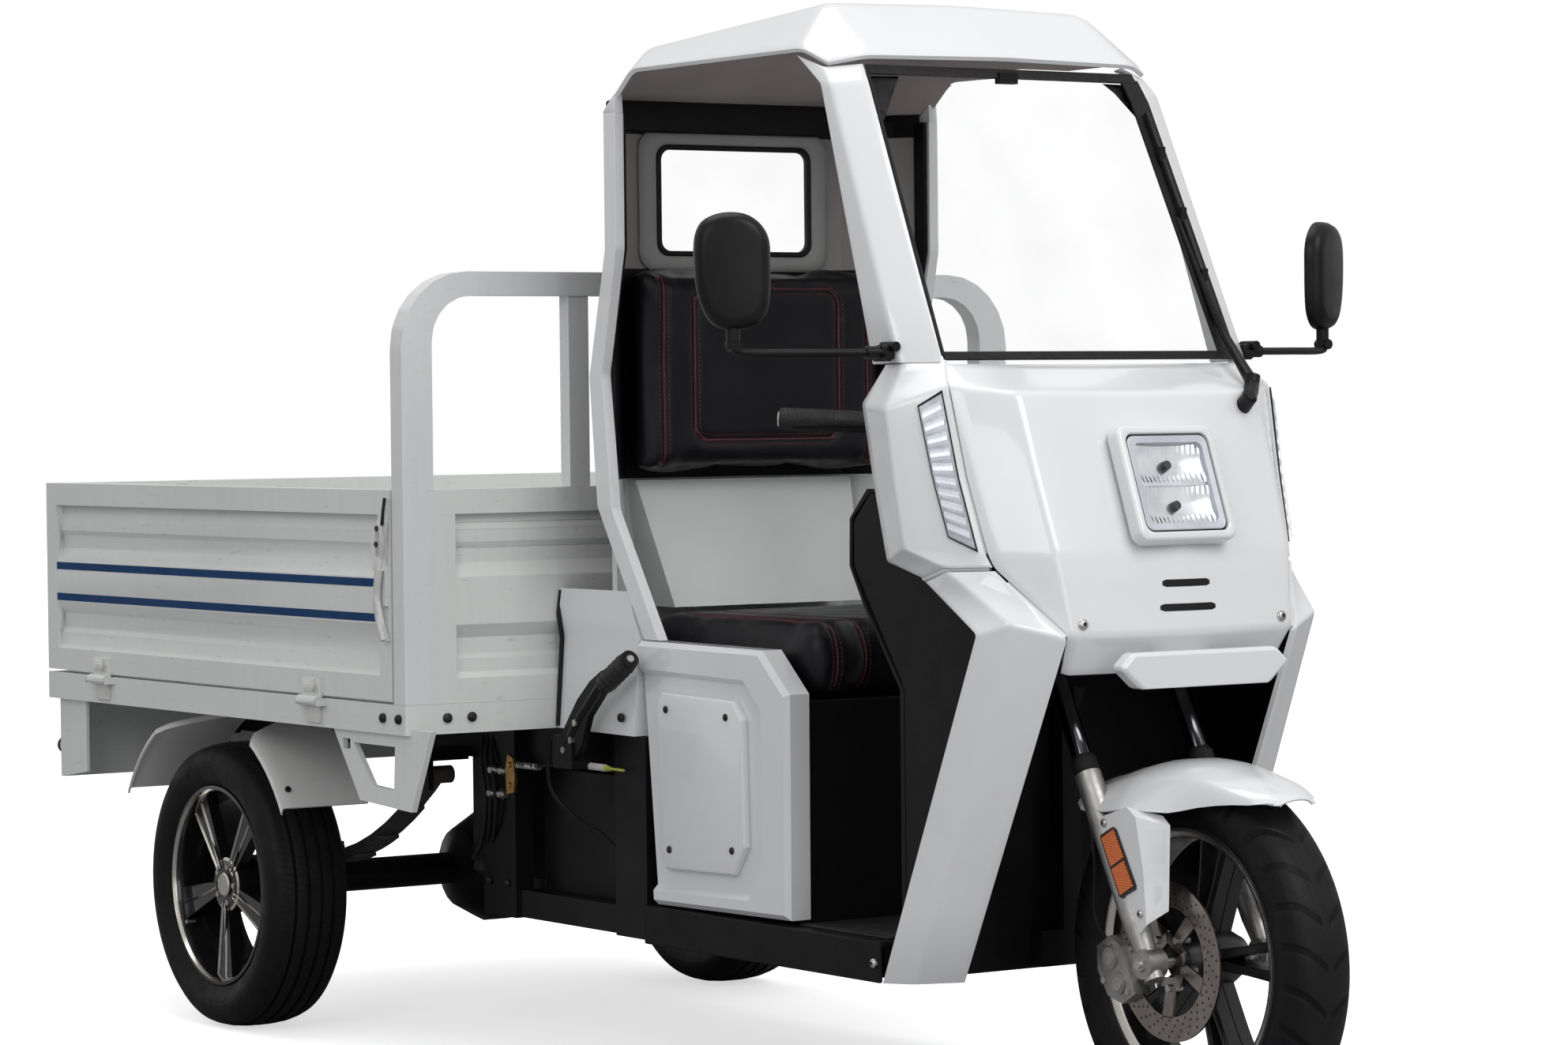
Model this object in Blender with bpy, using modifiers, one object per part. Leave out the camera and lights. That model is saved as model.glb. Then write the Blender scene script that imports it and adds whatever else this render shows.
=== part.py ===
"""Electric cargo tricycle with a roofed driver's cab and a drop-sided cargo box.

Metres, +Z up, front towards -Y, right-hand side at -X. The cargo box, its frame and the
rear wheels are measured from the rear axle, at y = 0. The steering and the cab are measured
from the front axle, and front_node moves them to it. The whole vehicle hangs on one empty
that puts the middle of its length at y = 0. Paired pieces are made for the right and mirrored.
"""
import bpy
import bmesh
import math
from mathutils import Matrix, Vector

# Overall layout
WHEELBASE = 2.15
GAP = 0.0003
RUN_GAP = 0.006

# Wheels
REAR_TYRE_RADIUS = 0.262
REAR_TYRE_WIDTH = 0.160
REAR_WHEEL_X = 0.522
REAR_BEAD_RADIUS = 0.184
FRONT_TYRE_RADIUS = 0.285
FRONT_TYRE_WIDTH = 0.112
FRONT_BEAD_RADIUS = 0.206
WHEEL_STEPS = 32
STUB_RADIUS = 0.0145
STUB_CLEARANCE = 0.0010
DISC_RADIUS = 0.122
DISC_X = 0.078
DISC_THICKNESS = 0.004

# Steering
RAKE = math.radians(28.0)
FORK_OFFSET = 0.035
FORK_LEG_X = 0.115
FORK_LEG_RADIUS = 0.021
FORK_TUBE_RADIUS = 0.016
STEM_RADIUS = 0.0150
HEAD_TUBE_BORE = 0.0158
HEAD_TUBE_RADIUS = 0.0260

# Cargo box; its front edge lies so far behind the front axle
BED_HALF_WIDTH = 0.636
BED_START = 1.350
BED_FRONT_Y = BED_START - WHEELBASE
BED_REAR_Y = 0.600
BED_RAIL = 0.040
DECK_SHEET = 0.012
DECK_RAISE = 0.002
BED_BASE_Z = 0.582
BED_TOP_Z = 0.633
BOARD_TOP_Z = 0.997
BOARD_THICKNESS = 0.036
BOARD_SHEET = 0.004
BOARD_VALLEY = 0.017
BOARD_RAIL = 0.042
BOARD_LIFT = 0.0055
HOOP_TOP_Z = 1.367
HOOP_TUBE = 0.060
HOOP_BAR = 0.041
HOOP_DEPTH = 0.038
HOOP_CORNER = 0.130
HINGE_OUT = 0.011
HINGE_Z = 0.628
HINGE_PIN_RADIUS = 0.0045
HINGE_EYE_BORE = 0.0053
HINGE_EYE_RADIUS = 0.0095
HINGE_LENGTH = 0.070

# Chassis
RAIL_X = 0.285
RAIL_WIDTH = 0.060
RAIL_LOW_Z = 0.512
RAIL_TOP_Z = BED_BASE_Z - GAP
FRAME_LOW_Z = 0.240
FLOOR_TOP_Z = 0.300
AXLE_TUBE_RADIUS = 0.030
SPRING_X = 0.360
SPRING_WIDTH = 0.045

# Cab, with y measured from the front axle
CAB_HALF_WIDTH = 0.336
FLOOR_HALF_WIDTH = 0.345
SEAT_REAR_Y = 1.060
SEAT_FRONT_Y = 0.650
SEAT_BOX_HALF_WIDTH = 0.300
SEAT_BOX_TOP_Z = 0.6595
SHELL = 0.004

REAR_STOP_Y = BED_REAR_Y + HINGE_OUT + HINGE_EYE_RADIUS
FRONT_END_Y = -(WHEELBASE + FRONT_TYRE_RADIUS)
MIDDLE_SHIFT = -(FRONT_END_Y + REAR_STOP_Y) / 2.0

for old in list(bpy.data.objects):
    bpy.data.objects.remove(old, do_unlink=True)

parts = bpy.data.collections.new("electric_cargo_tricycle")
bpy.context.scene.collection.children.link(parts)


def material(name, colour, roughness, metallic=0.0):
    """A Principled material of one colour."""
    mat = bpy.data.materials.new(name)
    mat.use_nodes = True
    shader = mat.node_tree.nodes["Principled BSDF"]
    shader.inputs["Base Color"].default_value = (*colour, 1.0)
    shader.inputs["Roughness"].default_value = roughness
    shader.inputs["Metallic"].default_value = metallic
    return mat


WHITE = material("white_body", (0.86, 0.86, 0.85), 0.3)
CREAM = material("cargo_white", (0.74, 0.75, 0.73), 0.35)
BLACK_STEEL = material("black_steel", (0.025, 0.025, 0.028), 0.45, 0.3)
BLACK_PLASTIC = material("black_plastic", (0.03, 0.03, 0.033), 0.5)
RUBBER = material("rubber", (0.02, 0.02, 0.021), 0.85)
ALLOY = material("alloy", (0.55, 0.55, 0.56), 0.3, 0.9)
BLACK_ALLOY = material("black_alloy", (0.03, 0.03, 0.032), 0.3, 0.5)
STEEL = material("steel", (0.5, 0.5, 0.5), 0.35, 0.95)
LEATHER = material("seat_cover", (0.02, 0.02, 0.03), 0.55)
CLEAR = material("clear_lens", (0.85, 0.88, 0.9), 0.08)
GLASS = material("glass", (0.85, 0.9, 0.9), 0.03)


def as_object(bm):
    """A loose mesh object from a bmesh, with its faces turned outwards."""
    bm.normal_update()
    bmesh.ops.recalc_face_normals(bm, faces=bm.faces)
    mesh = bpy.data.meshes.new("piece")
    bm.to_mesh(mesh)
    bm.free()
    obj = bpy.data.objects.new("piece", mesh)
    bpy.context.scene.collection.objects.link(obj)
    return obj


def evaluated(obj):
    """The object's evaluated shape as a plain welded mesh object in world space."""
    bpy.context.view_layer.update()
    deps = bpy.context.evaluated_depsgraph_get()
    mesh = bpy.data.meshes.new_from_object(obj.evaluated_get(deps))
    mesh.transform(obj.matrix_world)
    bpy.data.objects.remove(obj, do_unlink=True)
    bm = bmesh.new()
    bm.from_mesh(mesh)
    bmesh.ops.remove_doubles(bm, verts=bm.verts, dist=0.00002)
    return as_object(bm)


def box(low, high):
    """A box between two corners."""
    bm = bmesh.new()
    bmesh.ops.create_cube(bm, size=1.0)
    for vert in bm.verts:
        for k in range(3):
            vert.co[k] = low[k] + (vert.co[k] + 0.5) * (high[k] - low[k])
    return as_object(bm)


def rod(start, end, radius, sides=16, end_radius=None):
    """A round bar, or a cone where end_radius is given."""
    start = Vector(start)
    end = Vector(end)
    bm = bmesh.new()
    bmesh.ops.create_cone(bm, cap_ends=True, cap_tris=False, segments=sides, radius1=radius,
                          radius2=radius if end_radius is None else end_radius,
                          depth=(end - start).length)
    turn = (end - start).to_track_quat("Z", "Y").to_matrix().to_4x4()
    bm.transform(Matrix.Translation((start + end) / 2.0) @ turn)
    return as_object(bm)


PLANES = {"X": (1, 2, 0), "Y": (0, 2, 1), "Z": (0, 1, 2)}


def plate(outline, axis, low, high):
    """A flat outline, square to an axis, extruded from low to high along it."""
    curve = bpy.data.curves.new("outline", "CURVE")
    curve.dimensions = "2D"
    curve.fill_mode = "BOTH"
    curve.extrude = (high - low) / 2.0
    spline = curve.splines.new("POLY")
    spline.points.add(len(outline) - 1)
    for point, (u, v) in zip(spline.points, outline):
        point.co = (u, v, 0.0, 1.0)
    spline.use_cyclic_u = True
    obj = bpy.data.objects.new("outline", curve)
    bpy.context.scene.collection.objects.link(obj)
    obj = evaluated(obj)
    first, second, third = PLANES[axis]
    middle = (high + low) / 2.0
    bm = bmesh.new()
    bm.from_mesh(obj.data)
    for vert in bm.verts:
        u, v, w = vert.co
        vert.co[first] = u
        vert.co[second] = v
        vert.co[third] = w + middle
    bpy.data.objects.remove(obj, do_unlink=True)
    return as_object(bm)


def swept(points, radius, resolution=2):
    """A round tube along points."""
    curve = bpy.data.curves.new("path", "CURVE")
    curve.dimensions = "3D"
    curve.bevel_depth = radius
    curve.bevel_resolution = resolution
    curve.use_fill_caps = True
    spline = curve.splines.new("POLY")
    spline.points.add(len(points) - 1)
    for point, place in zip(spline.points, points):
        point.co = (*place, 1.0)
    obj = bpy.data.objects.new("path", curve)
    bpy.context.scene.collection.objects.link(obj)
    return evaluated(obj)


def turned(profile, centre, steps=40):
    """A closed (x, radius) profile turned about the X line through centre."""
    bm = bmesh.new()
    verts = [bm.verts.new((x, 0.0, r)) for x, r in profile]
    for k, vert in enumerate(verts):
        bm.edges.new((vert, verts[(k + 1) % len(verts)]))
    mesh = bpy.data.meshes.new("profile")
    bm.to_mesh(mesh)
    bm.free()
    obj = bpy.data.objects.new("profile", mesh)
    bpy.context.scene.collection.objects.link(obj)
    screw = obj.modifiers.new("turn", "SCREW")
    screw.axis = "X"
    screw.steps = steps
    screw.render_steps = steps
    screw.use_merge_vertices = True
    screw.merge_threshold = 0.00005
    obj.location = centre
    return evaluated(obj)


def loft(sections):
    """A closed solid through closed sections with equal numbers of points."""
    bm = bmesh.new()
    rings = [[bm.verts.new(p) for p in section] for section in sections]
    for low, high in zip(rings, rings[1:]):
        for k in range(len(low)):
            n = (k + 1) % len(low)
            bm.faces.new((low[k], low[n], high[n], high[k]))
    bm.faces.new(rings[0])
    bm.faces.new(rings[-1])
    return as_object(bm)


def patch_point(rows, s, t):
    """A point of the bilinear net through rows; s runs across and t down, in cells."""
    i = min(int(t), len(rows) - 2)
    j = min(int(s), len(rows[0]) - 2)
    a = t - i
    b = s - j
    top = Vector(rows[i][j]).lerp(Vector(rows[i][j + 1]), b)
    low = Vector(rows[i + 1][j]).lerp(Vector(rows[i + 1][j + 1]), b)
    return top.lerp(low, a)


def shell(rows, thickness):
    """An open net of points given a wall by Solidify; rows run so that faces point out."""
    bm = bmesh.new()
    net = [[bm.verts.new(p) for p in row] for row in rows]
    for upper, lower in zip(net, net[1:]):
        for k in range(len(upper) - 1):
            bm.faces.new((upper[k], lower[k], lower[k + 1], upper[k + 1]))
    mesh = bpy.data.meshes.new("shell")
    bm.to_mesh(mesh)
    bm.free()
    obj = bpy.data.objects.new("shell", mesh)
    bpy.context.scene.collection.objects.link(obj)
    wall = obj.modifiers.new("wall", "SOLIDIFY")
    wall.thickness = thickness
    wall.offset = -1.0
    wall.use_even_offset = True
    return evaluated(obj)


def combine(base, others, operation):
    """The base after a Boolean with each of the others, which are used up."""
    for other in others:
        modifier = base.modifiers.new("combine", "BOOLEAN")
        modifier.operation = operation
        modifier.solver = "EXACT"
        modifier.object = other
        result = evaluated(base)
        bpy.data.objects.remove(other, do_unlink=True)
        base = result
    return base


def union(*pieces):
    """One solid from pieces that overlap."""
    return combine(pieces[0], pieces[1:], "UNION")


def cut(base, *cutters):
    """The base without the cutters."""
    return combine(base, cutters, "DIFFERENCE")


def bevelled(obj, width, segments=1, angle=math.radians(35.0)):
    """The object with its sharp edges bevelled."""
    modifier = obj.modifiers.new("edge", "BEVEL")
    modifier.width = width
    modifier.segments = segments
    modifier.limit_method = "ANGLE"
    modifier.angle_limit = angle
    return evaluated(obj)


def empty(name, place, parent=None):
    """An empty on a joint's axis, or the one that carries the whole vehicle."""
    obj = bpy.data.objects.new(name, None)
    obj.empty_display_size = 0.1
    parts.objects.link(obj)
    obj.location = place
    if parent is not None:
        obj.parent = parent
        obj.location = Vector(place) - parent_place(parent)
    return obj


def parent_place(obj):
    """Where an empty lies in the sizes' own frame, with the rear axle at y = 0."""
    place = Vector(obj.location)
    while obj.parent is not None:
        obj = obj.parent
        place += Vector(obj.location)
    return place - Vector((0.0, MIDDLE_SHIFT, 0.0))


def node(name, piece, mat, carrier, smooth=False):
    """The named sub-part from a finished shape, carried by an empty."""
    mesh = piece.data
    mesh.transform(Matrix.Translation(-parent_place(carrier)))
    bpy.data.objects.remove(piece, do_unlink=True)
    mesh.name = name
    mesh.materials.clear()
    mesh.materials.append(mat)
    if smooth:
        mesh.shade_smooth()
        mesh.set_sharp_from_angle(angle=math.radians(32.0))
    obj = bpy.data.objects.new(name, mesh)
    obj.parent = carrier
    parts.objects.link(obj)
    return obj


def mirrored(piece):
    """A copy of a shape on the other side of the vehicle."""
    bm = bmesh.new()
    bm.from_mesh(piece.data)
    for vert in bm.verts:
        vert.co.x = -vert.co.x
    bmesh.ops.reverse_faces(bm, faces=bm.faces)
    return as_object(bm)


def pair(name, piece, mat, smooth=False):
    """A right-hand piece and its mirrored twin, both on the chassis."""
    twin = mirrored(piece)
    node(name + "_right", piece, mat, vehicle, smooth)
    node(name + "_left", twin, mat, vehicle, smooth)


FRONT = Vector((0.0, -WHEELBASE, 0.0))


def front_node(name, piece, mat, carrier, smooth=False):
    """A sub-part that is measured from the front axle."""
    piece.data.transform(Matrix.Translation(FRONT))
    node(name, piece, mat, carrier, smooth)


def front_pair(name, piece, mat, smooth=False):
    """A pair of sub-parts that are measured from the front axle."""
    piece.data.transform(Matrix.Translation(FRONT))
    pair(name, piece, mat, smooth)


vehicle = bpy.data.objects.new("vehicle", None)
vehicle.empty_display_size = 0.2
parts.objects.link(vehicle)
vehicle.location = (0.0, MIDDLE_SHIFT, 0.0)


# Cargo bed: a welded tray of square rails, ribs and deck sheet
GUARD_SHEET = 0.010
GUARD_INSET = 0.010


def side_guard():
    """Perforated bracket under the front corner of the bed."""
    # columns: y behind the bed's front edge, z
    outer = ((0.280, BED_BASE_Z + 0.010), (0.180, 0.462), (0.000, 0.452), (-0.070, BED_BASE_Z + 0.010))
    large = ((0.200, 0.560), (0.135, 0.490), (0.060, 0.486), (0.055, 0.560))
    small = ((0.212, 0.548), (0.238, 0.548), (0.238, 0.566), (0.212, 0.566))
    outside = -(BED_HALF_WIDTH - GUARD_INSET)
    inside = outside + GUARD_SHEET
    sheet = plate([(BED_FRONT_Y + y, z) for y, z in outer], "X", outside, inside)
    windows = []
    for outline in (large, small):
        windows.append(plate([(BED_FRONT_Y + y, z) for y, z in outline], "X",
                             outside - GUARD_SHEET, inside + GUARD_SHEET))
    return cut(sheet, *windows)


SIDE_HINGES = (BED_REAR_Y - 0.245, BED_FRONT_Y + 0.320)
GATE_HINGES = (-(BED_HALF_WIDTH - 0.256), BED_HALF_WIDTH - 0.256)


def cargo_floor():
    """Side rails, six ribs, the deck sheet and its raised middle between the boards."""
    w = BED_HALF_WIDTH
    middle_w = w - BOARD_THICKNESS - RUN_GAP
    middle_front = BED_FRONT_Y + HOOP_DEPTH + RUN_GAP
    middle_rear = BED_REAR_Y - BOARD_THICKNESS - RUN_GAP
    pieces = [
        box((-w, BED_FRONT_Y, BED_TOP_Z - DECK_SHEET), (w, BED_REAR_Y, BED_TOP_Z)),
        box((-middle_w, middle_front, BED_TOP_Z - DECK_SHEET / 2.0),
            (middle_w, middle_rear, BED_TOP_Z + DECK_RAISE)),
    ]
    for side in (-1, 1):
        edges = sorted((side * w, side * (w - BED_RAIL)))
        pieces.append(box((edges[0], BED_FRONT_Y, BED_BASE_Z), (edges[1], BED_REAR_Y, BED_TOP_Z - 0.002)))
    last_rib = BED_REAR_Y - BED_RAIL
    for share in (0.0, 0.176, 0.375, 0.632, 0.831, 1.0):
        y = BED_FRONT_Y + (last_rib - BED_FRONT_Y) * share
        pieces.append(box((-w + 0.01, y, BED_BASE_Z), (w - 0.01, y + BED_RAIL, BED_TOP_Z - 0.003)))
    tray = union(*pieces)
    pins = []
    for side in (-1, 1):
        for y in SIDE_HINGES:
            pins += hinge_pin((side * (w + HINGE_OUT), y, HINGE_Z), (0, 1, 0), (-side, 0, 0))
    for x in GATE_HINGES:
        pins += hinge_pin((x, BED_REAR_Y + HINGE_OUT, HINGE_Z), (1, 0, 0), (0, -1, 0))
    guard = side_guard()
    return union(tray, guard, mirrored(guard), *pins)


def along(centre, direction, low, high):
    """Two points on a line through centre."""
    centre = Vector(centre)
    direction = Vector(direction)
    return centre + direction * low, centre + direction * high


def hinge_pin(centre, direction, inwards):
    """A pin with an ear at each end that reaches back into the bed's rail."""
    half = HINGE_LENGTH / 2.0
    ear = 0.006
    clear = 0.003
    start, end = along(centre, direction, -half - clear - ear, half + clear + ear)
    pieces = [rod(start, end, HINGE_PIN_RADIUS, 8)]
    for side in (-1, 1):
        edges = sorted((side * (half + clear), side * (half + clear + ear)))
        p, q = along(centre, direction, edges[0], edges[1])
        reach = Vector(inwards) * (HINGE_OUT + 0.004)
        low = [min(p[k], q[k], p[k] + reach[k]) for k in range(3)]
        high = [max(p[k], q[k], p[k] + reach[k]) for k in range(3)]
        across = 0 if direction[0] == 0 else 1
        for k in (across, 2):
            if inwards[k] >= 0:
                low[k] -= 0.008
            if inwards[k] <= 0:
                high[k] += 0.008
        high[2] = min(high[2], BED_TOP_Z - 0.001)
        pieces.append(box(low, high))
    return pieces


def corrugated_board(length, bottom, top):
    """A drop board lying along X, its inner face at y = 0: frame rails and a pressed sheet."""
    half = length / 2.0
    depth = BOARD_THICKNESS
    rail = BOARD_RAIL
    frame = [
        box((-half, 0.0, top - rail), (half, depth, top)),
        box((-half, 0.0, bottom), (half, depth, bottom + rail)),
        box((-half, 0.0, bottom + 0.002), (-half + rail, depth, top - 0.002)),
        box((half - rail, 0.0, bottom + 0.002), (half, depth, top - 0.002)),
    ]
    floor = depth - BOARD_VALLEY
    flush = depth - 0.001
    low = bottom + rail
    high = top - rail
    band = (high - low) / 9.0
    wave = [
        (flush, low - 0.006), (flush, low), (floor + 0.007, low + 0.35 * band),
        (floor + 0.007, low + band), (floor, low + 1.3 * band), (floor, low + 2.2 * band),
        (flush, low + 2.9 * band), (flush, low + 5.5 * band), (floor, low + 6.3 * band),
        (floor, low + 7.1 * band), (floor + 0.006, low + 7.4 * band),
        (floor + 0.006, low + 8.1 * band), (floor, low + 8.5 * band), (floor, high + 0.006),
    ]
    inner = [(t - BOARD_SHEET, z) for t, z in reversed(wave)]
    sheet = plate(wave + inner, "X", -half + rail - 0.008, half - rail + 0.008)
    return union(*frame, sheet)


def hinge_eye(centre, direction, outwards, board_outer):
    """The board's half of a hinge: an eye round the pin and a strap up the board's face."""
    half = HINGE_LENGTH / 2.0
    start, end = along(centre, direction, -half, half)
    eye = rod(start, end, HINGE_EYE_RADIUS, 10)
    strap_low = []
    strap_high = []
    for k in range(3):
        if k == 2:
            strap_low.append(centre[2])
            strap_high.append(BED_TOP_Z + BOARD_LIFT + 0.030)
        elif outwards[k]:
            near = board_outer + outwards[k] * 0.0012
            far = board_outer + outwards[k] * 0.0070
            strap_low.append(min(near, far))
            strap_high.append(max(near, far))
        else:
            strap_low.append(centre[k] - half + 0.004)
            strap_high.append(centre[k] + half - 0.004)
    strap = box(strap_low, strap_high)
    foot_low = list(strap_low)
    foot_high = list(strap_high)
    foot_low[2] = BED_TOP_Z + BOARD_LIFT + 0.002
    for k in range(2):
        if outwards[k] > 0:
            foot_low[k] = board_outer - 0.004
        if outwards[k] < 0:
            foot_high[k] = board_outer + 0.004
    foot = box(foot_low, foot_high)
    bore_start, bore_end = along(centre, direction, -half - 0.01, half + 0.01)
    return cut(union(eye, strap, foot), rod(bore_start, bore_end, HINGE_EYE_BORE, 10))


def toggle_latch(board_outer):
    """Over-centre clasp on a side board's front stile."""
    x = -board_outer
    y = BED_FRONT_Y + 0.065
    plate_back = box((x - 0.006, y - 0.012, 0.800), (x + 0.002, y + 0.012, 0.965))
    hook = box((x - 0.016, y - 0.010, 0.860), (x - 0.004, y + 0.016, 0.925))
    handle = swept([(x - 0.010, y, 0.880), (x - 0.016, y + 0.004, 0.820), (x - 0.010, y - 0.006, 0.765),
                    (x - 0.004, y - 0.012, 0.740)], 0.006, 1)
    return [plate_back, hook, handle]


node("cargo_floor", cargo_floor(), CREAM, vehicle)

side_axis_x = BED_HALF_WIDTH + HINGE_OUT
gate_axis_y = BED_REAR_Y + HINGE_OUT
board_bottom = BED_TOP_Z + BOARD_LIFT
post_rear_y = BED_FRONT_Y + HOOP_DEPTH
side_board_front = post_rear_y + RUN_GAP
side_board_length = BED_REAR_Y - side_board_front


def side_board():
    """The right-hand drop side with its two hinge eyes and its clasp."""
    panel = corrugated_board(side_board_length, board_bottom, BOARD_TOP_Z)
    # the board's inner face, at y = 0, is turned to face +X
    turn = Matrix.Rotation(math.radians(90.0), 4, "Z")
    middle = (BED_REAR_Y + side_board_front) / 2.0
    place = Matrix.Translation((-(BED_HALF_WIDTH - BOARD_THICKNESS), middle, 0.0))
    panel.data.transform(place @ turn)
    outer = -BED_HALF_WIDTH
    fittings = toggle_latch(BED_HALF_WIDTH)
    for y in SIDE_HINGES:
        fittings.append(hinge_eye((-side_axis_x, y, HINGE_Z), (0, 1, 0), (-1, 0, 0), outer))
    return union(panel, *fittings)


right_hinge = empty("side_board_hinge_right", (-side_axis_x, 0.0, HINGE_Z), vehicle)
left_hinge = empty("side_board_hinge_left", (side_axis_x, 0.0, HINGE_Z), vehicle)
right_board = side_board()
left_board = mirrored(right_board)
node("side_board_right", right_board, CREAM, right_hinge)
node("side_board_left", left_board, CREAM, left_hinge)


def tailgate():
    """The rear drop board between the two sides."""
    half = BED_HALF_WIDTH - BOARD_THICKNESS - RUN_GAP
    panel = corrugated_board(2.0 * half, board_bottom, BOARD_TOP_Z)
    outer = BED_REAR_Y - 0.002
    panel.data.transform(Matrix.Translation((0.0, outer - BOARD_THICKNESS, 0.0)))
    fittings = []
    for x in GATE_HINGES:
        fittings.append(hinge_eye((x, gate_axis_y, HINGE_Z), (1, 0, 0), (0, 1, 0), outer + 0.002))
    return union(panel, *fittings)


gate_hinge = empty("tailgate_hinge", (0.0, gate_axis_y, HINGE_Z), vehicle)
node("tailgate", tailgate(), CREAM, gate_hinge)


def arc(centre, radius, start, end, steps):
    """Points on an arc, angles in degrees."""
    points = []
    for k in range(steps + 1):
        angle = math.radians(start + (end - start) * k / steps)
        points.append((centre[0] + radius * math.cos(angle), centre[1] + radius * math.sin(angle)))
    return points


def headboard_hoop():
    """The arched tube in front of the box, with two posts that stand on the front board."""
    w = BED_HALF_WIDTH
    base = BED_TOP_Z + GAP
    outer = [(w, base)]
    outer += arc((w - HOOP_CORNER, HOOP_TOP_Z - HOOP_CORNER), HOOP_CORNER, 0, 90, 6)
    outer += [(-x, z) for x, z in reversed(outer)]
    inner_r = HOOP_CORNER - 0.052
    inner = [(w - HOOP_TUBE, base)]
    inner += arc((w - HOOP_TUBE - inner_r, HOOP_TOP_Z - HOOP_BAR - inner_r), inner_r, 0, 90, 5)
    inner += [(-x, z) for x, z in reversed(inner)]
    arch = plate(outer + inner[::-1], "Y", BED_FRONT_Y, BED_FRONT_Y + HOOP_DEPTH)
    posts = []
    for side in (-1, 1):
        x = sorted((side * 0.262, side * 0.302))
        posts.append(box((x[0], BED_FRONT_Y + 0.004, BOARD_TOP_Z + GAP),
                         (x[1], BED_FRONT_Y + HOOP_DEPTH - 0.004, HOOP_TOP_Z - HOOP_BAR + 0.01)))
    return union(arch, *posts)


node("headboard_hoop", headboard_hoop(), CREAM, vehicle)


def front_board():
    """The fixed front board between the hoop's legs, its pressed face to the front."""
    panel = corrugated_board(2.0 * (BED_HALF_WIDTH - HOOP_TUBE - GAP), BED_TOP_Z + GAP, BOARD_TOP_Z)
    turn = Matrix.Rotation(math.pi, 4, "Z")
    panel.data.transform(Matrix.Translation((0.0, BED_FRONT_Y + HOOP_DEPTH - 0.001, 0.0)) @ turn)
    return panel


node("front_board", front_board(), CREAM, vehicle)


# Chassis frame; y values that start with FRONT.y go with the cab
LOW_RAIL_TOP_Z = FLOOR_TOP_Z - 0.0098
POST_INNER_X = 0.300
POST_OUTER_X = SPRING_X - SPRING_WIDTH / 2.0 - GAP
CROSS_BAR_X = POST_INNER_X + 0.010
CROSS_BAR = 0.021
HANGER_OUT = 0.034
HANGER_LENGTH = 0.036
FRAME_REAR_Y = BED_REAR_Y - 0.100
SPRING_HALF = FRAME_REAR_Y - 0.068
SPRING_EYE_Z = 0.480


def main_frame():
    """Two upper rails under the bed, two low rails under the cab, posts and cross bars."""
    inner = RAIL_X - RAIL_WIDTH / 2.0
    outer = RAIL_X + RAIL_WIDTH / 2.0
    hanger_in = SPRING_X + SPRING_WIDTH / 2.0 + GAP
    front = FRONT.y
    # columns: near x, far x, front y, rear y, low z, top z
    paired = [
        (inner, outer, front + 1.075, FRAME_REAR_Y, RAIL_LOW_Z, RAIL_TOP_Z),
        (POST_INNER_X, POST_OUTER_X, front + 1.495, front + 1.605, FRAME_LOW_Z, RAIL_TOP_Z - 0.001),
        (POST_INNER_X, POST_OUTER_X, front + 1.066, front + 1.165, FRAME_LOW_Z, RAIL_TOP_Z - 0.001),
        (POST_INNER_X - 0.002, 0.330, front + 0.386, front + 1.550, FRAME_LOW_Z + 0.002, LOW_RAIL_TOP_Z),
    ]
    for y in (-SPRING_HALF - HANGER_LENGTH / 2.0, SPRING_HALF - HANGER_LENGTH / 2.0 + 0.016):
        paired.append((outer - 0.005, SPRING_X + HANGER_OUT + 0.001, y, y + HANGER_LENGTH, 0.506, 0.530))
        paired.append((hanger_in, SPRING_X + HANGER_OUT, y, y + HANGER_LENGTH, 0.455, 0.520))
    pieces = []
    for x0, x1, y0, y1, z0, z1 in paired:
        for side in (-1, 1):
            near, far = sorted((side * x0, side * x1))
            pieces.append(box((near, y0, z0), (far, y1, z1)))
    # columns: half length, front y, rear y, low z, top z
    bars = (
        (RAIL_X, SPRING_HALF + 0.008, SPRING_HALF + 0.048, 0.530, 0.570),
        (RAIL_X, -SPRING_HALF - 0.008, -SPRING_HALF + 0.032, 0.530, 0.570),
        (RAIL_X, front + 1.110, front + 1.155, 0.530, 0.570),
        (CROSS_BAR_X, front + 1.500, front + 1.540, FRAME_LOW_Z + 0.001, FRAME_LOW_Z + CROSS_BAR),
        (CROSS_BAR_X, front + 1.110, front + 1.150, FRAME_LOW_Z + 0.001, FRAME_LOW_Z + CROSS_BAR),
        (CROSS_BAR_X, front + 0.386, front + 0.426, FRAME_LOW_Z + 0.001, FRAME_LOW_Z + CROSS_BAR),
    )
    for half, y0, y1, z0, z1 in bars:
        pieces.append(box((-half, y0, z0), (half, y1, z1)))
    return union(*pieces)


node("main_frame", main_frame(), BLACK_STEEL, vehicle)

battery_x = RAIL_X
battery = box((-battery_x, FRONT.y + 1.165, FRAME_LOW_Z + CROSS_BAR + GAP),
              (battery_x, FRONT.y + 1.488, RAIL_LOW_Z - GAP))
node("battery_pack", bevelled(battery, 0.008), BLACK_PLASTIC, vehicle)


# Rear axle, springs and motor
AXLE_Z = REAR_TYRE_RADIUS
hub_face_x = REAR_WHEEL_X - 0.052


def drive_motor():
    start = (-0.06, -0.205, AXLE_Z + 0.020)
    body = rod(start, (0.19, -0.205, AXLE_Z + 0.020), 0.088, 24)
    return bevelled(body, 0.010)


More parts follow.
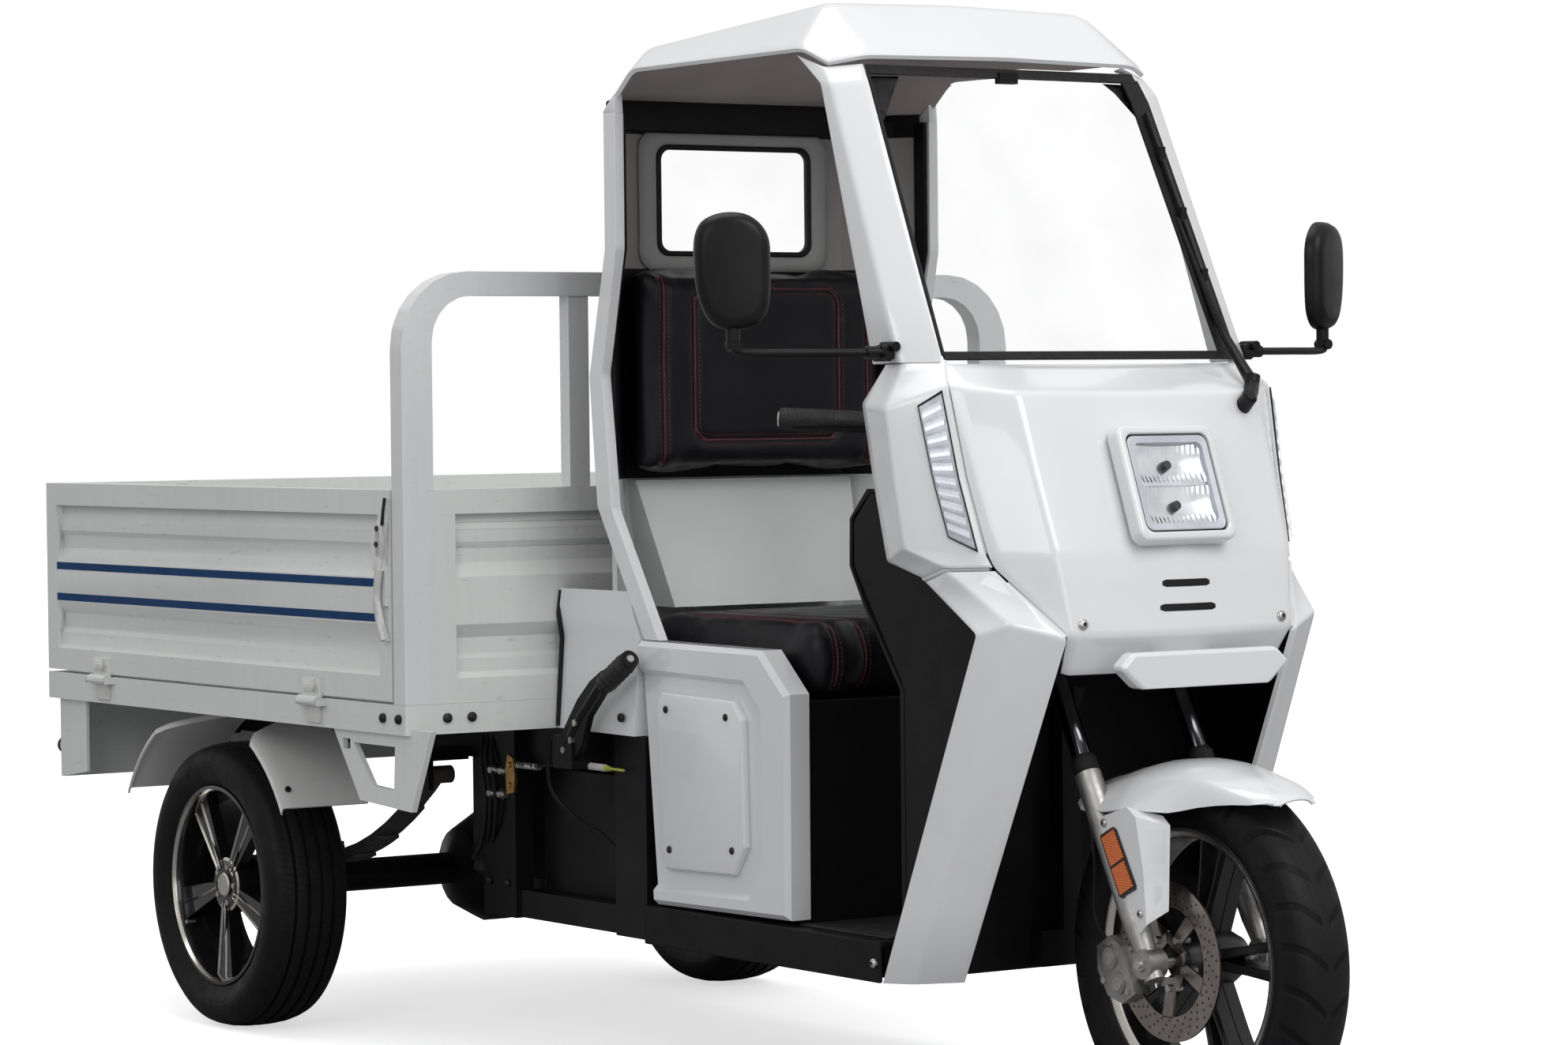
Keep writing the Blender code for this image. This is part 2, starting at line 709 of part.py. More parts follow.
def rear_axle():
    tube = rod((-0.44, 0, AXLE_Z), (0.44, 0, AXLE_Z), AXLE_TUBE_RADIUS, 20)
    housing = turned([(-0.095, 0.030), (-0.075, 0.075), (-0.020, 0.105), (0.030, 0.105), (0.085, 0.070),
                      (0.105, 0.030), (0.105, 0.0), (-0.095, 0.0)], (0, 0, AXLE_Z), 20)
    neck = box((-0.040, -0.150, AXLE_Z - 0.050), (0.070, -0.060, AXLE_Z + 0.060))
    pieces = [housing, neck, drive_motor()]
    for side in (-1, 1):
        pieces.append(rod((side * 0.405, 0, AXLE_Z), (side * (hub_face_x - RUN_GAP), 0, AXLE_Z), 0.090, 24))
        stub_end = side * (hub_face_x + 0.040)
        pieces.append(rod((side * 0.44, 0, AXLE_Z), (stub_end, 0, AXLE_Z), STUB_RADIUS, 24))
    return union(tube, *pieces)


node("rear_axle", rear_axle(), BLACK_STEEL, vehicle, True)


def leaf_spring():
    """A pack of three leaves, bowed down to the axle, with an eye at each end."""
    half = SPRING_HALF
    eye_z = SPRING_EYE_Z
    saddle_z = AXLE_Z + AXLE_TUBE_RADIUS + GAP
    steps = 8
    thickness = 0.022
    top = []
    low = []
    for k in range(steps + 1):
        s = -1.0 + 2.0 * k / steps
        rise = (eye_z - 0.008 - saddle_z) * s * s
        leaf = thickness * (1.0 - 0.55 * abs(s))
        low.append((half * s, saddle_z + rise))
        top.append((half * s, saddle_z + rise + leaf))
    x0 = -(SPRING_X + SPRING_WIDTH / 2.0)
    x1 = -(SPRING_X - SPRING_WIDTH / 2.0)
    pack = plate(low + top[::-1], "X", x0, x1)
    eyes = [rod((x0, y, eye_z), (x1, y, eye_z), 0.016, 14) for y in (-half, half)]
    clamp = box((x0 - 0.0004, -0.035, saddle_z + 0.002), (x1 + 0.004, 0.035, saddle_z + 0.034))
    return union(pack, *eyes, clamp)


pair("leaf_spring", leaf_spring(), BLACK_STEEL)


# Wheels
def tyre(radius, bead, width, centre):
    """A tyre turned from tread, shoulder, side wall and bead."""
    half = width / 2.0
    wall = radius - bead
    right = [
        (0.0, radius), (half * 0.45, radius - 0.0015), (half * 0.74, radius - 0.007),
        (half * 0.93, radius - wall * 0.26), (half, radius - wall * 0.52),
        (half * 0.93, bead + wall * 0.20), (half * 0.80, bead + 0.0015), (half * 0.74, bead - 0.004),
    ]
    left = [(-x, r) for x, r in reversed(right[1:])]
    return turned(right + left, centre, WHEEL_STEPS)


def barrel(bead, width, lip, depth, centre):
    """A rim's barrel with a lip at each edge, just under the tyre's beads."""
    half = width / 2.0
    seat = bead - 0.0046
    right = [
        (half * 0.70, seat), (half * 0.755, seat), (half * 0.80, bead - 0.001),
        (half * 0.80 + lip, bead - 0.002),
        (half * 0.80 + lip, bead - 0.010), (half * 0.72, bead - 0.016), (half * 0.45, bead - depth - 0.005),
    ]
    left = [(-x, r) for x, r in reversed(right)]
    outer = [(-half * 0.50, seat - depth + 0.006), (half * 0.50, seat - depth + 0.006)]
    return turned(right + left + outer, centre, WHEEL_STEPS)


def spoke(centre, angle, x0, x1, root, tip, root_half, tip_half, lean=0.0):
    """A tapered flat spoke in the wheel's plane, from radius root to radius tip."""
    spin = Matrix.Rotation(angle, 3, "X")
    outline = [(-root_half, root), (root_half, root), (lean + tip_half, tip), (lean - tip_half, tip)]
    sections = []
    for x in (x0, x1):
        section = []
        for across, out in outline:
            point = spin @ Vector((0.0, across, out))
            section.append((x, centre[1] + point.y, centre[2] + point.z))
        sections.append(section)
    return loft(sections)


def rear_rim(side):
    """Five pairs of spokes near the outer face, a drum-side hub and a blind bore for the stub."""
    centre = (side * REAR_WHEEL_X, 0.0, AXLE_Z)
    ring = barrel(REAR_BEAD_RADIUS, REAR_TYRE_WIDTH, 0.003, 0.012, centre)
    face = side * (REAR_WHEEL_X + 0.046)
    back = side * (REAR_WHEEL_X + 0.026)
    x0, x1 = sorted((face, back))
    spokes = []
    for k in range(5):
        for lean in (-1, 1):
            angle = math.radians(72.0 * k) + lean * math.radians(11.0)
            spokes.append(spoke(centre, angle, x0, x1, 0.040, REAR_BEAD_RADIUS - 0.013, 0.011, 0.008,
                                lean * 0.006))
    hub = rod((side * hub_face_x, 0, AXLE_Z), (side * (REAR_WHEEL_X + 0.050), 0, AXLE_Z), 0.052, 24)
    bore_start = (side * (hub_face_x - 0.01), 0, AXLE_Z)
    bore = rod(bore_start, (side * (hub_face_x + 0.050), 0, AXLE_Z), STUB_RADIUS + STUB_CLEARANCE, 24)
    return cut(union(ring, hub, *spokes), bore)


for side, word in ((-1, "right"), (1, "left")):
    hub_empty = empty("rear_axle_" + word, (side * REAR_WHEEL_X, 0.0, AXLE_Z), vehicle)
    centre = (side * REAR_WHEEL_X, 0.0, AXLE_Z)
    rear = tyre(REAR_TYRE_RADIUS, REAR_BEAD_RADIUS, REAR_TYRE_WIDTH, centre)
    node("rear_tyre_" + word, rear, RUBBER, hub_empty, True)
    node("rear_rim_" + word, rear_rim(side), ALLOY, hub_empty, True)

# Steering: the axis leans back by the rake and passes behind the front axle, at y = 0
FRONT_AXLE = Vector((0.0, 0.0, FRONT_TYRE_RADIUS))
up_axis = Vector((0.0, math.sin(RAKE), math.cos(RAKE)))
back_axis = Vector((0.0, math.cos(RAKE), -math.sin(RAKE)))
steer_base = FRONT_AXLE + back_axis * FORK_OFFSET
steering = empty("steering_axis", FRONT + steer_base, vehicle)
front_wheel = empty("front_wheel_axle", FRONT + FRONT_AXLE, steering)


def on_fork(x, along_leg, behind=0.0):
    """A point at x, so far up the fork from the axle and so far behind its legs' line."""
    return Vector((x, 0.0, 0.0)) + FRONT_AXLE + up_axis * along_leg + back_axis * behind


def leaning_box(x0, x1, up0, up1, behind0, behind1):
    """A box square to the fork's own axes."""
    piece = box((x0, behind0, up0), (x1, behind1, up1))
    turn = Matrix(((1, 0, 0), (0, back_axis.y, up_axis.y), (0, back_axis.z, up_axis.z))).to_4x4()
    piece.data.transform(Matrix.Translation(FRONT_AXLE) @ turn)
    return piece


LEG_TOP = 0.330
CROWN_UP = 0.490
HEAD_LOW_UP = 0.535
HEAD_TOP_UP = 0.690
STEM_TOP_UP = 0.855


def brake_calliper():
    slot = DISC_THICKNESS / 2.0 + 0.005
    body = leaning_box(-0.0930, -0.060, -0.020, 0.085, 0.080, 0.150)
    body = bevelled(body, 0.008)
    sweep = leaning_box(-DISC_X - slot, -DISC_X + slot, -0.030, 0.100, 0.060, DISC_RADIUS + 0.006)
    lug = leaning_box(-0.1230, -0.0880, 0.000, 0.070, FORK_LEG_RADIUS - 0.010, 0.110)
    return union(cut(body, sweep), lug)


def fork():
    pieces = []
    for side in (-1, 1):
        x = side * FORK_LEG_X
        pieces.append(rod(on_fork(x, -0.030), on_fork(x, LEG_TOP), FORK_LEG_RADIUS, 16))
        pieces.append(rod(on_fork(x, LEG_TOP - 0.01), on_fork(x, CROWN_UP + 0.030), FORK_TUBE_RADIUS, 14))
    crown = leaning_box(-0.140, 0.140, CROWN_UP - 0.005, CROWN_UP + 0.023, -0.024, 0.058)
    stem = rod(on_fork(0, CROWN_UP, FORK_OFFSET), on_fork(0, STEM_TOP_UP, FORK_OFFSET), STEM_RADIUS, 24)
    pin = rod(FRONT_AXLE + Vector((-0.130, 0, 0)), FRONT_AXLE + Vector((0.130, 0, 0)), 0.0085, 24)
    return union(bevelled(crown, 0.006), stem, pin, *pieces, brake_calliper())


front_node("fork", fork(), STEEL, steering, True)


def handlebar():
    clamp = leaning_box(-0.035, 0.035, STEM_TOP_UP + GAP, STEM_TOP_UP + 0.040, 0.010, 0.060)
    top = on_fork(0, STEM_TOP_UP + 0.022, FORK_OFFSET)
    half = []
    for x, y, z in ((0.0, top.y, top.z), (0.060, top.y + 0.005, top.z + 0.004),
                    (0.150, 0.540, 1.098), (0.205, 0.585, 1.106)):
        half.append((x, y, z))
    left = [(-x, y, z) for x, y, z in reversed(half[1:])]
    tube = swept(left + half, 0.011, 2)
    grips = []
    for side in (-1, 1):
        root = (side * 0.190, 0.572, 1.104)
        tip = (side * 0.318, 0.682, 1.113)
        grips.append(rod(root, tip, 0.0165, 14))
        pod = Vector(root).lerp(Vector(tip), 0.02)
        out = (Vector(tip) - Vector(root)).normalized()
        grips.append(rod(pod - out * 0.022, pod + out * 0.018, 0.022, 12))
        grips.append(swept([pod - out * 0.005, pod + Vector((side * 0.010, -0.045, 0.0)),
                            Vector(tip) + Vector((side * 0.002, -0.045, -0.012))], 0.006, 1))
    return union(clamp, tube, *grips)


front_node("handlebar", handlebar(), BLACK_PLASTIC, steering, True)


def fender():
    """A crowned mudguard over the front wheel with a side cover down each fork leg."""
    inner = FRONT_TYRE_RADIUS + 0.012
    # columns: degrees from straight up (front positive), extra radius, half width, crown
    table = (
        (-41.0, 0.040, 0.060, 0.010), (-28.0, 0.010, 0.070, 0.012), (-10.0, 0.002, 0.074, 0.014),
        (10.0, 0.002, 0.074, 0.014), (26.0, 0.012, 0.070, 0.014), (36.0, 0.026, 0.056, 0.012),
        (42.0, 0.037, 0.030, 0.008),
    )
    rows = []
    for degrees, extra, half, crown in table:
        angle = math.radians(degrees)
        row = []
        for share in (-1.0, -0.8, -0.35, 0.35, 0.8, 1.0):
            drop = 0.016 if abs(share) == 1.0 else 0.0
            r = inner + extra + crown * (1.0 - share * share) - drop + 0.006
            y = FRONT_AXLE.y - r * math.sin(angle)
            z = FRONT_AXLE.z + r * math.cos(angle)
            row.append((half * share, y, z))
        rows.append(row)
    arch = shell(rows, 0.003)
    near = -(FORK_LEG_RADIUS + GAP)
    covers = []
    for side in (-1, 1):
        sections = []
        for x in (side * 0.1180, side * 0.1220):
            outline = ((0.308, near), (0.300, -0.100), (0.200, -0.098), (0.110, -0.050), (0.105, near))
            sections.append([on_fork(x, up, behind) for up, behind in outline])
        flat = loft(sections)
        sections = []
        for x in (side * 0.0500, side * 0.1200):
            outline = ((0.306, near - 0.003), (0.302, -0.085), (0.296, -0.085), (0.300, near - 0.003))
            sections.append([on_fork(x, up, behind) for up, behind in outline])
        covers += [flat, loft(sections)]
    return union(arch, *covers)


front_node("front_fender", fender(), WHITE, steering, True)


def brake_disc():
    half = DISC_THICKNESS / 2.0
    x = -DISC_X
    profile = [(x - half, 0.006), (x - half, DISC_RADIUS), (x + half, DISC_RADIUS), (x + half, 0.006)]
    disc = turned(profile, (0, FRONT_AXLE.y, FRONT_AXLE.z), 24)
    slots = []
    for k in range(5):
        angle = math.radians(72.0 * k)
        slots.append(spoke(FRONT_AXLE, angle, x - 0.01, x + 0.01, 0.055, 0.078, 0.016, 0.023))
    return cut(disc, *slots)


def front_rim():
    """Five broad spokes between the barrel and a through hub on the axle pin."""
    ring = barrel(FRONT_BEAD_RADIUS, FRONT_TYRE_WIDTH, 0.003, 0.012, FRONT_AXLE)
    spokes = []
    for k in range(5):
        angle = math.radians(72.0 * k + 14.0)
        tip = FRONT_BEAD_RADIUS - 0.013
        spokes.append(spoke(FRONT_AXLE, angle, -0.018, 0.018, 0.022, tip, 0.026, 0.014))
    hub = rod(FRONT_AXLE + Vector((-0.066, 0, 0)), FRONT_AXLE + Vector((0.066, 0, 0)), 0.030, 24)
    flange = rod(FRONT_AXLE + Vector((-0.0785, 0, 0)), FRONT_AXLE + Vector((-0.060, 0, 0)), 0.045, 24)
    bore_half = Vector((0.09, 0, 0))
    bore = rod(FRONT_AXLE - bore_half, FRONT_AXLE + bore_half, 0.0095, 24)
    return cut(union(ring, hub, flange, brake_disc(), *spokes), bore)


front_node("front_rim", front_rim(), BLACK_ALLOY, front_wheel, True)
front = tyre(FRONT_TYRE_RADIUS, FRONT_BEAD_RADIUS, FRONT_TYRE_WIDTH, FRONT_AXLE)
front_node("front_tyre", front, RUBBER, front_wheel, True)


SHIELD_Y = 0.373
SHIELD_WALL = 0.010
FLOOR_FRONT_Y = SHIELD_Y + SHIELD_WALL + GAP


def steering_head():
    """Head tube round the stem, a gusset and a down tube to the front of the cab floor."""
    tube = rod(on_fork(0, HEAD_LOW_UP, FORK_OFFSET), on_fork(0, HEAD_TOP_UP, FORK_OFFSET),
               HEAD_TUBE_RADIUS, 24)
    low = on_fork(0, HEAD_LOW_UP + 0.020, FORK_OFFSET)
    rear = SHIELD_Y - GAP
    front = rear - 0.0347
    gusset = plate([(low.y + 0.012, low.z - 0.035), (low.y + 0.030, low.z + 0.060),
                    (rear, 0.690), (rear, FRAME_LOW_Z + 0.01), (front, FRAME_LOW_Z + 0.01),
                    (front, 0.650)], "X", -0.018, 0.018)
    foot = box((-0.060, front, FRAME_LOW_Z + 0.003), (0.060, rear, FRAME_LOW_Z + 0.060))
    bore = rod(on_fork(0, HEAD_LOW_UP - 0.05, FORK_OFFSET), on_fork(0, HEAD_TOP_UP + 0.05, FORK_OFFSET),
               HEAD_TUBE_BORE, 24)
    return cut(union(tube, gusset, foot), bore)


front_node("steering_head", steering_head(), BLACK_STEEL, vehicle, True)

# Cab floor and the panels round the rider's legs
FLOOR_REAR_Y = 1.0645
SILL_LOW_Z = 0.235


def cab_floor():
    w = FLOOR_HALF_WIDTH
    sheet = box((-w, FLOOR_FRONT_Y, FLOOR_TOP_Z - 0.0095), (w, FLOOR_REAR_Y, FLOOR_TOP_Z))
    sills = []
    for side in (-1, 1):
        x = sorted((side * w, side * (w - 0.008)))
        sills.append(box((x[0], FLOOR_FRONT_Y, SILL_LOW_Z), (x[1], FLOOR_REAR_Y, FLOOR_TOP_Z - 0.002)))
    return union(sheet, *sills)


front_node("cab_floor", cab_floor(), BLACK_PLASTIC, vehicle)


def leg_front(z):
    """Rear edge of the front leg fairing at height z, where it faces the doorway."""
    return 0.384 - (z - 0.240) * 0.4393


def leg_shield():
    """Moulded wall in front of the rider's legs, with a knee roll and a wing to each leg fairing."""
    front = [(SHIELD_Y, SILL_LOW_Z + 0.003), (SHIELD_Y, 0.690), (0.474, 0.821), (0.510, 0.880),
             (0.508, 0.955), (0.460, 0.996)]
    back = []
    for y, z in front:
        shift = SHIELD_WALL if z < 0.7 else SHIELD_WALL * 0.75
        back.append((y + shift, z + (0.006 if z > 0.96 else 0.0)))
    wall = plate(front + back[::-1], "X", -0.300, 0.300)
    wings = []
    for side in (-1, 1):
        x = sorted((side * 0.2990, side * 0.2900))
        outline = [(SHIELD_Y + 0.004, 0.360), (SHIELD_Y + 0.004, 0.700), (0.505, 0.880), (0.505, 0.950),
                   (0.460, 0.995), (0.370, 0.960), (0.280, 0.870), (leg_front(0.800) - 0.015, 0.780),
                   (leg_front(0.360) - 0.015, 0.360)]
        wings.append(plate(outline, "X", x[0], x[1]))
    return union(wall, *wings)


front_node("leg_shield", leg_shield(), BLACK_PLASTIC, vehicle)


def dashboard():
    outline = [(0.288, 1.184), (0.288, 1.080), (0.350, 1.040), (0.372, 1.060), (0.372, 1.150),
               (0.350, 1.184)]
    body = bevelled(plate(outline, "X", -0.270, 0.270), 0.006)
    return union(body, box((-0.090, 0.250, 1.170), (0.090, 0.300, 1.1882)))


front_node("dashboard", dashboard(), BLACK_PLASTIC, vehicle)


# Seat
def seat_box():
    w = SEAT_BOX_HALF_WIDTH
    outer = box((-w, SEAT_FRONT_Y, FLOOR_TOP_Z + GAP), (w, SEAT_REAR_Y, SEAT_BOX_TOP_Z))
    wall = 0.008
    inner = box((-w + wall, SEAT_FRONT_Y + wall, FLOOR_TOP_Z - 0.01),
                (w - wall, SEAT_REAR_Y - wall, SEAT_BOX_TOP_Z - wall))
    return cut(outer, inner)


front_node("seat_box", seat_box(), BLACK_PLASTIC, vehicle)

COVER_OUTLINE = ((1.074, 0.7425), (0.711, 0.740), (0.633, 0.672), (0.635, 0.310), (1.030, 0.304))


def seat_side_cover():
    """Dished cover over the end of the seat box, with a chamfered rim."""
    x_in = -(SEAT_BOX_HALF_WIDTH + GAP)
    x_out = -0.346
    middle_y = sum(p[0] for p in COVER_OUTLINE) / len(COVER_OUTLINE)
    middle_z = sum(p[1] for p in COVER_OUTLINE) / len(COVER_OUTLINE)
    rim = []
    for y, z in COVER_OUTLINE:
        rim.append((y + (middle_y - y) * 0.09, z + (middle_z - z) * 0.09))
    sections = [[(x_in, y, z) for y, z in COVER_OUTLINE], [(x_out + 0.016, y, z) for y, z in COVER_OUTLINE],
                [(x_out, y, z) for y, z in rim]]
    hatch = [(1.015, 0.640), (1.000, 0.660), (0.780, 0.655), (0.755, 0.625), (0.750, 0.420),
             (0.785, 0.375), (0.990, 0.370), (1.010, 0.400)]
    lid = bevelled(plate(hatch, "X", x_out - 0.008, x_out + 0.004), 0.0025)
    return union(loft(sections), lid)


front_pair("seat_side_cover", seat_side_cover(), WHITE)

cushion = box((-0.297, 0.628, SEAT_BOX_TOP_Z + GAP), (0.297, 1.165, 0.787))
front_node("seat_cushion", bevelled(cushion, 0.030, 3), LEATHER, vehicle, True)


WALL_BACK_Y = 1.305
WALL = 0.010
BACKREST_REAR_Y = WALL_BACK_Y - WALL - 0.0010


def seat_backrest():
    outline = [(-0.268, 1.200), (-0.268, 1.220), (-0.210, BACKREST_REAR_Y), (0.210, BACKREST_REAR_Y),
               (0.268, 1.220), (0.268, 1.200), (0.240, 1.186), (-0.240, 1.186)]
    return bevelled(plate(outline, "Z", 1.015, 1.375), 0.008, 2)


front_node("seat_backrest", seat_backrest(), LEATHER, vehicle, True)


WINDOW_HALF = 0.165
WINDOW_LOW_Z = 1.390
WINDOW_TOP_Z = 1.590


def lower_back_panel():
    """The pale sloping panel between the seat and the backrest."""
    sections = []
    rear = WALL_BACK_Y - 0.004
    for z, half, y in ((0.790, 0.197, 1.187), (1.008, 0.225, 1.266)):
        sections.append([(-half, y, z), (half, y, z), (half, rear, z), (-half, rear, z)])
    return loft(sections)


def cab_rear_wall():
    """The bowed back panel with its window opening; its wings reach the rear pillars."""
    inner = WALL_BACK_Y - WALL
    outline = [(-0.3165, 1.182), (-0.228, inner), (0.228, inner), (0.3165, 1.182), (0.3165, 1.198),
               (0.236, WALL_BACK_Y), (-0.236, WALL_BACK_Y), (-0.3165, 1.198)]
    wall = plate(outline, "Z", BED_BASE_Z, 1.6325)
    opening = box((-WINDOW_HALF, inner - 0.1, WINDOW_LOW_Z), (WINDOW_HALF, WALL_BACK_Y + 0.1, WINDOW_TOP_Z))
    return union(cut(wall, opening), lower_back_panel())


front_node("cab_rear_wall", cab_rear_wall(), BLACK_PLASTIC, vehicle)
pane = box((-WINDOW_HALF + GAP, WALL_BACK_Y - 0.0075, WINDOW_LOW_Z + GAP),
           (WINDOW_HALF - GAP, WALL_BACK_Y - 0.0025, WINDOW_TOP_Z - GAP))
front_node("rear_window", pane, GLASS, vehicle)


def rear_pillar():
    rear = [(1.180, 1.629), (1.180, 1.400), (1.234, 1.185), (1.213, 0.965), (1.070, 0.7435)]
    front = [(1.022, 0.7435), (1.165, 0.960), (1.193, 1.190), (1.144, 1.400), (1.144, 1.629)]
    return plate(rear + front, "X", -CAB_HALF_WIDTH, -0.3170)


front_pair("rear_pillar", rear_pillar(), WHITE)


def cab_roof():
    """A faceted shell; each row of points crosses the roof from right to left."""
    # columns: lower edge w, y, z; top edge w, y, z; centre y, z
    table = (
        (0.318, 0.538, 1.6745, 0.268, 0.504, 1.686, 0.497, 1.690),
        (0.334, 0.585, 1.7000, 0.256, 0.630, 1.779, 0.636, 1.785),
        (0.334, 1.094, 1.7000, 0.262, 1.150, 1.742, 1.190, 1.752),
        (0.334, 1.178, 1.6340, 0.244, 1.300, 1.664, 1.312, 1.668),
    )
    rows = []
    for w0, y0, z0, w1, y1, z1, yc, zc in table:
        half = [(w0, y0, z0), (w1, y1, z1), (w1 * 0.5, (y1 + yc) / 2.0, (z1 + zc) / 2.0)]
        rows.append([(-x, y, z) for x, y, z in half] + [(0.0, yc, zc)] + half[::-1])
    return shell(rows[::-1], 0.008)


front_node("cab_roof", cab_roof(), WHITE, vehicle)


def front_pillar():
    """The windscreen pillar: a folded section that widens into the roof corner."""
    # columns: glass edge w, y, z; outer fold w, y, z; doorway edge w, y, z
    table = (
        (0.293, 0.272, 1.1982, 0.345, 0.315, 1.1982, 0.345, 0.385, 1.1965),
        (0.276, 0.485, 1.6400, 0.328, 0.516, 1.6380, 0.330, 0.541, 1.6400),
        (0.270, 0.510, 1.6720, 0.320, 0.544, 1.6674, 0.328, 0.610, 1.6900),
    )
    sections = []
    for gw, gy, gz, ow, oy, oz, rw, ry, rz in table:
        sections.append([(-gw, gy, gz), (-ow, oy, oz), (-rw, ry, rz), (-rw + 0.016, ry - 0.004, rz),
                         (-ow + 0.018, oy + 0.012, oz), (-gw - 0.002, gy + 0.016, gz)])
    return loft(sections)


front_pair("front_pillar", front_pillar(), WHITE)


def windscreen():
    """The bowed front pane between the pillars."""
    rows = []
    # columns: half width, edge y, middle y, z
    table = (
        (0.2697, 0.5115, 0.506, 1.6720),
        (0.2757, 0.4860, 0.479, 1.6400),
        (0.2927, 0.2730, 0.260, 1.2000),
    )
    for half, y_edge, y_mid, z in table:
        row = []
        for k in range(7):
            share = -1.0 + 2.0 * k / 6.0
            row.append((half * share, y_mid + (y_edge - y_mid) * share * share, z))
        rows.append(row)
    return shell(rows, 0.005)


front_node("windscreen", windscreen(), GLASS, vehicle)

# Nose: columns of the front panel's net are edge, crease, flat, middle, and back again
# columns: edge w, y, z; crease w, y, z; middle y, z
NOSE_TABLE = (
    (0.292, 0.265, 1.1960, 0.150, 0.257, 1.1950, 0.254, 1.1950),
    (0.314, 0.226, 1.1600, 0.235, 0.160, 1.1500, 0.145, 1.1470),
    (0.306, 0.193, 1.0200, 0.234, 0.114, 1.0200, 0.0965, 1.0200),
    (0.296, 0.156, 0.9050, 0.228, 0.075, 0.9050, 0.053, 0.9050),
    (0.290, 0.147, 0.8840, 0.224, 0.068, 0.8700, 0.044, 0.8700),
    (0.221, 0.058, 0.7860, 0.210, 0.053, 0.7820, 0.032, 0.7820),
    (0.207, 0.094, 0.7240, 0.196, 0.090, 0.7200, 0.075, 0.7200),
)


def front_panel():
    rows = []
    for we, ye, ze, wc, yc, zc, ym, zm in NOSE_TABLE:
        half = [(we, ye, ze), (wc, yc, zc), (min(0.115, wc * 0.75), ym, zm)]
        rows.append([(-x, y, z) for x, y, z in half] + [(0.0, ym, zm)] + half[::-1])
    panel = shell(rows, SHELL)
    slots = []
    for z, half in ((0.857, 0.046), (0.820, 0.054)):
        slots.append(box((-half, -0.050, z - 0.006), (half, 0.150, z + 0.006)))
    return cut(panel, *slots)


front_node("front_panel", front_panel(), WHITE, vehicle)

# columns: doorway edge w, y, z; fold w, y, z; nose edge w, y, z
COWL_TABLE = (
    (0.345, 0.350, 1.1955, 0.338, 0.312, 1.1975, 0.2950, 0.264, 1.1975),
    (0.360, 0.394, 1.1360, 0.385, 0.298, 1.1280, 0.3190, 0.2275, 1.1600),
    (0.352, 0.377, 1.0160, 0.378, 0.288, 1.0200, 0.3105, 0.194, 1.0200),
    (0.345, 0.352, 0.8910, 0.370, 0.273, 0.9140, 0.3005, 0.158, 0.9050),
    (0.336, 0.272, 0.8680, 0.338, 0.210, 0.8850, 0.2945, 0.149, 0.8860),
)


def triples(row, sign):
    """Three points of a table row on one side of the vehicle."""
    return [(sign * row[k], row[k + 1], row[k + 2]) for k in (0, 3, 6)]


cowl_rows = [triples(row, -1) for row in COWL_TABLE]
front_pair("cowl_side", shell(cowl_rows, SHELL), WHITE)


def marker_lamp():
    """Daylight lamp lying on the cowl's forward facet."""
    corners = ((1.93, 1.02), (1.52, 1.10), (1.60, 2.80), (1.93, 2.97))
    top_right = Vector(cowl_rows[1][1])
    normal = (Vector(cowl_rows[1][2]) - top_right).cross(Vector(cowl_rows[3][1]) - top_right).normalized()
    if normal.y > 0:
        normal = -normal
    rows = []
    for v in (0.0, 0.25, 0.5, 0.75, 1.0):
        row = []
        for u in (0.0, 0.5, 1.0):
            top = Vector(corners[1]).lerp(Vector(corners[0]), u)
            low = Vector(corners[2]).lerp(Vector(corners[3]), u)
            s, t = top.lerp(low, v)
            row.append(patch_point(cowl_rows, s, t) + normal * 0.0095)
        rows.append(row)
    return shell(rows, 0.006)


front_pair("marker_lamp", marker_lamp(), CLEAR)

# columns: doorway edge w, y, z; fold w, y, z; front edge w, y, z
LEG_TABLE = (
    (0.3345, 0.266, 0.8620, 0.3360, 0.206, 0.8790, 0.2935, 0.145, 0.8800),
    (0.3310, 0.140, 0.7860, 0.2990, 0.094, 0.8020, 0.2245, 0.054, 0.7790),
    (0.3400, 0.3808, 0.2350, 0.3110, 0.337, 0.2350, 0.2360, 0.307, 0.2350),
)


def leg_fairing():
    rows = [triples(row, -1) for row in LEG_TABLE]
    return shell(rows, 0.008)


front_pair("leg_fairing", leg_fairing(), WHITE)


def chin_plate():
    outline = [(-0.165, 0.733), (-0.140, 0.756), (0.140, 0.756), (0.165, 0.733),
               (0.127, 0.700), (-0.127, 0.700)]
    face = bevelled(plate(outline, "Y", -0.0025, 0.0295), 0.005)
    return union(face, box((-0.050, 0.020, 0.725), (0.050, 0.057, 0.745)))


front_node("chin_plate", chin_plate(), WHITE, vehicle)


def rounded_square(half_x, half_z, radius, steps=4):
    """A rounded rectangle about the origin."""
    points = []
    for cx, cz, start in ((1, 1, 0), (-1, 1, 90), (-1, -1, 180), (1, -1, 270)):
        centre = (cx * (half_x - radius), cz * (half_z - radius))
        points += arc(centre, radius, start, start + 90, steps)
    return points


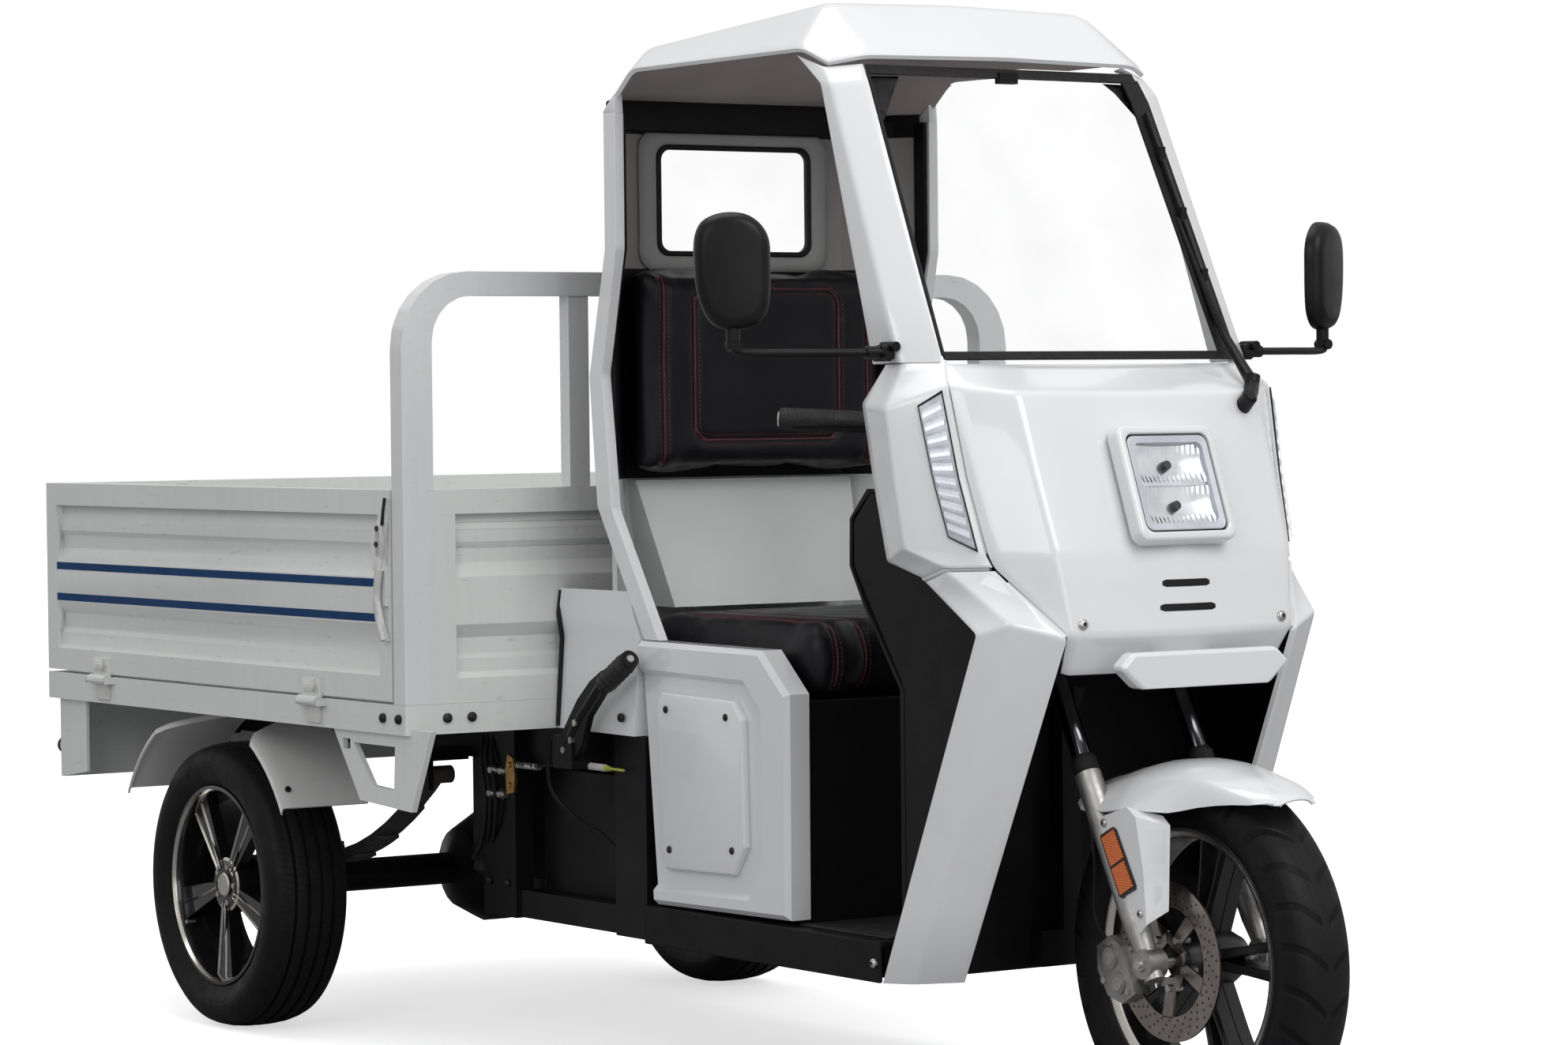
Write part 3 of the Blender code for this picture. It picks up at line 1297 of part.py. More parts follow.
def headlight():
    """Square lamp with a broad bezel, square to the leaning middle of the front panel."""
    upper = Vector((0.0, NOSE_TABLE[1][6], NOSE_TABLE[1][7]))
    lower = Vector((0.0, NOSE_TABLE[3][6], NOSE_TABLE[3][7]))
    down = (lower - upper).normalized()
    outward = Vector((0.0, down.z, -down.y))
    centre = upper.lerp(lower, 0.60) + outward * 0.0010
    body = union(plate(rounded_square(0.095, 0.094, 0.018), "Y", -0.020, 0.0),
                 plate(rounded_square(0.080, 0.079, 0.014), "Y", -0.026, -0.018))
    up = -down
    turn = Matrix(((1, 0, 0), (0, -outward.y, up.y), (0, -outward.z, up.z))).to_4x4()
    body.data.transform(Matrix.Translation(centre) @ turn)
    return bevelled(body, 0.003)


front_node("headlight", headlight(), CLEAR, vehicle)


def mirror():
    """Housing on a bent stalk that is clamped under the windscreen pillar."""
    centre = Vector((-0.588, 0.408, 1.340))
    sections = []
    for depth, share in ((-0.020, 0.55), (-0.016, 0.86), (-0.002, 1.0), (0.014, 0.96)):
        section = []
        for x, z in rounded_square(0.056 * share, 0.090 * share, 0.040 * share, 3):
            taper = 1.0 - 0.12 * (0.090 - z) / 0.18
            section.append(centre + Vector((x * taper, depth, z)))
        sections.append(section)
    housing = loft(sections)
    stalk = swept([(-0.588, 0.410, 1.262), (-0.588, 0.405, 1.228), (-0.575, 0.398, 1.216),
                   (-0.366, 0.328, 1.214)], 0.006, 1)
    knuckle = rod((-0.588, 0.408, 1.268), (-0.588, 0.405, 1.236), 0.011, 10)
    clamp = rod((-0.376, 0.333, 1.214), (-0.3453, 0.333, 1.214), 0.010, 12)
    return union(housing, stalk, knuckle, clamp)


front_pair("mirror", mirror(), BLACK_PLASTIC, True)


def rear_side_box():
    """Sloping cover between the cab's back corner and the cargo box."""
    inner = -0.3168
    rear = BED_START - GAP
    rows = ((BED_BASE_Z, -0.352, rear, 1.078), (0.742, -0.340, rear, 1.079), (0.823, -0.329, rear, 1.126))
    sections = []
    for z, x, y_rear, y_front in rows:
        sections.append([(inner, y_rear, z), (x, y_rear, z), (x, y_front, z), (inner, y_front, z)])
    return loft(sections)


front_pair("rear_side_box", rear_side_box(), WHITE)


def mudguard():
    """Moulded arch over the rear tyre, flattened under the bed."""
    rows = []
    for degrees in (-62, -48, -34, -20, -7, 7, 20, 34, 48, 62):
        angle = math.radians(degrees)
        radius = REAR_TYRE_RADIUS + 0.060 + 0.030 * abs(math.sin(angle))
        y = radius * math.sin(angle)
        z = min(AXLE_Z + radius * math.cos(angle), BED_BASE_Z - GAP)
        rows.append([(-(REAR_WHEEL_X + 0.092), y, z - 0.012), (-(REAR_WHEEL_X + 0.085), y, z),
                     (-(REAR_WHEEL_X - 0.085), y, z)])
    return shell(rows[::-1], 0.004)


pair("mudguard", mudguard(), WHITE)


def rear_bumper():
    """Folded skirt under the tail with a flange at each end, two rubber stops and lamp seats."""
    w = BED_HALF_WIDTH - 0.014
    sheet = 0.006
    low_z = 0.430
    skirt_y = BED_REAR_Y - 0.032
    flange_y = BED_REAR_Y - 0.135
    top_z = BED_BASE_Z - GAP
    skirt = box((-w, skirt_y, low_z), (w, skirt_y + 2.0 * sheet, top_z))
    pieces = []
    for side in (-1, 1):
        x = sorted((side * w, side * (w - sheet)))
        outline = [(skirt_y + sheet, low_z), (flange_y, low_z + 0.015), (flange_y, top_z),
                   (skirt_y + sheet, top_z)]
        pieces.append(plate(outline, "X", x[0], x[1]))
        stop_x = side * (w - 0.022)
        pieces.append(rod((stop_x, skirt_y + 0.007, 0.488), (stop_x, skirt_y + 0.040, 0.488), 0.016, 14))
        x = sorted((side * (w - 0.082), side * (w - 0.262)))
        seat = box((x[0], skirt_y + 0.007, 0.470), (x[1], skirt_y + 0.032, 0.545))
        pieces.append(bevelled(seat, 0.006))
    return union(skirt, *pieces)


node("rear_bumper", rear_bumper(), WHITE, vehicle)


def parking_brake_lever():
    bracket = box((-0.388, 1.220, 0.520), (-(RAIL_X + RAIL_WIDTH / 2.0) - GAP, 1.280, 0.576))
    arm = swept([(-0.378, 1.255, 0.550), (-0.378, 1.200, 0.610), (-0.378, 1.140, 0.662),
                 (-0.378, 1.050, 0.712)], 0.011, 2)
    grip = rod((-0.378, 1.130, 0.667), (-0.378, 1.045, 0.715), 0.016, 12)
    return union(bracket, arm, grip)


front_node("parking_brake_lever", parking_brake_lever(), BLACK_PLASTIC, vehicle)

for leftover in list(bpy.context.scene.collection.objects):
    bpy.data.objects.remove(leftover, do_unlink=True)
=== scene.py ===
import math
import bmesh
import bpy
import numpy as np
from mathutils import Matrix, Vector
from mathutils.bvhtree import BVHTree


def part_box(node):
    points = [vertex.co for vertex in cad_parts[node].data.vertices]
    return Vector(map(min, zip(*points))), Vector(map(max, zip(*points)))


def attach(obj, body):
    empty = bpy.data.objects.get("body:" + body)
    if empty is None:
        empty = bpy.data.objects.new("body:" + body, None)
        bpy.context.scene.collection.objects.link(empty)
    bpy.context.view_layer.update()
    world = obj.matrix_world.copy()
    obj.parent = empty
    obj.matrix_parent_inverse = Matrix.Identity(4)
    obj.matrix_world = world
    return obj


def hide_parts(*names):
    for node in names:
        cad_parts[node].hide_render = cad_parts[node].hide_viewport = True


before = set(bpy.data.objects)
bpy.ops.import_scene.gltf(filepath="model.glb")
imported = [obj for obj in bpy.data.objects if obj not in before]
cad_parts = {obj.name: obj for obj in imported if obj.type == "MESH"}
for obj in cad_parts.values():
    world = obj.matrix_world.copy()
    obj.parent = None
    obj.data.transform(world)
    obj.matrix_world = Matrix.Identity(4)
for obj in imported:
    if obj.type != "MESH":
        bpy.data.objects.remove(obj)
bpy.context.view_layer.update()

# Camera, lights and floor: a plain studio. The camera stands where the photograph was taken;
# the floor is pale and keeps the shadow, and what lies behind it is white.


def placed(name, data):
    """A new object in the scene."""
    obj = bpy.data.objects.new(name, data)
    bpy.context.scene.collection.objects.link(obj)
    return obj


def put(tree, kind, *given, named=(), **settings):
    """A node with its settings; its inputs are given in order or by name, as values or as sockets."""
    node = tree.nodes.new(kind)
    for key, value in settings.items():
        setattr(node, key, value)
    for socket, value in list(zip(node.inputs, given)) + [(node.inputs[name], value) for name, value in named]:
        if isinstance(value, bpy.types.NodeSocket):
            tree.links.new(value, socket)
        elif value is not None:
            socket.default_value = value
    return node


def calc(tree, operation, a, b=0.0, clamp=False):
    """The result of a Math node."""
    return put(tree, "ShaderNodeMath", a, b, operation=operation, use_clamp=clamp).outputs[0]


def spread(tree, value, low, high, out_low=0.0, out_high=1.0):
    """A value mapped from one range to another and held inside it."""
    return put(tree, "ShaderNodeMapRange", value, low, high, out_low, out_high).outputs[0]


def seen_straight(tree):
    """1 for what the camera sees straight or through glass, else 0."""
    path = tree.nodes.new("ShaderNodeLightPath")
    return calc(tree, "MAXIMUM", path.outputs["Is Camera Ray"], path.outputs["Is Transmission Ray"])


camera = placed("camera", bpy.data.cameras.new("camera"))
yaw, pitch, roll = math.radians(34.08), math.radians(-1.512), math.radians(-0.598)
ahead = Vector((math.sin(yaw) * math.cos(pitch), math.cos(yaw) * math.cos(pitch), math.sin(pitch)))
right = Vector((math.cos(yaw), -math.sin(yaw), 0.0))
above = right.cross(ahead)
camera_x = math.cos(roll) * right + math.sin(roll) * above
camera_y = math.cos(roll) * above - math.sin(roll) * right
camera.matrix_world = Matrix.Translation((-4.494, -6.74175, 1.143)) @ Matrix(
    (camera_x, camera_y, -ahead)).transposed().to_4x4()
SENSOR, FOCAL_PIXELS, PHOTO_WIDTH = 36.0, 5884.7, 1985.0
camera.data.sensor_width = SENSOR
camera.data.lens = SENSOR * FOCAL_PIXELS / PHOTO_WIDTH
camera.data.clip_start, camera.data.clip_end = 0.1, 100.0
bpy.context.scene.camera = camera
bpy.context.scene.view_settings.view_transform = "Standard"

for label, place, aim, size, power in (
        ("key_lamp", (0.6, -5.6, 5.2), (0.0, -0.4, 0.9), 3.2, 150.0),
        ("top_lamp", (-0.5, 0.5, 6.0), (0.0, 0.1, 0.5), 3.6, 95.0),
        ("side_lamp", (-6.0, -4.2, 3.8), (0.0, 0.2, 0.7), 2.8, 70.0),
        ("front_lamp", (-1.3, -7.2, 1.6), (-0.2, -0.6, 0.8), 3.2, 38.0)):
    lamp = placed(label, bpy.data.lights.new(label, "AREA"))
    lamp.data.size, lamp.data.energy = size, power
    lamp.location = place
    lamp.rotation_euler = (Vector(aim) - Vector(place)).to_track_quat("-Z", "Y").to_euler()

world = bpy.data.worlds.new("studio")
bpy.context.scene.world = world
world.use_nodes = True
sky = world.node_tree
SKY_LIGHT = 0.625
sky.links.new(spread(sky, seen_straight(sky), 0.0, 1.0, SKY_LIGHT, 1.0), sky.nodes["Background"].inputs["Strength"])
sky.nodes["Background"].inputs["Color"].default_value = (1.0, 1.0, 1.0, 1.0)


def between(tree, share, a, b):
    """A colour between a and b."""
    node = tree.nodes.new("ShaderNodeMix")
    node.data_type = "RGBA"
    for socket, value in ((node.inputs[0], share), (node.inputs[6], a), (node.inputs[7], b)):
        if isinstance(value, bpy.types.NodeSocket):
            tree.links.new(value, socket)
        else:
            socket.default_value = (*value, 1.0)
    return node.outputs[2]


def cloud(tree, vector, scale, detail):
    """Noise from 0 to 1."""
    return put(tree, "ShaderNodeTexNoise",
               named=(("Vector", vector), ("Scale", scale), ("Detail", detail))).outputs["Fac"]


def group(name, inputs, outputs):
    """An empty shader node group with named sockets."""
    tree = bpy.data.node_groups.new(name, "ShaderNodeTree")
    for label, kind, value in inputs:
        socket = tree.interface.new_socket(label, in_out="INPUT", socket_type="NodeSocket" + kind)
        if value is not None:
            socket.default_value = value
    for label, kind in outputs:
        tree.interface.new_socket(label, in_out="OUTPUT", socket_type="NodeSocket" + kind)
    return tree, tree.nodes.new("NodeGroupInput"), tree.nodes.new("NodeGroupOutput")


def surface_skin():
    """Cloudy colour, uneven gloss and a fine grain, for paint, plastic, rubber and metal."""
    tree, given, out = group("surface_skin", (
        ("Place", "Vector", None), ("Colour", "Color", (0.5, 0.5, 0.5, 1.0)), ("Shade", "Color", (0.4, 0.4, 0.4, 1.0)),
        ("Patch", "Float", 3.0), ("Grain", "Float", 400.0), ("Smooth", "Float", 0.3), ("Dull", "Float", 0.4)),
        (("Colour", "Color"), ("Roughness", "Float"), ("Height", "Float")))
    place = given.outputs["Place"]
    patch = cloud(tree, place, given.outputs["Patch"], 4.0)
    tree.links.new(between(tree, spread(tree, patch, 0.35, 0.65), given.outputs["Colour"], given.outputs["Shade"]),
                   out.inputs["Colour"])
    smear = cloud(tree, place, calc(tree, "MULTIPLY", given.outputs["Patch"], 3.7), 3.0)
    tree.links.new(spread(tree, smear, 0.3, 0.7, given.outputs["Smooth"], given.outputs["Dull"]),
                   out.inputs["Roughness"])
    tree.links.new(cloud(tree, place, given.outputs["Grain"], 3.0), out.inputs["Height"])
    return tree


SKIN = surface_skin()


def finish(name, colour, shade, smooth, dull, patch=3.0, grain=400.0, bump=0.1, depth=0.0004, metallic=0.0,
           **constants):
    """A material on the surface skin. Constants go on the shader's own sockets."""
    mat = bpy.data.materials.new(name)
    mat.use_nodes = True
    tree = mat.node_tree
    shader = tree.nodes["Principled BSDF"]
    skin = tree.nodes.new("ShaderNodeGroup")
    skin.node_tree = SKIN
    skin.name = "skin"
    tree.links.new(tree.nodes.new("ShaderNodeTexCoord").outputs["Object"], skin.inputs["Place"])
    for label, value in (("Colour", (*colour, 1.0)), ("Shade", (*shade, 1.0)), ("Patch", patch), ("Grain", grain),
                         ("Smooth", smooth), ("Dull", dull)):
        skin.inputs[label].default_value = value
    tree.links.new(skin.outputs["Colour"], shader.inputs["Base Color"])
    tree.links.new(skin.outputs["Roughness"], shader.inputs["Roughness"])
    relief = tree.nodes.new("ShaderNodeBump")
    relief.name = "relief"
    relief.inputs["Strength"].default_value = bump
    relief.inputs["Distance"].default_value = depth
    tree.links.new(skin.outputs["Height"], relief.inputs["Height"])
    tree.links.new(relief.outputs["Normal"], shader.inputs["Normal"])
    shader.inputs["Metallic"].default_value = metallic
    for label, value in constants.items():
        shader.inputs[label.replace("_", " ")].default_value = value
    return mat


floor_paint = finish("studio_floor", (0.90, 0.90, 0.905), (0.92, 0.92, 0.92), 0.8, 0.9, 0.8, 60.0, 0.02,
                     Emission_Color=(1.0, 1.0, 1.0, 1.0), Specular_IOR_Level=0.1)
tree = floor_paint.node_tree
shader = tree.nodes["Principled BSDF"]
straight = tree.nodes.new("ShaderNodeLightPath").outputs["Is Camera Ray"]
tree.links.new(between(tree, straight, (0.30, 0.30, 0.31), (0.90, 0.90, 0.92)), shader.inputs["Base Color"])
tree.links.new(calc(tree, "MULTIPLY", seen_straight(tree), 0.60), shader.inputs["Emission Strength"])
bm = bmesh.new()
bmesh.ops.create_circle(bm, cap_ends=True, segments=96, radius=30.0)
floor = placed("floor", bpy.data.meshes.new("floor"))
bm.to_mesh(floor.data)
bm.free()
floor.data.materials.append(floor_paint)

# Chassis frame: welded square tube under the bed and the cab, black powder coat. The axle,
# motor, springs, battery tray and steering head are bolted to it.
WHEELBASE = 2.15
REAR_AXLE_Y = 0.90725
FRONT_AXLE_Y = REAR_AXLE_Y - WHEELBASE
REAR_AXLE_Z = 0.262
FRONT_AXLE_Z = 0.285
SIDES = ((-1, "right"), (1, "left"))
WELD = 0.00003


def cad_copy(node):
    """A welded copy of a CAD node's shape."""
    bm = bmesh.new()
    bm.from_mesh(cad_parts[node].data)
    bmesh.ops.remove_doubles(bm, verts=bm.verts, dist=WELD)
    bmesh.ops.dissolve_limit(bm, angle_limit=math.radians(0.4), verts=bm.verts, edges=bm.edges)
    return bm


def ease(bm, fold, rim, faint=8.0, split=65.0, segments=2):
    """Rounds a shape's edges: the folds between its facets by fold, its square edges by rim."""
    for width, low, high in ((fold, faint, split), (rim, split, 180.0)):
        if width <= 0.0:
            continue
        edges = [e for e in bm.edges if len(e.link_faces) == 2
                 and low <= math.degrees(e.calc_face_angle(0.0)) < high
                 and e.calc_length() > 2.2 * width]
        bmesh.ops.bevel(bm, geom=edges, offset=width, offset_type="OFFSET", segments=segments, profile=0.5,
                        affect="EDGES", clamp_overlap=True, material=-1)
        bmesh.ops.remove_doubles(bm, verts=bm.verts, dist=0.00002)
    return bm


def piece(name, bm, mats, body="chassis", stands_for=(), edge=38.0, even=False):
    """A finished piece from a bmesh, riding on a body. With even, flat faces keep flat shading."""
    mesh = bpy.data.meshes.new(name)
    bm.normal_update()
    bm.to_mesh(mesh)
    bm.free()
    for mat in mats if isinstance(mats, (list, tuple)) else [mats]:
        mesh.materials.append(mat)
    mesh.shade_smooth()
    mesh.set_sharp_from_angle(angle=math.radians(edge))
    obj = placed(name, mesh)
    if even:
        obj.modifiers.new("even", "WEIGHTED_NORMAL").keep_sharp = True
    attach(obj, body)
    if stands_for:
        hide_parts(*([stands_for] if isinstance(stands_for, str) else stands_for))
    return obj


def eased_node(node, mat, fold, rim, body="chassis", segments=2, faint=8.0):
    """A CAD node's shape with rounded edges, standing for the node."""
    return piece(node + "_skin", ease(cad_copy(node), fold, rim, faint, segments=segments), mat, body, node,
                 even=True)


def block(bm, low, high, mat=0):
    """A box between two corners, added to bm."""
    verts = bmesh.ops.create_cube(bm, size=1.0)["verts"]
    for vert in verts:
        for k in range(3):
            vert.co[k] = low[k] + (vert.co[k] + 0.5) * (high[k] - low[k])
    for face in {f for v in verts for f in v.link_faces}:
        face.material_index = mat


def bar(bm, start, end, radius, sides=16, mat=0, end_radius=None):
    """A round bar or cone, added to bm."""
    start, end = Vector(start), Vector(end)
    place = Matrix.Translation((start + end) / 2.0) @ (end - start).to_track_quat("Z", "Y").to_matrix().to_4x4()
    made = bmesh.ops.create_cone(bm, cap_ends=True, segments=sides, radius1=radius, depth=(end - start).length,
                                 radius2=radius if end_radius is None else end_radius, matrix=place)
    for face in {f for v in made["verts"] for f in v.link_faces}:
        face.material_index = mat


def add_shape(bm, other):
    """Adds another shape to bm."""
    mesh = bpy.data.meshes.new("shape")
    other.to_mesh(mesh)
    other.free()
    bm.from_mesh(mesh)
    bpy.data.meshes.remove(mesh)


def strips(bm, rows, mat=0, loop=True, ring=False):
    """Faces between rows of vertices. Loop closes each row; ring joins the last row to the first."""
    faces = []
    for low, high in zip(rows, rows[1:] + (rows[:1] if ring else [])):
        for n in range(len(low) - (0 if loop else 1)):
            m = (n + 1) % len(low)
            faces.append(bm.faces.new((low[n], low[m], high[m], high[n])))
    for face in faces:
        face.material_index = mat
    return faces


def smooth_path(points, steps=6):
    """Points on a smooth curve through points."""
    points = [Vector(p) for p in points]
    ends = [points[0] * 2 - points[1]] + points + [points[-1] * 2 - points[-2]]
    found = []
    for a, b, c, d in zip(ends, ends[1:], ends[2:], ends[3:]):
        for k in range(steps):
            t = k / steps
            found.append(0.5 * (2 * b + (c - a) * t + (2 * a - 5 * b + 4 * c - d) * t * t
                                + (3 * b - a - 3 * c + d) * t ** 3))
    return found + [points[-1]]


def pipe(bm, points, radius, sides=10, mat=0):
    """A tube along points, added to bm. Radius is a number or one number a point."""
    points = [Vector(p) for p in points]
    radii = radius if isinstance(radius, (list, tuple)) else [radius] * len(points)
    rings = []
    side = None
    for k, point in enumerate(points):
        along = (points[min(k + 1, len(points) - 1)] - points[max(k - 1, 0)]).normalized()
        if side is None:
            side = along.cross(Vector((0.0, 0.0, 1.0) if abs(along.z) < 0.9 else (1.0, 0.0, 0.0))).normalized()
        side = (side - along * side.dot(along)).normalized()
        other = along.cross(side)
        ring = []
        for n in range(sides):
            angle = 2.0 * math.pi * n / sides
            ring.append(bm.verts.new(point + (side * math.cos(angle) + other * math.sin(angle)) * radii[k]))
        rings.append(ring)
    faces = strips(bm, rings)
    faces += [bm.faces.new(rings[0]), bm.faces.new(rings[-1][::-1])]
    for face in faces:
        face.material_index = mat
    bmesh.ops.recalc_face_normals(bm, faces=faces)


def prism(bm, outline, reach, mat=0):
    """A flat outline in space carried along reach, added to bm."""
    low = [bm.verts.new(p) for p in outline]
    high = [bm.verts.new(Vector(p) + Vector(reach)) for p in outline]
    faces = [bm.faces.new(low), bm.faces.new(high[::-1])]
    for k in range(len(low)):
        n = (k + 1) % len(low)
        faces.append(bm.faces.new((low[k], high[k], high[n], low[n])))
    for face in faces:
        face.material_index = mat
    bmesh.ops.recalc_face_normals(bm, faces=faces)
    return faces


def bolt_heads():
    """Domed screw heads on points, each facing along the point's own direction; a near-black hex on top is painted
    shade for the socket.
    """
    tree = bpy.data.node_groups.new("bolt_heads", "GeometryNodeTree")
    for label, kind in (("Points", "Geometry"), ("Radius", "Float"), ("Height", "Float"), ("Metal", "Material"),
                        ("Socket", "Material")):
        tree.interface.new_socket(label, in_out="INPUT", socket_type="NodeSocket" + kind)
    tree.interface.new_socket("Heads", in_out="OUTPUT", socket_type="NodeSocketGeometry")
    given, out = tree.nodes.new("NodeGroupInput"), tree.nodes.new("NodeGroupOutput")
    radius, height = given.outputs["Radius"], given.outputs["Height"]

    def sized(kind, sides, r, depth, metal, lift):
        node = tree.nodes.new(kind)
        node.inputs["Vertices" if "Cyl" in kind else "Segments"].default_value = sides
        tree.links.new(r, node.inputs["Radius"])
        if "Cyl" in kind:
            tree.links.new(depth, node.inputs["Depth"])
        else:
            node.inputs["Rings"].default_value = 6
        move = tree.nodes.new("GeometryNodeTransform")
        tree.links.new(node.outputs["Mesh"], move.inputs["Geometry"])
        up = tree.nodes.new("ShaderNodeCombineXYZ")
        tree.links.new(lift, up.inputs["Z"])
        tree.links.new(up.outputs[0], move.inputs["Translation"])
        if "Cyl" not in kind:
            move.inputs["Scale"].default_value = (1.0, 1.0, 0.45)
        coat = tree.nodes.new("GeometryNodeSetMaterial")
        tree.links.new(move.outputs[0], coat.inputs["Geometry"])
        tree.links.new(metal, coat.inputs["Material"])
        return coat.outputs[0]

    half = calc(tree, "MULTIPLY", height, 0.5)
    neck = sized("GeometryNodeMeshCylinder", 14, radius, height, given.outputs["Metal"], half)
    dome = sized("GeometryNodeMeshUVSphere", 14, radius, height, given.outputs["Metal"], height)
    # The socket is a near-black hex just proud of the dome: painted shade for a recess that is not cut.
    hole_shade = sized("GeometryNodeMeshCylinder", 6, calc(tree, "MULTIPLY", radius, 0.42),
                 calc(tree, "MULTIPLY", radius, 0.95), given.outputs["Socket"], height)
    join = tree.nodes.new("GeometryNodeJoinGeometry")
    for socket in (neck, dome, hole_shade):
        tree.links.new(socket, join.inputs[0])
    facing = tree.nodes.new("GeometryNodeInputNamedAttribute")
    facing.data_type = "FLOAT_VECTOR"
    facing.inputs["Name"].default_value = "facing"
    turn = tree.nodes.new("FunctionNodeAlignRotationToVector")
    turn.axis = "Z"
    tree.links.new(facing.outputs["Attribute"], turn.inputs["Vector"])
    put_on = tree.nodes.new("GeometryNodeInstanceOnPoints")
    tree.links.new(given.outputs["Points"], put_on.inputs["Points"])
    tree.links.new(join.outputs[0], put_on.inputs["Instance"])
    tree.links.new(turn.outputs[0], put_on.inputs["Rotation"])
    real = tree.nodes.new("GeometryNodeRealizeInstances")
    tree.links.new(put_on.outputs[0], real.inputs[0])
    tree.links.new(real.outputs[0], out.inputs[0])
    return tree


BOLT_HEADS = bolt_heads()


def settled(obj):
    """The mesh that an object's modifiers make; they are cleared."""
    made = bpy.data.meshes.new_from_object(obj.evaluated_get(bpy.context.evaluated_depsgraph_get()))
    obj.modifiers.clear()
    return made


def node_mesh(name, source, tree, values):
    """The mesh that a Geometry Nodes tree makes from a source mesh."""
    obj = placed(name, source)
    modifier = obj.modifiers.new(name, "NODES")
    modifier.node_group = tree
    sockets = {s.name: s.identifier for s in tree.interface.items_tree if s.in_out == "INPUT"}
    for label, value in values.items():
        modifier[sockets[label]] = value
    made = settled(obj)
    bpy.data.objects.remove(obj)
    return made


def bolts(name, places, radius, height, metal, socket, body="chassis"):
    """Screws at (point, facing) places, as one piece."""
    source = bpy.data.meshes.new(name + "_points")
    source.from_pydata([p for p, d in places], [], [])
    facing = source.attributes.new("facing", "FLOAT_VECTOR", "POINT")
    facing.data.foreach_set("vector", [c for p, d in places for c in d])
    mesh = node_mesh(name, source, BOLT_HEADS, {"Radius": radius, "Height": height, "Metal": metal,
                                                "Socket": socket})
    mesh.shade_smooth()
    mesh.set_sharp_from_angle(angle=math.radians(40.0))
    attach(placed(name, mesh), body)


powder_black = finish("powder_black", (0.0042, 0.0040, 0.0055), (0.0062, 0.0060, 0.0075), 0.32, 0.46, 4.0, 900.0, 0.12,
                      0.0003, Specular_IOR_Level=0.20)
# Near black for the screws' hex sockets: painted shade in place of their recess.
socket_shade = finish("socket_shade", (0.006, 0.006, 0.006), (0.012, 0.012, 0.012), 0.6, 0.8, 20.0, 500.0)
bolt_black = finish("bolt_black", (0.012, 0.012, 0.013), (0.03, 0.03, 0.03), 0.25, 0.4, 60.0, 900.0, 0.05,
                    metallic=0.6)
zinc = finish("zinc_plate", (0.62, 0.61, 0.58), (0.48, 0.47, 0.45), 0.22, 0.38, 40.0, 900.0, 0.05, metallic=1.0)
brass = finish("brass_fitting", (0.60, 0.36, 0.14), (0.42, 0.24, 0.09), 0.25, 0.4, 60.0, 900.0, 0.05, metallic=1.0)

for node in ("main_frame", "battery_pack", "steering_head"):
    eased_node(node, powder_black, 0.002, 0.003)
eased_node("rear_axle", powder_black, 0.002, 0.002, faint=30.0)

spring_steel = finish("spring_steel", (0.030, 0.030, 0.032), (0.05, 0.045, 0.04), 0.4, 0.6, 14.0, 700.0, 0.2)
SPRING_X, SPRING_WIDTH, SPRING_HALF, SPRING_EYE_Z = 0.360, 0.045, 0.432, 0.480
for side, word in SIDES:
    bm = bmesh.new()
    x0, x1 = side * (SPRING_X - SPRING_WIDTH / 2.0), side * (SPRING_X + SPRING_WIDTH / 2.0)
    saddle_z = REAR_AXLE_Z + 0.0305
    for leaf, share in enumerate((1.0, 0.78, 0.56, 0.36)):
        outline = []
        for s in np.linspace(-share, share, 17):
            rise = 0.1795 * s * s + 0.020 - leaf * 0.0064 - 0.004
            outline.append(Vector((x0, REAR_AXLE_Y + SPRING_HALF * s, saddle_z + max(rise, 0.001))))
        outline += [p + Vector((0.0, 0.0, 0.0055)) for p in reversed(outline)]
        prism(bm, outline, (x1 - x0, 0.0, 0.0))
    for end in (-1, 1):
        eye_y = REAR_AXLE_Y + end * SPRING_HALF
        bar(bm, (x0, eye_y, SPRING_EYE_Z), (x1, eye_y, SPRING_EYE_Z), 0.016, 20)
    for y in (-0.026, 0.026):
        pipe(bm, [(x0, REAR_AXLE_Y + y, saddle_z + 0.002), (x0, REAR_AXLE_Y + y, saddle_z + 0.034),
                  (x1, REAR_AXLE_Y + y, saddle_z + 0.034), (x1, REAR_AXLE_Y + y, saddle_z + 0.002)], 0.0045, 8)
    block(bm, (min(x0, x1), REAR_AXLE_Y - 0.035, saddle_z + 0.022),
          (max(x0, x1), REAR_AXLE_Y + 0.035, saddle_z + 0.031))
    piece("leaf_spring_pack_" + word, bm, spring_steel, stands_for="leaf_spring_" + word)

bolts("frame_bolts", [((side * 0.3372, FRONT_AXLE_Y + y, z), (side, 0, 0)) for y in (1.52, 1.58)
                      for z in (0.300, 0.500) for side in (-1, 1)], 0.0065, 0.004, bolt_black, socket_shade)

# Splash sheets: ribbed black plastic behind the posts beside the seat, clipped to the frame. They
# keep the rear wheels' dirt off the battery.
bm = bmesh.new()
for side in (-1, 1):
    x0, x1 = sorted((side * 0.262, side * 0.266))
    block(bm, (x0, -0.050, 0.300), (x1, 0.520, 0.576))
    for y in (0.03, 0.13, 0.23, 0.33, 0.43):
        x2, x3 = sorted((side * 0.266, side * 0.270))
        block(bm, (x2, y, 0.310), (x3, y + 0.016, 0.566))
ease(bm, 0.0, 0.0012, 8.0, 60.0)
piece("splash_sheets", bm, powder_black)

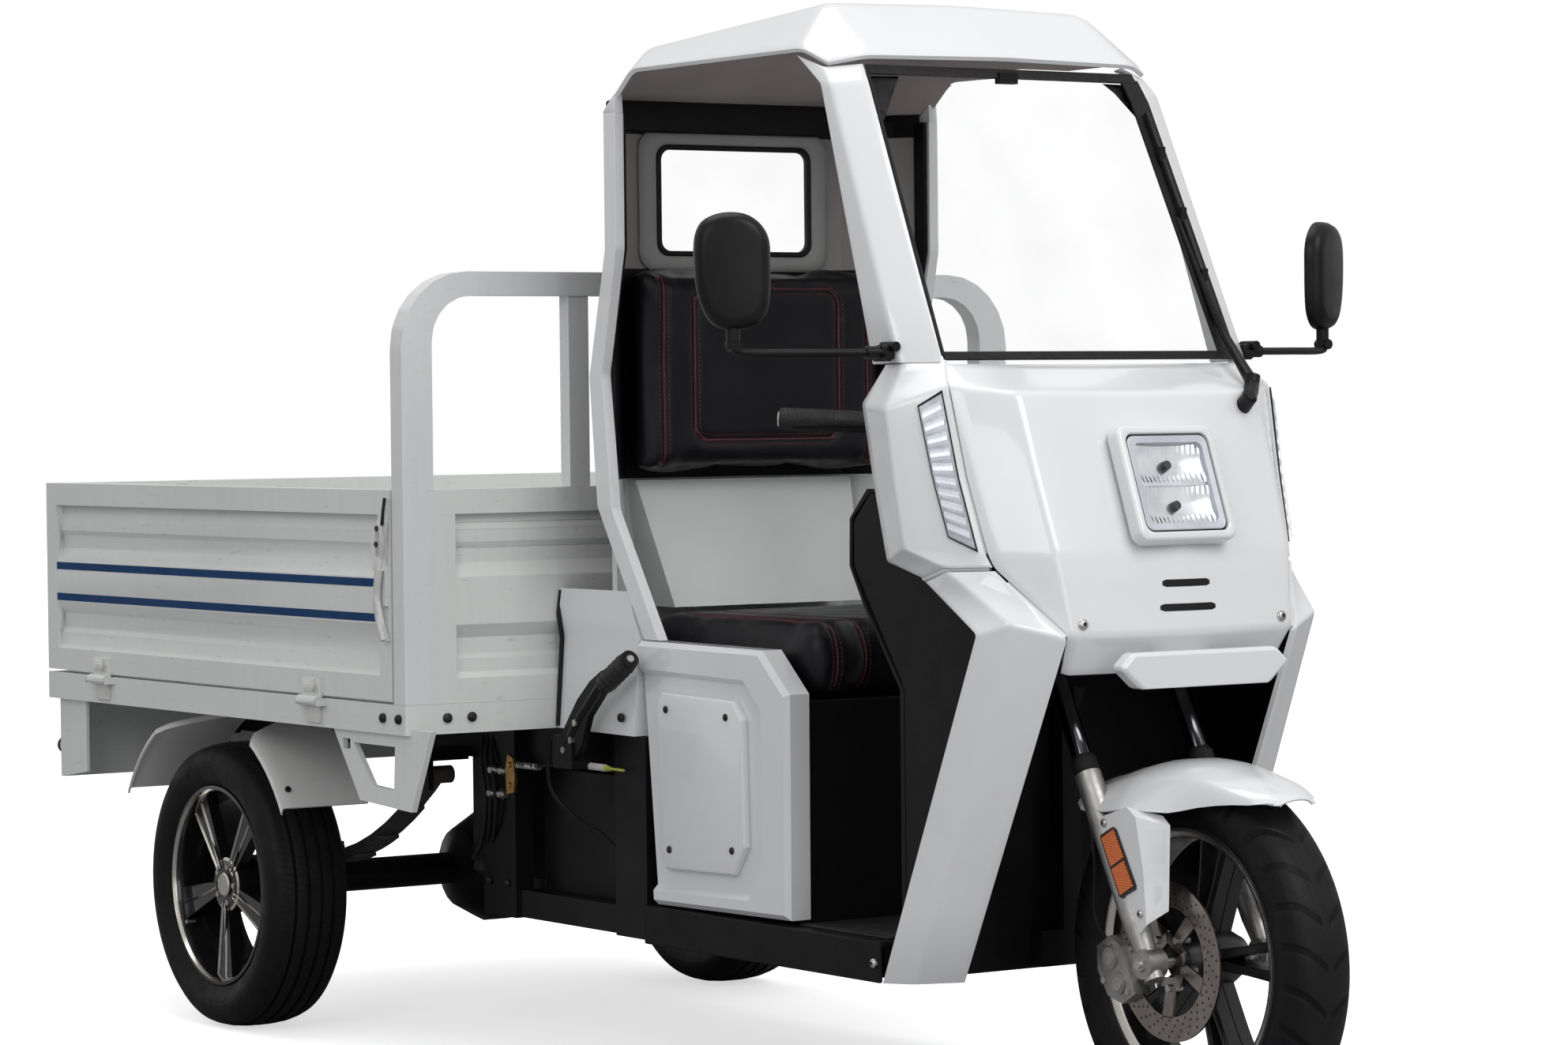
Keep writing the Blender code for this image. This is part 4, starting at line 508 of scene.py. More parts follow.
# Brake and motor linkage at the post beside the seat: brass clamp, chrome bolts, a spring and
# the cables in black and white sleeves.
cable_black = finish("cable_black", (0.0045, 0.0045, 0.0050), (0.0070, 0.0070, 0.0075), 0.42, 0.58, 40.0, 900.0,
                     0.2, Specular_IOR_Level=0.25)
sleeve_white = finish("sleeve_white", (0.62, 0.61, 0.58), (0.52, 0.51, 0.48), 0.4, 0.55, 60.0, 900.0, 0.1)
sleeve_green = finish("sleeve_green", (0.42, 0.46, 0.06), (0.32, 0.36, 0.05), 0.4, 0.55, 60.0, 900.0, 0.1)
bm = bmesh.new()
for y, z in ((0.2966, 0.4973), (0.3010, 0.4560)):
    bar(bm, (-0.3440, y - 0.030, z), (-0.3440, y + 0.034, z), 0.0055, 14, 0)
    bar(bm, (-0.3440, y + 0.012, z), (-0.3440, y + 0.022, z), 0.0095, 6, 0)
    bar(bm, (-0.3440, y - 0.020, z), (-0.3440, y - 0.013, z), 0.0095, 6, 0)
prism(bm, [Vector((-0.3420, y, z)) for y, z in ((.238, .462), (.262, .458), (.266, .500), (.258, .528), (.240, .522),
                                                (.234, .492))], (-0.006, 0.0, 0.0), 1)
for z in (0.474, 0.510):
    bar(bm, (-0.3520, 0.250, z), (-0.3470, 0.250, z), 0.0050, 6, 1)
coil = [(-0.3480 + 0.0052 * math.cos(t), 0.2280 - 0.0011 * t, 0.5120 + 0.0052 * math.sin(t))
        for t in np.linspace(0.0, 2.0 * math.pi * 11, 150)]
pipe(bm, coil, 0.0010, 6, 0)
pipe(bm, smooth_path([(-0.350, 0.150, 0.514), (-0.352, 0.060, 0.522), (-0.350, -0.020, 0.524)], 5), 0.0030, 8, 2)
pipe(bm, [(-0.350, -0.020, 0.524), (-0.350, -0.070, 0.5235)], 0.0062, 12, 3)
pipe(bm, [(-0.350, -0.070, 0.5235), (-0.350, -0.082, 0.5232)], 0.0045, 12, 4)
pipe(bm, [(-0.350, -0.082, 0.5232), (-0.350, -0.128, 0.5228)], 0.0024, 8, 4)
for shift in (0.0, 0.018, 0.034):
    cable = ((-0.330, 0.330, 0.572), (-0.346, 0.318, 0.520), (-0.348, 0.300, 0.440), (-0.338, 0.330, 0.370),
             (-0.316, 0.400, 0.330))
    pipe(bm, smooth_path([(x, y + shift, z) for x, y, z in cable], 6), 0.0036, 8, 2)
pipe(bm, smooth_path([(-0.345, 0.120, 0.560), (-0.350, 0.110, 0.480), (-0.342, 0.040, 0.430), (-0.330, -0.040, 0.400),
                      (-0.322, -0.110, 0.340)], 6), 0.0040, 8, 2)
piece("brake_linkage", bm, [zinc, brass, cable_black, sleeve_white, sleeve_green])

# Rear wheels: low-profile tubeless tyres on cast rims. Each rim has five pairs of spokes,
# black in the grooves and turned bright along the edges, a hub cap and five nuts.


def ring_wall(bm, profile, centre, steps, mats=None):
    """A closed (x, radius) profile turned about the X line through centre, added to bm."""
    rings = []
    for k in range(steps):
        angle = 2.0 * math.pi * k / steps
        c, s = math.cos(angle), math.sin(angle)
        rings.append([bm.verts.new((centre[0] + x, centre[1] + r * c, centre[2] + r * s)) for x, r in profile])
    faces = strips(bm, rings, ring=True)
    for n, face in enumerate(faces):
        face.material_index = mats[n % len(profile)] if mats else 0
    bmesh.ops.recalc_face_normals(bm, faces=faces)


def wheel_place():
    """Angle round a wheel's axle, distance from it and distance from the wheel's middle plane."""
    tree, given, out = group("wheel_place", (("Place", "Vector", None), ("Middle", "Vector", (0.0, 0.0, 0.0))),
                             (("Angle", "Float"), ("Radius", "Float"), ("Across", "Float")))
    away = put(tree, "ShaderNodeVectorMath", given.outputs["Place"], given.outputs["Middle"], operation="SUBTRACT")
    split = put(tree, "ShaderNodeSeparateXYZ", away.outputs[0])
    tree.links.new(calc(tree, "ARCTAN2", split.outputs["Z"], split.outputs["Y"]), out.inputs["Angle"])
    square = calc(tree, "ADD", calc(tree, "POWER", split.outputs["Y"], 2.0),
                  calc(tree, "POWER", split.outputs["Z"], 2.0))
    tree.links.new(calc(tree, "SQRT", square), out.inputs["Radius"])
    tree.links.new(split.outputs["X"], out.inputs["Across"])
    return tree


WHEEL_PLACE = wheel_place()


FULL_TURN = 6.2832


def place_on(tree):
    """Where on the object a point of the material lies."""
    return tree.nodes["Texture Coordinate"].outputs["Object"]


def about_wheel(mat, middle):
    """Adds the wheel's own angle, radius and across sockets to a material."""
    tree = mat.node_tree
    node = put(tree, "ShaderNodeGroup", node_tree=WHEEL_PLACE)
    node.inputs["Middle"].default_value = middle
    tree.links.new(place_on(tree), node.inputs["Place"])
    return tree, node.outputs["Angle"], node.outputs["Radius"], node.outputs["Across"]


def emboss(tree, height, **constants):
    """Feeds a height to a material's relief. Constants go on the relief's own sockets."""
    relief = tree.nodes["relief"]
    tree.links.new(height, relief.inputs["Height"])
    for label, value in constants.items():
        relief.inputs[label].default_value = value


def tint(tree, share, colour):
    """Lays a colour over what a material has."""
    base = tree.nodes["Principled BSDF"].inputs["Base Color"]
    tree.links.new(between(tree, share, base.links[0].from_socket, colour), base)


def tyre_rubber(name, middle, outer, bead, sipes):
    """Tyre rubber: rings on the side wall, fine cuts across the tread and a little road dust."""
    mat = finish(name, (0.0040, 0.0040, 0.0052), (0.0062, 0.0060, 0.0072), 0.44, 0.62, 12.0, 700.0, 0.35, 0.0006,
                 Specular_IOR_Level=0.18)
    tree, angle, radius, across = about_wheel(mat, middle)
    ring = calc(tree, "PINGPONG", calc(tree, "SUBTRACT", radius, bead), 0.0045)
    ring = spread(tree, ring, 0.0, 0.0018, 1.0, 0.0)
    in_wall = spread(tree, radius, outer - 0.012, outer - 0.020)
    cuts = calc(tree, "PINGPONG", calc(tree, "ADD", calc(tree, "MULTIPLY", angle, sipes / FULL_TURN),
                                       calc(tree, "MULTIPLY", calc(tree, "ABSOLUTE", across), 22.0)), 0.5)
    cuts = calc(tree, "MULTIPLY", spread(tree, cuts, 0.0, 0.10, 1.0, 0.0), spread(tree, radius, outer - 0.014,
                                                                                outer - 0.007))
    relief = calc(tree, "SUBTRACT", calc(tree, "MULTIPLY", calc(tree, "MULTIPLY", ring, in_wall), 0.5),
                  calc(tree, "MULTIPLY", cuts, 1.2))
    emboss(tree, calc(tree, "ADD", calc(tree, "MULTIPLY", tree.nodes["skin"].outputs["Height"], 0.15), relief),
           Distance=0.0012)
    tint(tree, calc(tree, "MULTIPLY", spread(tree, radius, outer - 0.020, outer - 0.002, 0.0, 0.30),
                    cloud(tree, place_on(tree), 30.0, 4.0)), (0.030, 0.029, 0.028))
    return mat


LATHE_PITCH = 0.0009


def turned_alloy(name, middle, colour, shade):
    """Bright alloy with the fine rings that the lathe leaves."""
    mat = finish(name, colour, shade, 0.18, 0.30, 30.0, 900.0, 0.15, 0.00003, metallic=1.0)
    tree, _, radius, _ = about_wheel(mat, middle)
    emboss(tree, calc(tree, "SINE", calc(tree, "MULTIPLY", radius, FULL_TURN / LATHE_PITCH)))
    return mat


def full_tyre(bm, outer, bead, width, middle, steps, grooves):
    """A tyre of closed section; grooves are (x, half width, depth) rings in the tread."""
    half, wall = width / 2.0, outer - bead
    side = [(half * 0.74, outer - 0.007), (half * 0.84, outer - wall * 0.135), (half * 0.93, outer - wall * 0.26),
            (half * 0.985, outer - wall * 0.40), (half, outer - wall * 0.52), (half * 0.985, outer - wall * 0.64),
            (half * 0.93, bead + wall * 0.20), (half * 0.86, bead + wall * 0.09), (half * 0.80, bead + 0.0015),
            (half * 0.74, bead - 0.004)]
    top = [(x, outer - 0.0065 * (abs(x) / (half * 0.72)) ** 2.4) for x in np.linspace(-half * 0.72, half * 0.72, 15)]
    for x, w, d in sorted(grooves):
        top = [p for p in top if abs(p[0] - x) > w + 0.0012]
        crown = outer - 0.0065 * (abs(x) / (half * 0.72)) ** 2.4
        top += [(x - w, crown), (x - w * 0.7, crown - d), (x + w * 0.7, crown - d), (x + w, crown)]
    top = sorted(top)
    profile = [(-x, r) for x, r in reversed(side)] + top + side
    ring_wall(bm, profile, middle, steps)


def spoke_bar(bm, middle, angle, x_face, x_back, outline, edge, sink, mats):
    """A spoke in the wheel's plane: a bright edge round a sunk black face, added to bm."""
    spin = Matrix.Rotation(angle, 3, "X")
    face = []
    for across, out in outline:
        p = spin @ Vector((0.0, across, out))
        face.append(Vector((middle[0] + x_face, middle[1] + p.y, middle[2] + p.z)))
    front = prism(bm, face, (x_back - x_face, 0.0, 0.0), mats[1])[0]
    front.material_index = mats[0]
    bmesh.ops.inset_region(bm, faces=[front], thickness=edge, use_even_offset=True)
    front.material_index = mats[1]
    for vert in front.verts:
        vert.co.x += math.copysign(sink, x_back - x_face)


REAR_WHEEL_X, REAR_RADIUS, REAR_BEAD = 0.522, 0.262, 0.184
rear_gloss = finish("rear_rim_black", (0.0060, 0.0060, 0.0070), (0.0095, 0.0095, 0.0105), 0.12, 0.22, 8.0, 700.0,
                    0.05, Coat_Weight=0.5, Coat_Roughness=0.06)
for side, word in SIDES:
    body = "rear_wheel_" + word
    middle = (side * REAR_WHEEL_X, REAR_AXLE_Y, REAR_AXLE_Z)
    rubber = tyre_rubber("rear_tyre_rubber_" + word, middle, REAR_RADIUS, REAR_BEAD, 130.0)
    bm = bmesh.new()
    full_tyre(bm, REAR_RADIUS, REAR_BEAD, 0.160, middle, 128,
              ((-0.038, 0.0035, 0.006), (-0.013, 0.004, 0.006), (0.013, 0.004, 0.006), (0.038, 0.0035, 0.006)))
    piece("rear_tyre_rubber_" + word, bm, rubber, body, "rear_tyre_" + word, 30.0)

    bright = turned_alloy("rear_rim_bright_" + word, middle, (0.62, 0.58, 0.52), (0.70, 0.67, 0.62))
    bm = bmesh.new()
    lip = [(0.066, 0.1830), (0.0665, 0.1770), (0.0600, 0.1735), (0.0500, 0.1715), (0.0300, 0.1660),
           (-0.0500, 0.1660), (-0.0640, 0.1700), (-0.0665, 0.1790), (-0.0660, 0.1830), (-0.0560, 0.1790),
           (-0.0500, 0.1700), (0.0400, 0.1715), (0.0560, 0.1790)]
    ring_wall(bm, [(side * x, r) for x, r in lip], middle, 96, [1, 0] + [1] * 11)
    for k in range(5):
        for lean in (-1, 1):
            angle = math.radians(72.0 * k + 38.0) + lean * math.radians(7.4)
            outline = [(-0.0078, 0.034), (0.0078, 0.034), (0.0105 + lean * 0.003, 0.110),
                       (0.0145 + lean * 0.007, 0.1725), (-0.0145 + lean * 0.007, 0.1725),
                       (-0.0105 + lean * 0.003, 0.110)]
            spoke_bar(bm, middle, angle, side * 0.0475, side * 0.026, outline, 0.0018, 0.0036, (0, 1))
    hub = [(-0.050, 0.0155), (-0.050, 0.050), (0.030, 0.053), (0.044, 0.050), (0.046, 0.045), (0.0462, 0.0235),
           (0.0500, 0.0225), (0.0525, 0.0195), (0.0530, 0.0), (0.000, 0.0), (0.000, 0.0155)]
    ring_wall(bm, [(side * x, max(r, 0.00001)) for x, r in hub], middle, 48, [1, 1, 1, 0, 1, 1, 0, 0, 1, 1, 1])
    bmesh.ops.remove_doubles(bm, verts=bm.verts, dist=WELD)
    for k in range(5):
        angle = math.radians(72.0 * k + 36.0)
        y, z = middle[1] + 0.034 * math.cos(angle), middle[2] + 0.034 * math.sin(angle)
        bar(bm, (middle[0] + side * 0.0455, y, z), (middle[0] + side * 0.0500, y, z), 0.0062, 6, 2, 0.0055)
    valve = math.radians(-30.0)
    y, z = middle[1] + 0.160 * math.cos(valve), middle[2] + 0.160 * math.sin(valve)
    bar(bm, (middle[0] + side * 0.040, y, z), (middle[0] + side * 0.058, y, z), 0.0035, 10, 2)
    piece("rear_rim_cast_" + word, bm, [bright, rear_gloss, zinc], body, "rear_rim_" + word, 30.0)

# Front wheel: a taller tyre with curved grooves, a black cast rim with a turned ring, a slotted
# brake disc on the right and the axle's nuts.
front_middle = (0.0, FRONT_AXLE_Y, FRONT_AXLE_Z)
FRONT_RADIUS, FRONT_BEAD = 0.285, 0.206
front_rubber = tyre_rubber("front_tyre_rubber", front_middle, FRONT_RADIUS, FRONT_BEAD, 4.0)
tread, tread_angle, tread_radius, tread_across = about_wheel(front_rubber, front_middle)
sweep = calc(tread, "MULTIPLY", calc(tread, "POWER", calc(tread, "ABSOLUTE", tread_across), 0.8), 7.0)
wave = calc(tread, "PINGPONG", calc(tread, "ADD", calc(tread, "MULTIPLY", tread_angle, 26.0 / FULL_TURN), sweep), 0.5)
groove_and_shade = calc(tread, "MULTIPLY", spread(tread, wave, 0.13, 0.06), spread(tread, tread_radius, 0.240, 0.250))
middle_rib = spread(tread, calc(tread, "ABSOLUTE", tread_across), 0.004, 0.007)
groove_and_shade = calc(tread, "MULTIPLY", groove_and_shade, middle_rib)
wall_height = tread.nodes["relief"].inputs["Height"].links[0].from_socket
emboss(tread, calc(tread, "SUBTRACT", wall_height, calc(tread, "MULTIPLY", groove_and_shade, 4.0)))
# The grooves are only bumped into the smooth tread, so their inside is darkened with painted shade.
tint(tread, groove_and_shade, (0.0008, 0.0008, 0.0010))
bm = bmesh.new()
rounded = [(0.0, 0.285), (0.010, 0.2848), (0.018, 0.2841), (0.026, 0.2830), (0.034, 0.2808), (0.041, 0.2778),
           (0.0465, 0.2728), (0.0500, 0.2670), (0.0522, 0.2600), (0.0545, 0.2520), (0.0560, 0.2440), (0.0555, 0.2340),
           (0.0535, 0.2250), (0.0500, 0.2160), (0.0460, 0.2090), (0.0440, 0.2070), (0.0410, 0.2020)]
ring_wall(bm, [(-x, r) for x, r in reversed(rounded[1:])] + rounded, front_middle, 144)
piece("front_tyre_rubber", bm, front_rubber, "front_wheel", "front_tyre", 30.0)

front_bright = turned_alloy("front_rim_bright", front_middle, (0.56, 0.53, 0.49), (0.64, 0.61, 0.57))
front_black = finish("front_rim_black", (0.0060, 0.0060, 0.0070), (0.010, 0.010, 0.011), 0.25, 0.36, 10.0, 700.0,
                     0.08)
disc_steel = turned_alloy("brake_disc_steel", front_middle, (0.30, 0.26, 0.24), (0.38, 0.34, 0.31))
tree, disc_angle, disc_radius, _ = about_wheel(disc_steel, front_middle)
holes_shade = None
for row_radius, count, shift in ((0.1140, 30.0, 0.0), (0.1055, 30.0, 0.33), (0.0970, 30.0, 0.66), (0.0895, 30.0, 0.1)):
    along = calc(tree, "PINGPONG", calc(tree, "ADD", calc(tree, "MULTIPLY", disc_angle, count / FULL_TURN), shift), 0.5)
    along = calc(tree, "MULTIPLY", calc(tree, "SUBTRACT", 0.5, along), FULL_TURN * row_radius / count)
    across = calc(tree, "SUBTRACT", disc_radius, row_radius)
    away = calc(tree, "SQRT", calc(tree, "ADD", calc(tree, "POWER", along, 2.0), calc(tree, "POWER", across, 2.0)))
    hole_shade = spread(tree, away, 0.0020, 0.0026, 1.0, 0.0)
    holes_shade = hole_shade if holes_shade is None else calc(tree, "MAXIMUM", holes_shade, hole_shade)
# Dull black spots where the drilled holes are: painted shade standing in for openings that are not cut through the
# disc.
tint(tree, holes_shade, (0.010, 0.010, 0.010))
tree.links.new(calc(tree, "SUBTRACT", 1.0, holes_shade), tree.nodes["Principled BSDF"].inputs["Metallic"])
bm = bmesh.new()
lip = [(-0.0440, 0.2065), (-0.0440, 0.2010), (-0.0415, 0.1925), (-0.0380, 0.1880), (-0.0300, 0.1850),
       (0.0300, 0.1850), (0.0380, 0.1880), (0.0415, 0.1925), (0.0440, 0.2010), (0.0440, 0.2065), (0.0380, 0.1990),
       (-0.0380, 0.1990)]
ring_wall(bm, lip, front_middle, 96, [1, 0, 0, 1, 1, 1, 0, 0, 1, 1, 1, 1])
for k in range(5):
    for lean in (-1, 1):
        angle = math.radians(72.0 * k + 14.0) + lean * math.radians(9.0)
        for x_face, x_back in ((-0.024, -0.001), (0.024, 0.001)):
            outline = [(-0.0085, 0.036), (0.0085, 0.036), (0.0065 + lean * 0.003, 0.120),
                       (0.0090 + lean * 0.006, 0.1865), (-0.0090 + lean * 0.006, 0.1865),
                       (-0.0065 + lean * 0.003, 0.120)]
            spoke_bar(bm, front_middle, angle, x_face, x_back, outline, 0.0014, 0.0024, (1, 1))
hub = [(-0.058, 0.0130), (-0.058, 0.030), (-0.026, 0.047), (0.026, 0.047), (0.050, 0.034), (0.058, 0.030),
       (0.058, 0.0130)]
ring_wall(bm, hub, front_middle, 48, [1] * 7)
for k in range(5):
    angle = math.radians(72.0 * k + 50.0)
    y, z = front_middle[1] + 0.040 * math.cos(angle), front_middle[2] + 0.040 * math.sin(angle)
    bar(bm, (-0.0835, y, z), (-0.0560, y, z), 0.0060, 6, 3)
valve = math.radians(232.0)
y, z = front_middle[1] + 0.178 * math.cos(valve), front_middle[2] + 0.178 * math.sin(valve)
bar(bm, (-0.046, y, z), (-0.020, y + 0.004, z + 0.004), 0.0035, 10, 3)
disc = bmesh.new()
DISC_X, DISC_STEPS = -0.0780, 180


def on_disc(r, turn):
    """A new corner of the brake disc, r from the axle."""
    return disc.verts.new((DISC_X, front_middle[1] + r * math.cos(turn), front_middle[2] + r * math.sin(turn)))


strips(disc, [[on_disc(r, 2.0 * math.pi * (k + 0.8 * row) / DISC_STEPS) for k in range(DISC_STEPS)]
              for row, r in enumerate((0.122, 0.1195, 0.114, 0.107, 0.100, 0.093, 0.087, 0.084))])
for k in range(5):
    turn = 2.0 * math.pi * k / 5.0 + 0.87
    for corners in (((0.040, -0.26), (0.040, 0.26), (0.0862, 0.26), (0.0862, -0.02)),
                    ((0.030, -0.66), (0.030, 0.66), (0.0475, 0.66), (0.0475, -0.66))):
        disc.faces.new([on_disc(r, turn + a) for r, a in corners])
bmesh.ops.recalc_face_normals(disc, faces=disc.faces)
bmesh.ops.solidify(disc, geom=disc.faces[:], thickness=0.004)
for face in disc.faces:
    face.material_index = 2
add_shape(bm, disc)
piece("front_rim_cast", bm, [front_bright, front_black, disc_steel, zinc], "front_wheel", "front_rim",
      30.0)

# Fork: dark chromed tubes in cast silver lower legs, a crown and a head tube, the brake calliper
# and the speed sender's cable. It turns with the handlebar.
UP = Vector((0.0, 0.469472, 0.882948))
BACK = Vector((0.0, 0.882948, -0.469472))
AXLE = Vector(front_middle)


def at_fork(x, up, back=0.0):
    """A point beside the front axle, measured along the fork and square to it."""
    return AXLE + Vector((x, 0.0, 0.0)) + UP * up + BACK * back


dark_chrome = finish("dark_chrome", (0.16, 0.16, 0.17), (0.10, 0.10, 0.11), 0.08, 0.16, 12.0, 900.0, 0.03,
                     metallic=1.0)
cast_silver = finish("cast_silver", (0.44, 0.43, 0.41), (0.34, 0.33, 0.32), 0.34, 0.50, 30.0, 1200.0, 0.35, 0.0004,
                     metallic=0.9)
seal_rubber = finish("seal_rubber", (0.0050, 0.0050, 0.0060), (0.0085, 0.0085, 0.0095), 0.5, 0.7, 30.0, 900.0, 0.2,
                     Specular_IOR_Level=0.30)
bm = bmesh.new()
for x in (-0.115, 0.115):
    bar(bm, at_fork(x, 0.300), at_fork(x, 0.520), 0.016, 28, 0)
    bar(bm, at_fork(x, 0.318), at_fork(x, 0.338), 0.0205, 28, 2)
    bar(bm, at_fork(x, 0.338), at_fork(x, 0.345), 0.0185, 28, 2, 0.0165)
    bar(bm, at_fork(x, 0.060), at_fork(x, 0.316), 0.0210, 28, 1)
    bar(bm, at_fork(x, 0.020), at_fork(x, 0.060), 0.0170, 28, 1, 0.0210)
    bar(bm, at_fork(x, -0.028), at_fork(x, 0.022), 0.0160, 24, 1)
    side = math.copysign(1.0, x)
    bar(bm, at_fork(x - side * 0.019, 0.0), at_fork(x + side * 0.016, 0.0), 0.0230, 24, 1)
    bar(bm, at_fork(x + side * 0.012, 0.0), at_fork(x + side * 0.0205, 0.0), 0.0120, 6, 3)
    bar(bm, at_fork(x + side * 0.018, 0.0), at_fork(x + side * 0.0245, 0.0), 0.0065, 14, 3)
crown = [at_fork(-0.137, 0.485, -0.020), at_fork(-0.137, 0.485, 0.022), at_fork(-0.060, 0.485, 0.055),
         at_fork(0.060, 0.485, 0.055), at_fork(0.137, 0.485, 0.022), at_fork(0.137, 0.485, -0.020),
         at_fork(0.060, 0.485, -0.010), at_fork(-0.060, 0.485, -0.010)]
prism(bm, crown, UP * 0.028, 4)
bar(bm, at_fork(0.0, 0.505, 0.035), at_fork(0.0, 0.535, 0.035), 0.030, 28, 4)
bar(bm, at_fork(-0.104, 0.0), at_fork(0.104, 0.0), 0.0095, 16, 3)
calliper = bmesh.new()
outline = [(0.082, -0.018), (0.118, -0.020), (0.146, 0.006), (0.150, 0.052), (0.134, 0.084), (0.098, 0.086),
           (0.080, 0.060)]
prism(calliper, [at_fork(-0.0925, u, b) for b, u in outline], (0.032, 0.0, 0.0), 0)
ease(calliper, 0.003, 0.004, 8.0, 50.0)
for u, b in ((0.012, 0.112), (0.054, 0.112)):
    bar(calliper, at_fork(-0.0955, u, b), at_fork(-0.0905, u, b), 0.0170, 24, 0)
    bar(calliper, at_fork(-0.0965, u, b), at_fork(-0.0945, u, b), 0.0110, 20, 1)
for u, b in ((-0.008, 0.095), (0.076, 0.100), (0.030, 0.142)):
    bar(calliper, at_fork(-0.0960, u, b), at_fork(-0.0905, u, b), 0.0060, 6, 1)
for face in calliper.faces:
    face.material_index = 1 if face.material_index == 0 else 3
add_shape(bm, calliper)
hose = smooth_path([at_fork(-0.080, 0.086, 0.122), at_fork(-0.088, 0.130, 0.120), at_fork(-0.104, 0.200, 0.060),
                    at_fork(-0.100, 0.300, 0.036), at_fork(-0.085, 0.400, 0.034), at_fork(-0.060, 0.480, 0.034)], 7)
pipe(bm, hose, 0.0032, 10, 2)
piece("fork_cast", bm, [dark_chrome, cast_silver, seal_rubber, zinc, powder_black], "steering", "fork",
      34.0)

# Front fender: glossy white moulding over the tyre, with a cover down each fork leg that holds
# an orange reflector in a black frame, a bolt above it and one below.


def body_paint(name, colour, shade, smooth=0.16, dull=0.24, coat=0.5):
    """Glossy moulded panel: clear coat on an even colour, a faint ripple, a trace of dust low down."""
    mat = finish(name, colour, shade, smooth, dull, 1.6, 260.0, 0.035, 0.0003, Coat_Weight=coat,
                 Coat_Roughness=0.05)
    tree = mat.node_tree
    place = place_on(tree)
    low = spread(tree, put(tree, "ShaderNodeSeparateXYZ", place).outputs["Z"], 0.20, 0.75, 1.0, 0.0)
    dust = calc(tree, "MULTIPLY", low, spread(tree, cloud(tree, place, 9.0, 5.0), 0.40, 0.80, 0.0, 0.22))
    tint(tree, dust, tuple(0.72 * c for c in shade))
    return mat


def pebbles(tree, scale, **constants):
    """Distance from the nearest of many points on the object. Constants go on the texture's own sockets."""
    return put(tree, "ShaderNodeTexVoronoi", place_on(tree), named=(("Scale", scale), *constants.items())
               ).outputs["Distance"]


body_white = body_paint("body_white", (0.74, 0.745, 0.755), (0.715, 0.722, 0.735))
reflector_frame = finish("reflector_frame", (0.014, 0.014, 0.015), (0.02, 0.02, 0.02), 0.3, 0.45, 30.0, 900.0, 0.1)
reflector_orange = finish("reflector_orange", (0.50, 0.085, 0.006), (0.34, 0.050, 0.004), 0.08, 0.16, 30.0, 900.0,
                          0.05, Coat_Weight=0.6, Coat_Roughness=0.04)
tree = reflector_orange.node_tree
cells = pebbles(tree, 260.0, Randomness=0.0)
emboss(tree, cells, Strength=0.8)
# Each prism cell is painted bright orange at its middle and darker at its rim: a painted glint, over the cells' bump.
tree.links.new(between(tree, spread(tree, cells, 0.0, 0.6), (1.0, 0.30, 0.03), (0.45, 0.045, 0.004)),
               tree.nodes["Principled BSDF"].inputs["Base Color"])

# columns: degrees ahead of the axle, extra radius, half width, crown height, skirt's x, skirt's radius
FENDER = ((-40, .034, .062, .010, .100, .300), (-34, .022, .066, .011, .126, .270),
          (-26, .008, .071, .012, .1325, .250), (-19, .003, .0735, .0135, .1335, .240),
          (-10, .001, .074, .014, .1325, .236), (0, .001, .074, .014, .120, .231),
          (8, .001, .074, .014, .105, .232), (13, .001, .074, .014, .0960, .240),
          (19, .003, .0735, .0135, .0880, .254), (26, .010, .070, .014, .0810, .273),
          (31, .016, .064, .013, .0730, .289), (35, .023, .056, .012, .0630, .303),
          (38, .030, .040, .010, .0450, .319), (40, .034, .030, .008, .0335, .328))
FENDER_RADIUS = 0.297
bm = bmesh.new()
grid = []
for degrees, extra, half, crown, side_x, side_r in FENDER:
    a = math.radians(degrees)
    half_row = []
    for share in (0.0, 0.30, 0.60, 0.85, 1.0):
        r = FENDER_RADIUS + extra + crown * (1.0 - share * share) * 0.55 - 0.006 * share ** 3
        half_row.append((half * share, r))
    edge_x, edge_r = half_row[-1]
    for t in (0.16, 0.45, 0.75, 1.0):
        half_row.append((edge_x + (side_x - edge_x) * t ** 0.62, edge_r + (side_r - edge_r) * t))
    row = [(-x, r) for x, r in reversed(half_row[1:])] + half_row
    grid.append([bm.verts.new((x, FRONT_AXLE_Y - r * math.sin(a), FRONT_AXLE_Z + r * math.cos(a))) for x, r in row])
strips(bm, grid, loop=False)
bmesh.ops.subdivide_edges(bm, edges=bm.edges[:], cuts=1, use_grid_fill=True, smooth=0.6)


def thicken_down(bm, thickness):
    """Gives an open arch its thickness, below its face."""
    bmesh.ops.recalc_face_normals(bm, faces=bm.faces)
    if sum(f.normal.z for f in bm.faces) < 0.0:
        bmesh.ops.reverse_faces(bm, faces=bm.faces)
    bmesh.ops.solidify(bm, geom=bm.faces[:], thickness=thickness)
    bmesh.ops.recalc_face_normals(bm, faces=bm.faces)


thicken_down(bm, 0.003)
covers = bmesh.new()
COVER_OUT = 0.1305
for side in (-1, 1):
    plate = [at_fork(side * COVER_OUT, u, b) for u, b in (
        (.236, -.0160), (.222, -.0860), (.200, -.0980), (.120, -.0760), (.046, -.0440), (.040, -.0220),
        (.1167, -.0176))]
    prism(covers, plate, (side * 0.0035, 0.0, 0.0), 0)
    front = plate[1:5]
    inner = [at_fork(side * 0.1000, u, b) for u, b in (
        (.190, -.1200), (.1700, -.1290), (.112, -.0950), (.058, -.0636))]
    thick = Vector((side * 0.0012, 0.0032, 0.0008))
    rows = [[covers.verts.new(p + shift) for p in line] for line, shift in (
        (front, Vector((side * 0.0033, 0.0, 0.0))), (inner, Vector()), (inner, thick), (front, thick * 0.4))]
    strips(covers, rows, loop=False, ring=True)
    for k in (0, 3):
        covers.faces.new([row[k] for row in rows])
bmesh.ops.recalc_face_normals(covers, faces=covers.faces)
